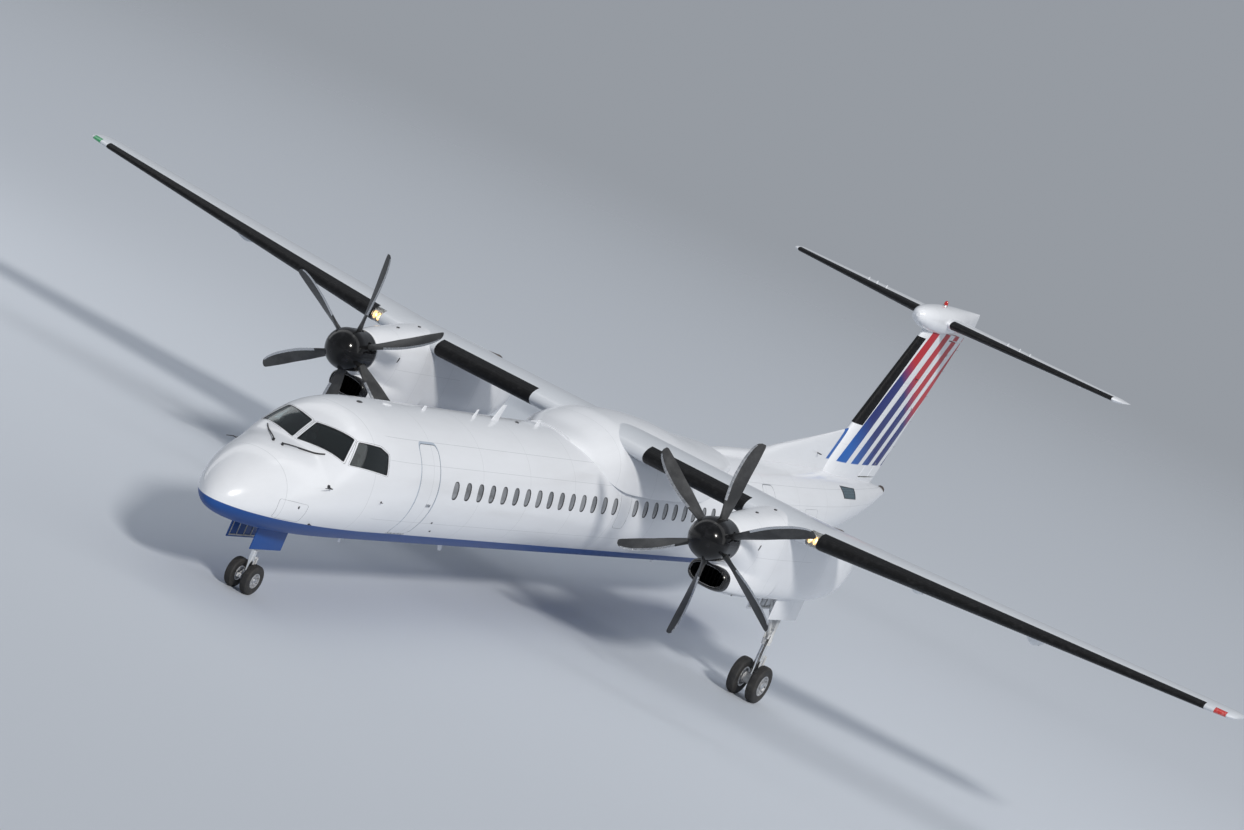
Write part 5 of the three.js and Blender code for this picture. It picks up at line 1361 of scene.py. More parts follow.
around = turns(36)
edge_turns = [math.radians(a) for a in range(132, 229, 8)]
hub_centre = Vector((NACELLE_X, PROPELLER_Y, SPINNER_Z))
blade_turns = [Matrix.Translation(hub_centre) @ Matrix.Rotation(k * math.pi / 3, 4, "Y") for k in range(6)]
blades, guards, seals = bmesh.new(), bmesh.new(), bmesh.new()
for turn in blade_turns:
    radii = [*steps(0.23, 0.74, 10), *steps(0.84, 1.9, 12), 1.96, 2.0, 2.03, 2.047, 2.055]
    loft(blades, [[turn @ point for point in blade_section(r, around)] for r in radii])
    shells = []
    for r in steps(0.78, 1.99, 16):
        outside = blade_section(r, edge_turns, 0.0012)
        inside = blade_section(r, edge_turns, -0.002)
        shells.append([turn @ point for point in outside + inside[::-1]])
    loft(guards, shells)
    collar = []
    for r, reach in ((0.088, 0.395), (0.101, 0.395), (0.101, 0.418), (0.088, 0.424)):
        collar.append([turn @ Vector((r * math.cos(a), r * math.sin(a), reach)) for a in around])
    loft(seals, collar, closed=True)
hub = bmesh.new()
rim = HUB["radius"] - 0.005
profile = [(0.0, HUB["front"]), (0.20, HUB["front"]), (rim, HUB["front"] + 0.03), (rim, HUB["rear"]),
           (0.0, HUB["rear"])]
add_spun(hub, profile, AFT, hub_centre, 48)
dress_pair(place_mesh(blades, "propeller_blades", blade_paint), "propeller", "blade_composite", "propeller")
dress_pair(place_mesh(guards, "blade_guards", bare_metal), "propeller", "wheel_alloy")
dress_pair(place_mesh(seals, "blade_root_seals", boot_rubber), "propeller", "boot_rubber")
dress_pair(place_mesh(hub, "propeller_hub", bare_metal), "propeller", "wheel_alloy")
shell = bmesh.new()
nose_run = SPINNER["front"] + 0.2
cap = [(SPINNER["radius"] * math.sin(t) ** 0.92 if t else 0.0, -0.2 + nose_run * math.cos(t))
       for t in steps(0, math.pi / 2, 28)]
skirt = [(0.435, 0.186), (0.431, 0.189), (0.431, 0.195), (0.435, 0.198), (0.435, 0.274), (0.430, 0.288),
         (0.415, 0.30), (0.0, 0.30)]
add_spun(shell, cap + skirt, AFT, hub_centre, 96)
spinner = place_mesh(shell, "spinner_shell", spinner_black)
holes = bmesh.new()
for turn in blade_turns:
    rod_between(holes, turn @ Vector((0, 0, 0.30)), turn @ Vector((0, 0, 0.60)), SPINNER["root"], segments=40)
carve(spinner, place_mesh(holes, "root_holes", sealant_and_duct_shade))
dress_pair(spinner, "propeller", "spinner_black", "spinner")


# Fin and rudders: a swept composite fin grown out of a long dorsal spine, a rubber boot on its edge,
# and a rudder in two hinged lengths, with its pin, bearing pads and static wicks. Slanted bands fade
# from red at the top to blue below. Two probes and the auxiliary power unit's pipe are made here too.
def straight_run(table, after):
    """Adds a row just inside each end of one run of a table, which keeps the curve straight there."""
    low, high = table[after], table[after + 1]
    inner = [tuple(a + (b - a) * t for a, b in zip(low, high)) for t in (0.01, 0.99)]
    return table[:after + 1] + inner + table[after + 1:]


FIN = straight_run([(3.15, 26.52, 3.99, 0.0, 0.11), (3.50, 26.76, 3.86, 0.0, 0.11),
                    (7.46, 29.53, 2.93, 0.0, 0.10)], 1)
FIN_BOOT, FIN_BOOT_SHARE = (4.85, 7.24), 0.085
RUDDER, RUDDER_ROOM, FORE_HINGE, REAR_HINGE = (3.60, 7.30), 0.034, 0.62, 0.82
RUDDER_PADS = ((3.90, 3.96), (5.40, 5.46), (6.90, 6.96))
DORSAL = [
    # station, top, half width
    (19.95, 3.72, 0.25), (21.0, 3.79, 0.33), (22.5, 3.83, 0.30), (24.0, 4.08, 0.20), (27.3, 4.64, 0.095),
    (27.7, 4.72, 0.08),
]
DORSAL_SIDE = [(0.22, 0.985), (0.35, 0.93), (0.44, 0.83), (0.50, 0.70), (0.56, 0.50), (0.63, 0.34),
               (0.75, 0.20), (0.90, 0.10), (1, -0.1)]
BAND_RED, BAND_NAVY, BAND_BLUE = (0.46, 0.010, 0.022, 1), (0.008, 0.018, 0.15, 1), (0.010, 0.11, 0.42, 1)
fin_paint, tree, shader, (x, y, z), tint = gloss_paint("fin_paint", WHITE, waves=0.0007)
lean = math_node(tree, "SUBTRACT", y, math_node(tree, "MULTIPLY", z, 0.70))
chord_seams = strongest(tree, [near(tree, z, at, 0.0035) for at in (4.42, 5.30, 6.18, 7.06)])
chord_seams = math_node(tree, "MULTIPLY", chord_seams, ramp(tree, lean, 7.55, 7.56))
tint = add_seams(tree, shader, tint, strongest(tree, [chord_seams, near(tree, lean, 8.35, 0.004)]),
                 share=0.35)
BAND_PITCH = 0.84
place_in_band = math_node(tree, "PINGPONG", lean, BAND_PITCH / 2)
half_band = ramp(tree, z, 4.0, 8.0, 0.27, 0.20)
bands = math_node(tree, "LESS_THAN", place_in_band, half_band)
inside = math_node(tree, "MULTIPLY", ramp(tree, lean, 7.62, 7.64), ramp(tree, z, 3.98, 4.0))
fade = math_node(tree, "ADD", z, math_node(tree, "MULTIPLY", lean, 0.45))
colour = over(tree, ramp(tree, fade, 8.1, 8.9), BAND_NAVY, BAND_BLUE)
colour = over(tree, ramp(tree, fade, 10.0, 10.5), BAND_RED, colour)
painted = math_node(tree, "MULTIPLY", bands, inside)
finish(tree, shader, over(tree, painted, colour, tint))
dull_where(tree, shader, painted, 0.45, (0.45, 0.08))

rings = []
for y, top, half in (smooth_row(DORSAL, y) for y in steps(DORSAL[0][0], DORSAL[-1][0], 60)):
    foot = hull_row(y)[1] - 0.15
    port = [Vector((half * across, y, foot + (top - foot) * up)) for across, up in DORSAL_SIDE]
    rings.append([Vector((0, y, top))] + port + mirror_outline(port[::-1]))
dorsal = solid(rings, "dorsal_spine", fin_paint)
soften(dorsal, 40)
dress(dorsal, "airframe", "white_composite")
fin = surface(FIN, steps(3.15, 7.46, 26), "fin_skin", fin_paint, along_fin, 0.0)
cut(fin, behind_hinge(FIN, RUDDER, FORE_HINGE, along_fin, 0.0, CLEAR, RUDDER_ROOM), primer)
cut(fin, leading_block(FIN, FIN_BOOT, FIN_BOOT_SHARE, along_fin), sealant_and_duct_shade)
soften(fin)
dress(fin, "airframe", "white_composite", "fin")
boot = edge_piece(FIN, FIN_BOOT, FIN_BOOT_SHARE, "fin_boot", boot_rubber, along_fin, 0.0)
soften(boot)
dress(boot, "airframe", "boot_rubber", "deice_boot_fin")
for name, share, rear_share in (("rudder_fore", FORE_HINGE, REAR_HINGE),
                                ("rudder_trailing", REAR_HINGE, None)):
    rudder = trailing_piece(FIN, RUDDER, name + "_skin", fin_paint, share, along_fin, 0.0)
    if rear_share:
        cut(rudder, behind_hinge(FIN, RUDDER, rear_share, along_fin, 0.0, CLEAR, 0.2), primer)
    soften(rudder)
    dress(rudder, name, "white_composite", name)


def fin_point(z, share):
    """A place in the fin's middle plane."""
    z, lead, chord, *_ = smooth_row(FIN, z)
    return Vector((0, lead + share * chord, z))


PIPE = [(0.0, 0.03), (0.084, 0.03), (0.084, 0.268), (0.092, 0.276), (0.101, 0.268), (0.104, 0.0), (0.0, 0.0)]
PIPE_TILT = math.radians(20)
pipe_axis = Vector((0, math.cos(PIPE_TILT), math.sin(PIPE_TILT)))
exhaust, stubs = bmesh.new(), bmesh.new()
add_spun(exhaust, PIPE, pipe_axis, Vector((0, 31.26, 3.195)), 48, TO_PORT)
dress(place_mesh(exhaust, "auxiliary_exhaust", burnt_metal, 35), "airframe", "engine_metal")
for x, y, z, reach in ((0.12, 26.16, 4.0, 0.11), (0.15, 30.08, 6.22, 0.10)):
    elbow = x + reach * 0.5
    rod_between(stubs, (x - 0.06, y, z), (elbow, y, z), 0.016, 0.012)
    rod_between(stubs, (elbow, y + 0.01, z), (elbow, y - reach, z), 0.012, 0.007)
dress(place_mesh(stubs, "tail_probes", dark_metal, 40), "airframe", "wheel_alloy")
pads, pin, wicks = bmesh.new(), bmesh.new(), bmesh.new()
for low, high in RUDDER_PADS:
    row = smooth_row(FIN, high)
    radius = half_thickness(REAR_HINGE, row[4]) * row[2] + CLEAR - 0.0015
    foot, head = fin_point(low, REAR_HINGE), fin_point(high, REAR_HINGE)
    axis = (head - foot).normalized()
    aft = (AFT - axis * axis.y).normalized()
    arc = [aft * math.cos(t) + axis.cross(aft) * math.sin(t) for t in map(math.radians, range(96, 265, 8))]
    outline = [way * radius for way in arc] + [way * (radius - 0.04) for way in reversed(arc)]
    loft(pads, [[end + p for p in outline] for end in (foot, head)])
pin_ends = (RUDDER[0] - RUDDER_ROOM + CLEAR, RUDDER[1] + RUDDER_ROOM - CLEAR)
rod_between(pin, *(fin_point(z, FORE_HINGE) for z in pin_ends), 0.018)
add_wicks(wicks, [fin_point(z, 0.995) for z in (4.4, 5.1, 5.8, 6.5, 7.1)], (0, 0.17, 0.02))
dress(place_mesh(pads, "rudder_bearing_pads", bare_metal, 40), "rudder_trailing", "wheel_alloy")
dress(place_mesh(pin, "rudder_pin", bare_metal, 40), "rudder_fore", "wheel_alloy")
dress(place_mesh(wicks, "rudder_wicks", dark_metal, 40), "rudder_trailing", "wheel_alloy")


# Tailplane and bullet: a composite tailplane with rubber boots, small vanes behind them, plain
# elevators with their pins, bracket fairings and static wicks, seated in a moulded bullet that
# carries a red beacon on top.
TAILPLANE = straight_run([
    (0.0, 29.75, 2.47, 7.77, 0.12), (0.35, 29.86, 2.37, 7.77, 0.12), (4.48, 31.13, 1.23, 7.77, 0.11),
    (4.59, 31.23, 1.08, 7.77, 0.08), (4.635, 31.40, 0.85, 7.77, 0.05),
], 1)
TAIL_BOOT, ELEVATOR, ELEVATOR_HINGE = (0.42, 4.46), (0.42, 4.44), 0.62
BULLET = [
    (28.70, 7.79, 7.69, 0.045, 2.2), (28.79, 7.90, 7.59, 0.165, 2.2), (29.05, 7.985, 7.50, 0.265, 2.2),
    (29.5, 8.05, 7.43, 0.335, 2.2), (30.2, 8.105, 7.41, 0.355, 2.2), (31.1, 8.13, 7.48, 0.285, 2.2),
    (32.0, 8.13, 7.60, 0.15, 2.2), (32.83, 8.12, 7.74, 0.018, 2.2),
]
TAIL_SPANS = [*steps(0.0, 0.35, 3), *steps(0.6, 4.4, 16), *steps(4.48, 4.59, 4), 4.61, 4.625, 4.635]
tail_paint, tree, shader, (x, y, z), tint = gloss_paint("tail_paint", WHITE, waves=0.0005)
middle = ramp(tree, math_node(tree, "ABSOLUTE", x), 0.37, 0.36)
joints = strongest(tree, [near(tree, y, at, 0.0035) for at in (12.95, 13.9, 15.05)])
joints = math_node(tree, "MULTIPLY", joints, middle)
ribs = every(tree, x, 0.92, 0.003, start=0.46)
seams = strongest(tree, [joints, math_node(tree, "MULTIPLY", ribs, 0.5)])
tint = add_seams(tree, shader, tint, seams, share=0.4)
finish(tree, shader, tint)
port = [aerofoil_ring(smooth_row(TAILPLANE, x), along_wing, 0.0) for x in TAIL_SPANS]
tailplane = solid([mirror_outline(ring) for ring in port[:0:-1]] + port, "tailplane_skin", tail_paint)
elevator_room = behind_hinge(TAILPLANE, ELEVATOR, ELEVATOR_HINGE, camber=0.0, gap=CLEAR, room=CLEAR)
for rings, lining in ((elevator_room, primer), (leading_block(TAILPLANE, TAIL_BOOT, BOOT_SHARE), sealant_and_duct_shade)):
    for side in (1, -1):
        cut(tailplane, to_side(rings, side), lining)
soften(tailplane)
dress(tailplane, "airframe", "white_composite", "tailplane")
boot = edge_piece(TAILPLANE, TAIL_BOOT, BOOT_SHARE, "tail_boot", boot_rubber, camber=0.0)
dress_pair(boot, "airframe", "boot_rubber", "deice_boot_tail")
elevator = trailing_piece(TAILPLANE, ELEVATOR, "elevator_skin", tail_paint, ELEVATOR_HINGE, camber=0.0)
dress_pair(elevator, "elevator", "white_composite", "elevator")
BRACKETS, VANES = (1.35, 2.45, 3.55), (1.72, 2.02, 2.28)
pins, wicks, brackets, vanes = (bmesh.new() for _ in range(4))
ends = [hinge_point(TAILPLANE, x, ELEVATOR_HINGE, 0.0) for x in (ELEVATOR[0] - 0.010, ELEVATOR[1] + 0.010)]
rod_between(pins, *ends, 0.011)
add_wicks(wicks, [hinge_point(TAILPLANE, x, 0.993, 0.0) for x in (2.3, 3.1, 3.8, 4.3)], (0.01, 0.14, 0.0))
for x in BRACKETS:
    at, lead, chord, height, thickness = smooth_row(TAILPLANE, x)
    under = height - half_thickness(0.5, thickness) * chord
    back = lead + ELEVATOR_HINGE * chord - 0.12 - CLEAR
    rings = []
    for share in steps(0, 1, 10):
        bulge = math.sin(math.pi * min(share + 0.04, 0.96)) ** 0.7
        centre = Vector((x, back - 0.40 + 0.42 * share, under + 0.012))
        rings.append([centre + Vector((0.022 * bulge * math.sin(a), 0, 0.055 * bulge * math.cos(a)))
                      for a in turns(20)])
    loft(brackets, rings)
for x in VANES:
    at, lead, chord, height, thickness = smooth_row(TAILPLANE, x)
    y, top = lead + 0.17 * chord, height + half_thickness(0.17, thickness) * chord
    rows = ((-0.012, 0, 0.12), (0.02, 0, 0.11), (0.055, 0.02, 0.06))
    loft(vanes, [blade_ring(x, y + sweep, top + rise, long, 0.007) for rise, sweep, long in rows])
dress_pair(place_mesh(vanes, "tail_vanes", tail_paint), "airframe", "white_composite")
dress_pair(place_mesh(pins, "elevator_pin", bare_metal), "elevator", "wheel_alloy")
dress_pair(place_mesh(wicks, "elevator_wicks", dark_metal), "elevator", "wheel_alloy")
dress_pair(place_mesh(brackets, "elevator_bracket_fairings", tail_paint), "airframe", "white_composite")
spans = [*steps(28.70, 28.79, 5), *steps(28.84, 32.83, 46)]
bullet = solid([body_ring(smooth_row(BULLET, y), points=56, middle_x=0.0) for y in spans], "bullet_skin",
               tail_paint)
soften(bullet)
dress(bullet, "airframe", "white_composite", "tail_bullet")
beacon_glass, tree, shader = new_material("beacon_lens")
place = node(tree, "TexCoord").outputs["Object"]
x, y, z = node(tree, "SeparateXYZ", i_0=place).outputs
ribs = every(tree, z, 0.014, 0.004)
finish(tree, shader, over(tree, ribs, (0.36, 0.010, 0.010, 1), (0.78, 0.022, 0.016, 1)))
shader.inputs["Transmission Weight"].default_value = 0.35
shader.inputs["Roughness"].default_value = 0.10
shader.inputs["Coat Weight"].default_value = 1.0
BEACON_Y, BEACON_TOP = 30.2, 8.24
foot = smooth_row(BULLET, BEACON_Y)[1]
base, lens = bmesh.new(), bmesh.new()
base_edge = [(0.0, -0.05), (0.058, -0.05), (0.060, 0.012), (0.054, 0.022), (0.0, 0.022)]
dome = [(0.049 * math.sin(t), 0.07 + (BEACON_TOP - foot - 0.071) * math.cos(t))
        for t in steps(0, math.pi / 2, 10)]
for made, profile in ((base, base_edge), (lens, dome + [(0.051, 0.02), (0.0, 0.02)])):
    add_spun(made, profile, UP, Vector((0, BEACON_Y, foot)), 40, TO_PORT)
dress(place_mesh(base, "tail_beacon_base", bare_metal, 35), "airframe", "wheel_alloy")
dress(place_mesh(lens, "tail_beacon_lens", beacon_glass, 35), "airframe", "lamp_glass")


# Main landing gear: a tall welded leg under each nacelle, with a chromed sliding tube, torque links,
# a forward drag brace and its cross tube, brake pipes, and an axle for a pair of wheels.
GROUND = -0.1
MAIN_LEG = {"x": 4.4, "y": 16.29, "roof": 2.7195, "axle": 0.405}
enamel = mottled("gear_enamel", (0.34, 0.32, 0.29), (0.66, 0.67, 0.68), 5, 8, 0.7,
                 patch=(0.45, 0.80, 0.0, 0.55), gloss=(0.3, 0.7, 0.26, 0.44))
tree, shader, place, _ = parts_of(enamel)
specks = node(tree, "TexNoise", i_Vector=place, i_Scale=45.0, i_Detail=4.0).outputs[0]
tint = shader.inputs["Base Color"].links[0].from_socket
finish(tree, shader, over(tree, ramp(tree, specks, 0.66, 0.74, 0.0, 0.6), (0.16, 0.15, 0.14, 1), tint))
chrome = mottled("hard_chrome", (0.62, 0.60, 0.56), (0.86, 0.87, 0.88), 14, 5, patch=(0.45, 0.8),
                 gloss=(0.3, 0.8, 0.05, 0.16), Metallic=1.0)
hose_rubber, tree, shader = new_material("braided_hose")
place = node(tree, "TexCoord").outputs["Object"]
braid = node(tree, "TexVoronoi", i_Vector=place, i_Scale=260.0).outputs[0]
finish(tree, shader, over(tree, ramp(tree, braid, 0.2, 0.6), (0.05, 0.05, 0.052, 1),
                          (0.012, 0.012, 0.013, 1)))
shader.inputs["Roughness"].default_value = 0.55
emboss(tree, shader, braid, 0.5, 0.0006)


def foot_point(leg, x, y, z):
    """A point of a landing gear leg, from its foot on the ground."""
    return Vector((leg["x"] + x, leg["y"] + y, GROUND + z))


def pipe(bm, points, radius, segments=12):
    """A bent tube through points, with its bends rounded off."""
    path = [Vector(points[0])]
    for before, corner, after in zip(points, points[1:], points[2:]):
        before, corner, after = Vector(before), Vector(corner), Vector(after)
        reach = min(0.06, (corner - before).length * 0.45, (after - corner).length * 0.45)
        start = corner + (before - corner).normalized() * reach
        end = corner + (after - corner).normalized() * reach
        path += [start.lerp(corner, t).lerp(corner.lerp(end, t), t) for t in (0, 0.25, 0.5, 0.75, 1)]
    path.append(Vector(points[-1]))
    rings = []
    for k, point in enumerate(path):
        along = path[min(k + 1, len(path) - 1)] - path[max(k - 1, 0)]
        rings.append(circle(point, along.to_track_quat("Z", "Y").to_matrix(), radius, segments))
    loft(bm, rings)


def cross_pin(bm, leg, half, y, z, radius, segments=20):
    """A level pin across a leg, centred on it."""
    rod_between(bm, foot_point(leg, -half, y, z), foot_point(leg, half, y, z), radius, segments=segments)


def ease_edges(bm, shorter, offset):
    """Rounds the sharp edges of a casting that are longer than a length."""
    sharp = [e for e in bm.edges if len(e.link_faces) == 2 and e.calc_face_angle() > 1.2]
    bevel(bm, [e for e in sharp if e.calc_length() > shorter], offset, 2)


def link_arm(bm, leg, outline, wide_at, wide_to):
    """A forged torque link: a plate of the outline, wide at its root and narrow at its pin."""
    rings = []
    for y, low, high, share in outline:
        half = wide_at + (wide_to - wide_at) * share
        corners = ((-half, low), (half, low), (half, high), (-half, high))
        rings.append([foot_point(leg, x, y, z) for x, z in corners])
    loft(bm, rings)


def bolt_row(bm, centre, axis, radius, count, size, long, start=0.0):
    """Hexagon bolt heads set evenly round an axis."""
    axis = Vector(axis)
    across = axis.orthogonal().normalized()
    for k in range(count):
        way = Matrix.Rotation(start + 2 * math.pi * k / count, 3, axis) @ across
        foot = Vector(centre) + way * radius
        rod_between(bm, foot - axis * 0.004, foot + axis * long, size, segments=6)


leg = MAIN_LEG
leg_foot, axle_centre = foot_point(leg, 0, 0, 0), foot_point(leg, 0, 0, leg["axle"])
casting, tubes, bright, pipes, hoses = (bmesh.new() for _ in range(5))
LEG_PROFILE = [
    (0.0, 1.20), (0.088, 1.20), (0.096, 1.208), (0.096, 1.262), (0.104, 1.270), (0.104, 1.335),
    (0.098, 1.345),
    (0.086, 1.372), (0.086, 1.86), (0.094, 1.89), (0.094, 1.935), (0.086, 1.962), (0.086, 2.36),
    (0.100, 2.42),
    (0.104, 2.50), (0.104, 2.66), (0.098, 2.70), (0.098, leg["roof"]), (0.0, leg["roof"]),
]
add_spun(casting, LEG_PROFILE, UP, leg_foot, 56, TO_PORT)
axle_housing = [(0.0, -0.112), (0.084, -0.112), (0.096, -0.102), (0.096, 0.102), (0.084, 0.112), (0.0, 0.112)]
add_spun(casting, axle_housing, TO_PORT, axle_centre, 48)
tube_foot = leg["axle"] + 0.02
add_spun(bright, [(0.0, tube_foot), (0.066, tube_foot), (0.066, 1.30), (0.0, 1.30)], UP, leg_foot, 56,
         TO_PORT)
collar = [(0.0, 0.47), (0.092, 0.47), (0.094, 0.49), (0.078, 0.535), (0.0, 0.535)]
add_spun(casting, collar, UP, leg_foot, 48, TO_PORT)
axle_end = [(0.0, -0.330), (0.040, -0.330), (0.050, -0.322), (0.050, 0.322), (0.040, 0.330), (0.0, 0.330)]
add_spun(bright, axle_end, TO_PORT, axle_centre, 40)
link_arm(casting, leg, [(0.060, 0.595, 0.665, 0), (0.17, 0.600, 0.650, 0.5), (0.265, 0.602, 0.642, 1)],
         0.062, 0.040)
link_arm(casting, leg, [(0.060, 0.895, 0.965, 0), (0.17, 0.905, 0.952, 0.5), (0.265, 0.910, 0.950, 1)],
         0.062, 0.040)
for x in (-0.030, 0.030):
    rod_between(casting, foot_point(leg, x, 0.280, 0.61), foot_point(leg, x, 0.280, 0.94), 0.021, segments=20)
cross_pin(bright, leg, 0.052, 0.280, 0.622, 0.014)
cross_pin(bright, leg, 0.052, 0.280, 0.930, 0.014)
link_arm(casting, leg, [(0.060, 0.905, 1.345, 0), (0.095, 0.91, 1.32, 0.4), (0.128, 0.92, 1.26, 1)], 0.050,
         0.028)
cross_pin(bright, leg, 0.066, 0.085, 0.930, 0.016)
brace_foot, brace_head = foot_point(leg, 0, -0.02, 1.385), foot_point(leg, 0, -1.02, 2.565)
rod_between(tubes, brace_foot, brace_head, 0.040, segments=32)
for share in (0.07, 0.47, 0.50, 0.90):
    band = brace_foot.lerp(brace_head, share), brace_foot.lerp(brace_head, share + 0.03)
    rod_between(tubes, *band, 0.048, segments=32)
for x in (leg["x"] - 0.045, leg["x"] + 0.045):
    block(casting, x - 0.012, x + 0.012, leg["y"] - 0.16, leg["y"] - 0.05, GROUND + 1.345, GROUND + 1.455)
cross_pin(bright, leg, 0.07, -0.115, 1.478, 0.020, 24)
cross_pin(tubes, leg, 0.170, -1.030, 2.570, 0.058, 36)
for x in (-1, 1):
    rod_between(bright, foot_point(leg, x * 0.168, -1.030, 2.570), foot_point(leg, x * 0.2495, -1.030, 2.570),
                0.034, segments=32)
    rod_between(casting, foot_point(leg, x * 0.06, 0, 2.520), foot_point(leg, x * 0.215, 0, 2.520), 0.070,
                0.060, 40)
    rod_between(bright, foot_point(leg, x * 0.212, 0, 2.520), foot_point(leg, x * 0.2495, 0, 2.520),
                0.045, segments=32)
    link_arm(casting, leg, [(-0.02, 2.30, 2.47, 0), (0.02, 2.30, 2.47, 0)], 0.10, 0.10)
bolt_row(bright, foot_point(leg, 0, 0, 1.262), (0, 0, -1), 0.090, 12, 0.007, 0.068)
for x, y in ((0.055, -0.075), (0.035, -0.088)):
    pipe(pipes, [foot_point(leg, x, y + 0.01, 2.60), foot_point(leg, x, y, 2.30),
                 foot_point(leg, x, y, 1.42)], 0.0055)
    hose = [(x, y, 1.42), (x + 0.015, y - 0.075, 1.10), (x + 0.03, y - 0.09, 0.80),
            (x + 0.035, y - 0.03, 0.52),
            (x + 0.03, -0.07, 0.46)]
    pipe(hoses, [foot_point(leg, *point) for point in hose], 0.009)
for z in (1.55, 1.95, 2.20):
    block(pipes, leg["x"] + 0.020, leg["x"] + 0.070, leg["y"] - 0.098, leg["y"] - 0.060,
          GROUND + z, GROUND + z + 0.022)
brake_plate = [(0.0, 0.1135), (0.118, 0.1135), (0.124, 0.117), (0.124, 0.122), (0.118, 0.1245), (0.0, 0.1245)]
for x in (-1, 1):
    add_spun(tubes, brake_plate, Vector((x, 0, 0)), axle_centre, 48)
    for turn in (40, 130, 230, 320):
        way = Vector((0, math.cos(math.radians(turn)), math.sin(math.radians(turn))))
        at = foot_point(leg, x * 0.098, 0, leg["axle"]) + way * 0.105
        rod_between(casting, at, at + Vector((x * 0.017, 0, 0)), 0.018, segments=20)
ease_edges(casting, 0.03, 0.004)
for bm, name, material, slot, *nodes in (
    (casting, "main_leg_casting", enamel, "gear_paint", "main_leg"),
    (tubes, "main_leg_tubes", enamel, "gear_paint"),
    (bright, "main_leg_chrome", chrome, "wheel_alloy"),
    (pipes, "main_leg_pipes", bare_metal, "wheel_alloy"),
    (hoses, "main_leg_hoses", hose_rubber, "boot_rubber"),
):
    dress_pair(place_mesh(bm, name, material), "airframe", slot, *nodes)


# Wheels: forged two-piece alloy rims with tie bolts, beads and cast vents, on tubeless tyres with
# plain ribbed treads. The main and nose wheels are alike but for their size.
MAIN_WHEEL = {"half": 0.230, "radius": 0.405, "width": 0.222, "rim": 0.203, "axle": 0.050, "bolts": 10,
              "grooves": (0.020, 0.058)}
NOSE_WHEEL = {"half": 0.172, "radius": 0.280, "width": 0.165, "rim": 0.128, "axle": 0.036, "bolts": 8,
              "grooves": (0.014, 0.042)}
NOSE_FOOT = {"x": 0.0, "y": 2.35, "roof": 1.5695, "axle": 0.280}
TREAD_BOW, BULGE = 0.56, 0.497
tyre_rubber = mottled("tyre_rubber", (0.085, 0.080, 0.074), (0.022, 0.022, 0.023), 9, 8, 0.7,
                      patch=(0.45, 0.8, 0.0, 0.7), gloss=(0.3, 0.7, 0.62, 0.82))
roughen(tyre_rubber, 300, 2, 0.35, 0.0008)
forged_alloy = mottled("forged_alloy", (0.16, 0.145, 0.13), (0.62, 0.63, 0.65), 12, 8, 0.7,
                       patch=(0.45, 0.8, 0.0, 0.65), gloss=(0.3, 0.7, 0.26, 0.46), Metallic=0.75)


def tyre_profile(wheel):
    """A tyre's section from bead to bead, with square grooves between its ribs."""
    width, outer, bead = wheel["width"], wheel["radius"], wheel["rim"] + 0.002
    widest = bead + 0.38 * (outer - bead)
    side = []
    for t in steps(0, math.pi / 2, 6):
        side.append((bead + (widest - bead) * math.sin(t), width * (0.375 + 0.122 * math.sin(t) ** 1.3)))
    for t in steps(0.12, math.pi / 2, 13):
        across = width * BULGE * math.cos(t) ** TREAD_BOW if t < 1.57 else 0.0
        side.append((widest + (outer - widest) * math.sin(t) ** TREAD_BOW, across))
    side = [point for point in side if point[1] >= wheel["grooves"][1] + 0.012]
    for groove in reversed(wheel["grooves"]):
        drop = (outer - widest) * (1 - (1 - (groove / (width * BULGE)) ** (2 / TREAD_BOW)) ** (TREAD_BOW / 2))
        top = outer - drop
        side += [(top, groove + 0.0045), (top - 0.007, groove + 0.0035), (top - 0.007, groove - 0.0035),
                 (top, groove - 0.0045)]
    return side + [(r, -a) for r, a in reversed(side)]


def rim_profile(wheel):
    """A rim's section: bead flanges, a well between them, and a dished web down to the bearing."""
    width, rim, bore = wheel["width"], wheel["rim"], wheel["axle"] + 0.0012
    seat, edge, flange = 0.375 * width, 0.44 * width, rim + 0.09 * width
    outer_side = [
        (bore, edge - 0.004), (bore + 0.006, edge), (rim * 0.40, edge), (rim * 0.43, edge - 0.006),
        (rim * 0.47, seat * 0.62), (rim * 0.74, seat * 0.42), (rim * 0.84, seat * 0.46),
        (rim * 0.90, seat * 0.80),
        (rim * 0.94, edge - 0.004), (flange - 0.006, edge), (flange, edge - 0.005),
        (flange - 0.003, seat + 0.004),
        (rim + 0.001, seat),
    ]
    inner_side = [
        (rim + 0.001, -seat), (flange - 0.003, -seat - 0.004), (flange, -edge + 0.005),
        (flange - 0.006, -edge),
        (rim * 0.93, -edge + 0.006), (rim * 0.90, -seat * 0.5), (rim * 0.62, -seat * 0.30),
        (bore, -seat * 0.42),
    ]
    return outer_side + inner_side


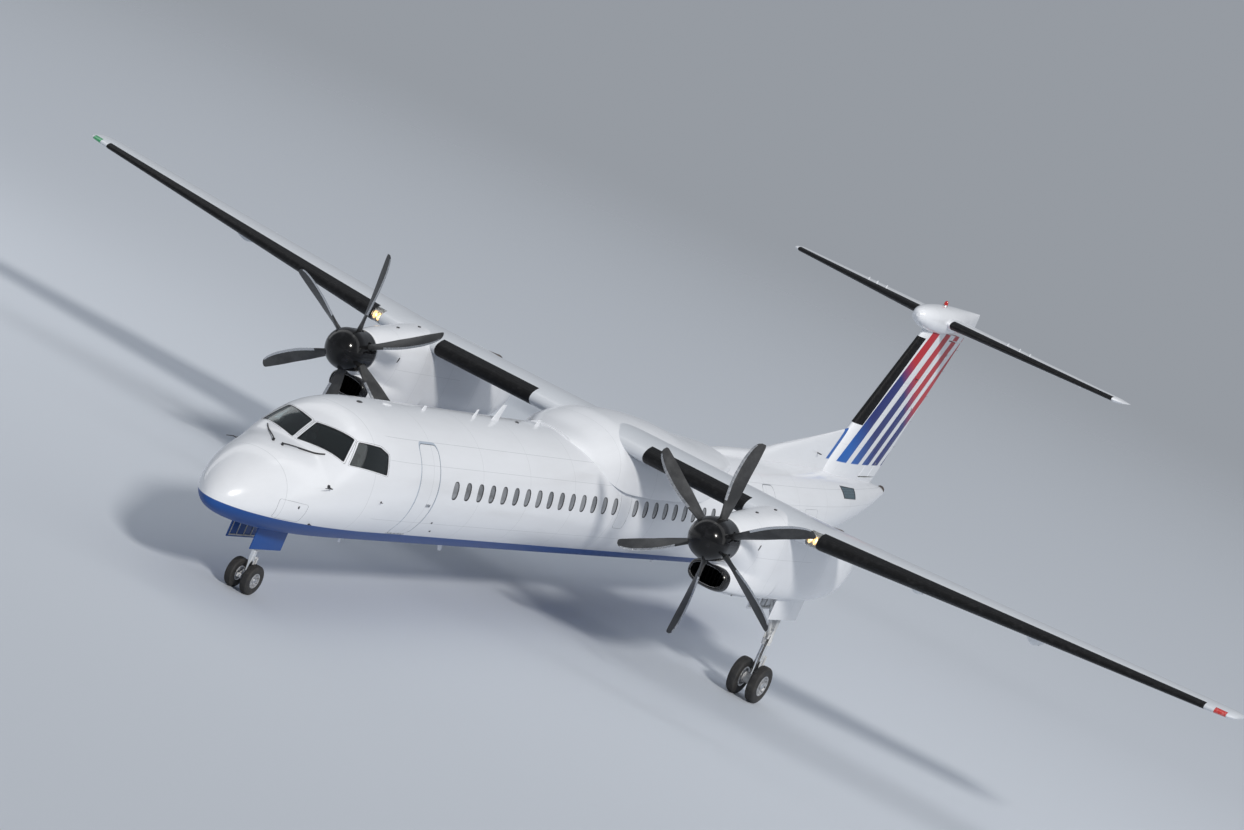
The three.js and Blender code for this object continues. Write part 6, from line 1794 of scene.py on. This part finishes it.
def add_wheel(tyres, rims, fittings, wheel, foot, side):
    """One wheel of a pair, dish outwards."""
    centre = foot_point(foot, side * wheel["half"], 0, foot["axle"])
    axis = TO_PORT * side
    tyre, profile = tyre_profile(wheel), rim_profile(wheel)
    add_spun(tyres, tyre + tyre[:1], axis, centre, 112)
    add_spun(rims, profile + profile[:1], axis, centre, 80)
    width, rim = wheel["width"], wheel["rim"]
    seat = 0.375 * width
    for size, long in ((0.048, 0.014), (0.066, 0.004)):
        bolt_row(fittings, centre + axis * seat * 0.44, axis, rim * 0.79, wheel["bolts"], rim * size, long)
    cap = [(0.0, 0.45 * width), (rim * 0.22, 0.45 * width), (rim * 0.27, 0.44 * width),
           (rim * 0.27, 0.42 * width), (0.0, 0.42 * width)]
    add_spun(fittings, cap, axis, centre, 40)
    bolt_row(fittings, centre + axis * 0.43 * width, axis, rim * 0.33, 6, rim * 0.030, 0.006, 0.3)
    way = Matrix.Rotation(0.35, 3, axis) @ UP
    valve = centre + way * rim * 0.66 + axis * seat * 0.42
    rod_between(fittings, valve, valve + axis * 0.03 + way * 0.012, 0.006, 0.0045, 12)


def vent_holes(wheel, foot, side):
    """Bars that cut the vents through a rim's web."""
    bm = bmesh.new()
    centre = foot_point(foot, side * wheel["half"], 0, foot["axle"])
    through = TO_PORT * wheel["width"] * 0.48
    for k in range(wheel["bolts"]):
        way = Matrix.Rotation(2 * math.pi * (k + 0.5) / wheel["bolts"], 3, TO_PORT) @ TO_PORT.orthogonal()
        spot = centre + way * wheel["rim"] * 0.655
        rod_between(bm, spot - through, spot + through, wheel["rim"] * 0.085, segments=24)
    return place_mesh(bm, "vent_holes", forged_alloy)


for wheel, foot, name in ((MAIN_WHEEL, MAIN_LEG, "main"), (NOSE_WHEEL, NOSE_FOOT, "nose")):
    tyres, rims, fittings = bmesh.new(), bmesh.new(), bmesh.new()
    for side in (1, -1):
        add_wheel(tyres, rims, fittings, wheel, foot, side)
    tyres = place_mesh(tyres, name + "_tyres", tyre_rubber)
    rims = place_mesh(rims, name + "_rims", forged_alloy)
    fittings = place_mesh(fittings, name + "_wheel_fittings", bare_metal)
    for side in (1, -1):
        carve(rims, vent_holes(wheel, foot, side))
    for piece, kind, slot, angle in ((tyres, "tyre", "tyre", 50), (rims, "hub", "wheel_alloy", 32),
                                     (fittings, None, "wheel_alloy", 32)):
        soften(piece, angle)
        if name == "nose":
            nodes = [f"nose_{kind}_{word}" for word in ("left", "right")] if kind else []
            dress(piece, "nose_wheels", slot, *nodes)
            continue
        twin = mirrored(piece, piece.name + "_right")
        soften(twin, angle)
        piece.name += "_left"
        for made, word in ((piece, "left"), (twin, "right")):
            nodes = [f"main_{kind}_{word}_{place}" for place in ("inner", "outer")] if kind else []
            dress(made, "main_wheels_" + word, slot, *nodes)


# Nose landing gear: a fixed cylinder and brace in the bay, a steered inner tube with its collar,
# torque links and towing lug, taxi lamps, and two narrow doors that stand open beside the leg.
leg = NOSE_FOOT
leg_foot, axle_centre = foot_point(leg, 0, 0, 0), foot_point(leg, 0, 0, leg["axle"])
casting, bright, pipes = bmesh.new(), bmesh.new(), bmesh.new()
CYLINDER = [
    (0.0605, 0.850), (0.078, 0.850), (0.083, 0.856), (0.083, 0.905), (0.070, 0.925), (0.070, 1.16),
    (0.080, 1.19),
    (0.083, 1.25), (0.083, 1.50), (0.074, leg["roof"]), (0.0, leg["roof"]), (0.0, 1.402), (0.0605, 1.400),
    (0.0605, 0.850),
]
add_spun(casting, CYLINDER, UP, leg_foot, 48, TO_PORT)
rod_between(casting, foot_point(leg, 0, -0.03, 1.065), foot_point(leg, 0, -0.545, 1.512), 0.030, segments=28)
cross_pin(casting, leg, 0.2495, -0.545, 1.520, 0.036, 28)
cross_pin(casting, leg, 0.19, 0, 1.500, 0.048, 32)
cross_pin(bright, leg, 0.2495, 0, 1.500, 0.034, 32)
block(casting, -0.045, 0.045, leg["y"] - 0.13, leg["y"] - 0.05, GROUND + 1.03, GROUND + 1.12)
cross_pin(bright, leg, 0.058, -0.095, 1.095, 0.014)
lamps, glow = bmesh.new(), bmesh.new()
LAMP_BOWL = [(0.0, 0.050), (0.030, 0.046), (0.052, 0.018), (0.056, 0.0), (0.060, 0.0), (0.060, -0.010),
             (0.050, -0.012), (0.049, -0.004), (0.0, 0.000)]
LAMP_LENS = [(0.0, -0.017), (0.024, -0.0155), (0.0475, -0.010), (0.0475, -0.004), (0.0, -0.004)]
for x in (-0.115, 0.115):
    spot = foot_point(leg, x, -0.125, 1.215)
    add_spun(lamps, LAMP_BOWL, AFT, spot, 32)
    add_spun(glow, LAMP_LENS, AFT, spot, 32)
    rod_between(casting, foot_point(leg, 0, -0.06, 1.215), foot_point(leg, x * 0.9, -0.095, 1.215), 0.012)
brake_pipe = ((0.04, -0.075, 1.45), (0.045, -0.085, 1.20), (0.045, -0.08, 0.95))
pipe(pipes, [foot_point(leg, *point) for point in brake_pipe], 0.005)
dress(place_mesh(casting, "nose_leg_casting", enamel, 35), "airframe", "gear_paint", "nose_leg")
dress(place_mesh(bright, "nose_leg_pins", chrome, 35), "airframe", "wheel_alloy")
dress(place_mesh(pipes, "nose_leg_pipes", bare_metal, 35), "airframe", "wheel_alloy")
dress(place_mesh(lamps, "taxi_lamp_bowls", bare_metal, 35), "airframe", "wheel_alloy")
dress(place_mesh(glow, "taxi_lamp_lenses", clear_cover, 35), "airframe", "lamp_glass")
fork, bright, links = bmesh.new(), bmesh.new(), bmesh.new()
inner_tube = [(0.0, 0.29), (0.055, 0.29), (0.055, 1.3995), (0.0, 1.3995)]
add_spun(bright, inner_tube, UP, leg_foot, 48, TO_PORT)
turning_collar = [(0.0, 0.780), (0.078, 0.780), (0.083, 0.786), (0.083, 0.834), (0.078, 0.840), (0.0, 0.840)]
add_spun(fork, turning_collar, UP, leg_foot, 48, TO_PORT)
axle_housing = [(0.0, -0.076), (0.062, -0.076), (0.071, -0.067), (0.071, 0.067), (0.062, 0.076), (0.0, 0.076)]
add_spun(fork, axle_housing, TO_PORT, axle_centre, 48)
collar = [(0.0, 0.325), (0.070, 0.325), (0.072, 0.345), (0.060, 0.385), (0.0, 0.385)]
add_spun(fork, collar, UP, leg_foot, 40, TO_PORT)
axle_end = [(0.0, -0.246), (0.030, -0.246), (0.036, -0.240), (0.036, 0.240), (0.030, 0.246), (0.0, 0.246)]
add_spun(bright, axle_end, TO_PORT, axle_centre, 36)
link_arm(links, leg, [(0.045, 0.395, 0.450, 0), (0.115, 0.405, 0.442, 0.5), (0.178, 0.410, 0.440, 1)],
         0.045, 0.027)
link_arm(links, leg, [(0.045, 0.608, 0.665, 0), (0.115, 0.612, 0.650, 0.5), (0.178, 0.615, 0.645, 1)],
         0.045, 0.027)
link_arm(links, leg, [(0.050, 0.62, 0.815, 0), (0.078, 0.63, 0.80, 1)], 0.034, 0.020)
for x in (-0.018, 0.018):
    rod_between(links, foot_point(leg, x, 0.180, 0.42), foot_point(leg, x, 0.180, 0.635), 0.014, segments=20)
for z in (0.425, 0.630):
    cross_pin(bright, leg, 0.036, 0.180, z, 0.010)
block(fork, -0.043, 0.043, leg["y"] - 0.15, leg["y"] - 0.05, GROUND + 0.24, GROUND + 0.32)
for x in (-0.032, 0.032):
    block(fork, x - 0.011, x + 0.011, leg["y"] - 0.19, leg["y"] - 0.14, GROUND + 0.245, GROUND + 0.315)
cross_pin(bright, leg, 0.045, -0.172, 0.28, 0.014, 24)
ease_edges(links, 0.02, 0.003)
dress(place_mesh(fork, "nose_fork_casting", enamel, 35), "nose_steering", "gear_paint", "nose_fork")
dress(place_mesh(links, "nose_torque_links", enamel, 35), "nose_steering", "gear_paint")
dress(place_mesh(bright, "nose_chrome_tube", chrome, 35), "nose_steering", "wheel_alloy")
doors, liners, arms = bmesh.new(), bmesh.new(), bmesh.new()
front, rear = NOSE_BAY["front"] + 0.02, NOSE_BAY["rear"] - 0.02
for side in (1, -1):
    inner, outer = NOSE_BAY["half"], NOSE_BAY["half"] + 0.025
    block(doors, *sorted((side * inner, side * outer)), front, rear, 0.80, 1.30)
    ribs = [(front + 0.04, rear - 0.04, 0.83, 0.855), (front + 0.04, rear - 0.04, 1.17, 1.195)]
    ribs += [(y - 0.010, y + 0.010, 0.855, 1.17) for y in steps(front + 0.05, rear - 0.05, 4)]
    for rib in ribs:
        block(liners, *sorted((side * (inner - 0.010), side * (inner + 0.001))), *rib)
    for y in (front + 0.15, rear - 0.15):
        rod_between(arms, (side * (inner - 0.002), y, 1.12), (side * 0.17, y, 1.455), 0.009)
bevel(doors, doors.edges[:], 0.007)
dress(place_mesh(doors, "nose_gear_doors", skin_paint, 35), "airframe", "white_paint")
dress(place_mesh(liners, "nose_door_ribs", primer, 35), "airframe", "gear_paint")
dress(place_mesh(arms, "nose_door_arms", bare_metal, 35), "airframe", "wheel_alloy")


# Flight deck, seen through the panes: a carpeted floor, an instrument panel of dark displays under a
# padded coaming, a centre pedestal with its levers, two control columns and two sheepskin seats.
DECK = {"floor": 1.62, "panel": 2.44, "pedestal": (2.52, 3.08), "seat": 0.48}
carpet = mottled("deck_carpet", (0.055, 0.060, 0.070), (0.018, 0.020, 0.026), 320, 3, Roughness=0.95)
tree, shader, place, tufts = parts_of(carpet)
emboss(tree, shader, tufts, 0.6, 0.003)
panel_grey = mottled("panel_grey", (0.145, 0.150, 0.155), (0.095, 0.10, 0.105), 8, 5, patch=(0.4, 0.7),
                     Roughness=0.6)
roughen(panel_grey, 420, 2, 0.3, 0.0006)
display, tree, shader = new_material("display_glass")
place = node(tree, "TexCoord").outputs["Object"]
x, y, z = node(tree, "SeparateXYZ", i_0=place).outputs
sky_part = ramp(tree, z, 2.34, 2.36)
rows = every(tree, z, 0.026, 0.002)
glow = over(tree, sky_part, (0.010, 0.045, 0.11, 1), (0.030, 0.020, 0.010, 1))
finish(tree, shader, over(tree, rows, (0.06, 0.10, 0.10, 1), glow))
shader.inputs["Roughness"].default_value = 0.08
shader.inputs["Coat Weight"].default_value = 1.0
fleece = mottled("seat_fleece", (0.17, 0.155, 0.135), (0.105, 0.10, 0.095), 9, 5, patch=(0.4, 0.7),
                 Roughness=0.95, Sheen_Weight=0.4)
tree, shader, place, _ = parts_of(fleece)
wool = shader.inputs["Base Color"].links[0].from_socket
curl = node(tree, "TexVoronoi", i_Vector=place, i_Scale=110.0).outputs[0]
finish(tree, shader, over(tree, ramp(tree, curl, 0.3, 0.7), (0.05, 0.047, 0.044, 1), wool))
emboss(tree, shader, curl, 0.8, 0.006)


def soft_block(bm, by, *bounds):
    """A block with every edge rounded."""
    verts = block(bm, *bounds)
    bevel(bm, list({edge for vert in verts for edge in vert.link_edges}), by)


floor_mat, cabinets, screens, trims = bmesh.new(), bmesh.new(), bmesh.new(), bmesh.new()
soft_block(floor_mat, 0.006, -0.815, 0.815, 2.36, 4.29, 1.5915, DECK["floor"])
soft_block(cabinets, 0.02, -0.70, 0.70, DECK["panel"] + 0.02, 2.56, 1.615, 2.595)
soft_block(cabinets, 0.018, -0.15, 0.15, *DECK["pedestal"], 1.615, 2.20)
soft_block(cabinets, 0.008, -0.135, 0.135, 2.56, 3.04, 2.19, 2.225)
for side in (1, -1):
    soft_block(cabinets, 0.02, *sorted((side * 0.70, side * 0.80)), 2.62, 3.90, 1.615, 2.24)
for x in (-0.52, -0.27, 0.0, 0.27, 0.52):
    soft_block(screens, 0.006, x - 0.098, x + 0.098, 2.556, 2.572, 2.25, 2.47)
    for low, high in ((2.235, 2.248), (2.472, 2.485)):
        block(trims, x - 0.112, x + 0.112, 2.556, 2.576, low, high)
    for edge in (-0.112, 0.099):
        block(trims, x + edge, x + edge + 0.013, 2.556, 2.576, 2.248, 2.472)
    for k in range(5):
        rod_between(trims, (x - 0.08 + 0.04 * k, 2.55, 2.205), (x - 0.08 + 0.04 * k, 2.585, 2.205), 0.009)
for x in steps(-0.55, 0.55, 14):
    rod_between(trims, (x, 2.55, 2.545), (x, 2.582, 2.545), 0.010)
for x in (-0.075, -0.03, 0.03, 0.075):
    # Power and condition levers, each on a slim blade with a round grip
    rod_between(trims, (x, 2.72, 2.21), (x, 2.70, 2.36), 0.007)
    bmesh.ops.create_uvsphere(trims, u_segments=16, v_segments=10, radius=0.021,
                              matrix=Matrix.Translation((x, 2.70, 2.37)))
for y in steps(2.84, 3.0, 4):
    for x in (-0.09, -0.03, 0.03, 0.09):
        rod_between(trims, (x, y, 2.22), (x, y, 2.245), 0.011)
for side in (1, -1):
    # Control column and its ram's-horn wheel
    x = side * DECK["seat"]
    pipe(trims, [(x, 2.74, 1.62), (x, 2.78, 2.02), (x, 2.68, 2.24)], 0.024, 16)
    pipe(trims, [(x - 0.15, 2.72, 2.40), (x - 0.17, 2.70, 2.30), (x - 0.05, 2.68, 2.225),
                 (x + 0.05, 2.68, 2.225),
                 (x + 0.17, 2.70, 2.30), (x + 0.15, 2.72, 2.40)], 0.015, 14)
    for pedal in (-0.10, 0.10):
        block(trims, x + pedal - 0.045, x + pedal + 0.045, 2.60, 2.625, 1.72, 1.86)
dress(place_mesh(floor_mat, "deck_floor", carpet, 35), "airframe", "cabin_trim", "flight_deck")
dress(place_mesh(cabinets, "deck_panel_and_pedestal", panel_grey, 35), "airframe", "cabin_trim")
dress(place_mesh(screens, "deck_displays", display, 35), "airframe", "cabin_trim")
dress(place_mesh(trims, "deck_levers_and_knobs", sealant_and_duct_shade, 35), "airframe", "cabin_trim")
COAMING = {"half": 0.71, "station": 2.475, "height": 2.632, "deep": 0.145, "thick": 0.026, "droop": 0.03}
coaming = bmesh.new()
rings = []
for x in steps(-COAMING["half"], COAMING["half"], 36):
    share = abs(x) / COAMING["half"]
    outline = []
    for turn in turns(24):
        across = bowed(math.cos(turn), 0.6) * (COAMING["deep"] - 0.03 * share ** 4)
        up = bowed(math.sin(turn), 0.8) * COAMING["thick"]
        sag = COAMING["droop"] * share ** 3 + 0.12 * max(across, 0) ** 1.5
        outline.append(Vector((x, COAMING["station"] + across, COAMING["height"] + up - sag)))
    rings.append(outline)
loft(coaming, rings)
dress(place_mesh(coaming, "panel_coaming", tread_rubber, 35), "airframe", "cabin_trim")


def cushion(corners, thick, crown, name):
    """A sewn cushion: a grid between four corners, crowned both ways, with its edge pulled in."""
    a, b, c, d = (Vector(corner) for corner in corners)
    up = (b - a).cross(d - a).normalized()
    bm = bmesh.new()
    bmesh.ops.create_grid(bm, x_segments=22, y_segments=22, size=1)
    for vert in bm.verts:
        u, v = (vert.co.x + 1) / 2, (vert.co.y + 1) / 2
        pull = 0.030 * (math.sin(math.pi * v) - 0.4 * math.sin(math.pi * v) ** 6) * (1 - 2 * u)
        flat = a.lerp(b, u).lerp(d.lerp(c, u), v) + (b - a).normalized() * pull * abs(1 - 2 * u) ** 4
        high = (math.sin(math.pi * u) * math.sin(math.pi * v)) ** 0.45 if 0 < u < 1 and 0 < v < 1 else 0.0
        middle, sides = (v - 0.5) / 0.018, (abs(u - 0.5) - 0.30) / 0.022
        channel = 0.010 * math.exp(-middle ** 2) + 0.010 * math.exp(-sides ** 2)
        vert.co = flat + up * (crown * high - channel * high)
    bmesh.ops.solidify(bm, geom=bm.faces[:], thickness=thick)
    bmesh.ops.recalc_face_normals(bm, faces=bm.faces)
    edges = [e for e in bm.edges if len(e.link_faces) == 2 and e.calc_face_angle() > 0.9]
    bevel(bm, edges, min(thick * 0.4, 0.022), 4)
    piece = place_mesh(bm, name, fleece, 60)
    dress(piece, "airframe", "cabin_trim")


seat_frames = bmesh.new()
for side, word in SIDES:
    x = side * DECK["seat"]
    soft_block(seat_frames, 0.015, x - 0.10, x + 0.10, 3.18, 3.42, 1.615, 1.98)
    soft_block(seat_frames, 0.015, x - 0.235, x + 0.235, 3.06, 3.52, 1.98, 2.035)
    soft_block(seat_frames, 0.02, x - 0.21, x + 0.21, 3.50, 3.555, 2.00, 2.64)
    for arm in (-0.235, 0.235):
        pipe(seat_frames, [(x + arm, 3.52, 2.12), (x + arm, 3.50, 2.27), (x + arm, 3.20, 2.27)], 0.016)
    for bar in (-0.05, 0.05):
        rod_between(seat_frames, (x + bar, 3.53, 2.62), (x + bar, 3.53, 2.74), 0.008)
    seat = [(x - 0.225, 3.06, 2.075), (x + 0.225, 3.06, 2.075), (x + 0.225, 3.47, 2.060),
            (x - 0.225, 3.47, 2.060)]
    back = [(x + 0.205, 3.455, 2.09), (x - 0.205, 3.455, 2.09), (x - 0.19, 3.49, 2.64),
            (x + 0.19, 3.49, 2.64)]
    head = [(x + 0.12, 3.485, 2.68), (x - 0.12, 3.485, 2.68), (x - 0.11, 3.495, 2.87),
            (x + 0.11, 3.495, 2.87)]
    cushion(seat, 0.060, 0.035, "seat_cushion_" + word)
    cushion(back, 0.050, 0.030, "seat_back_cushion_" + word)
    cushion(head, 0.045, 0.020, "head_rest_" + word)
dress(place_mesh(seat_frames, "crew_seat_frames", panel_grey, 35), "airframe", "cabin_trim")
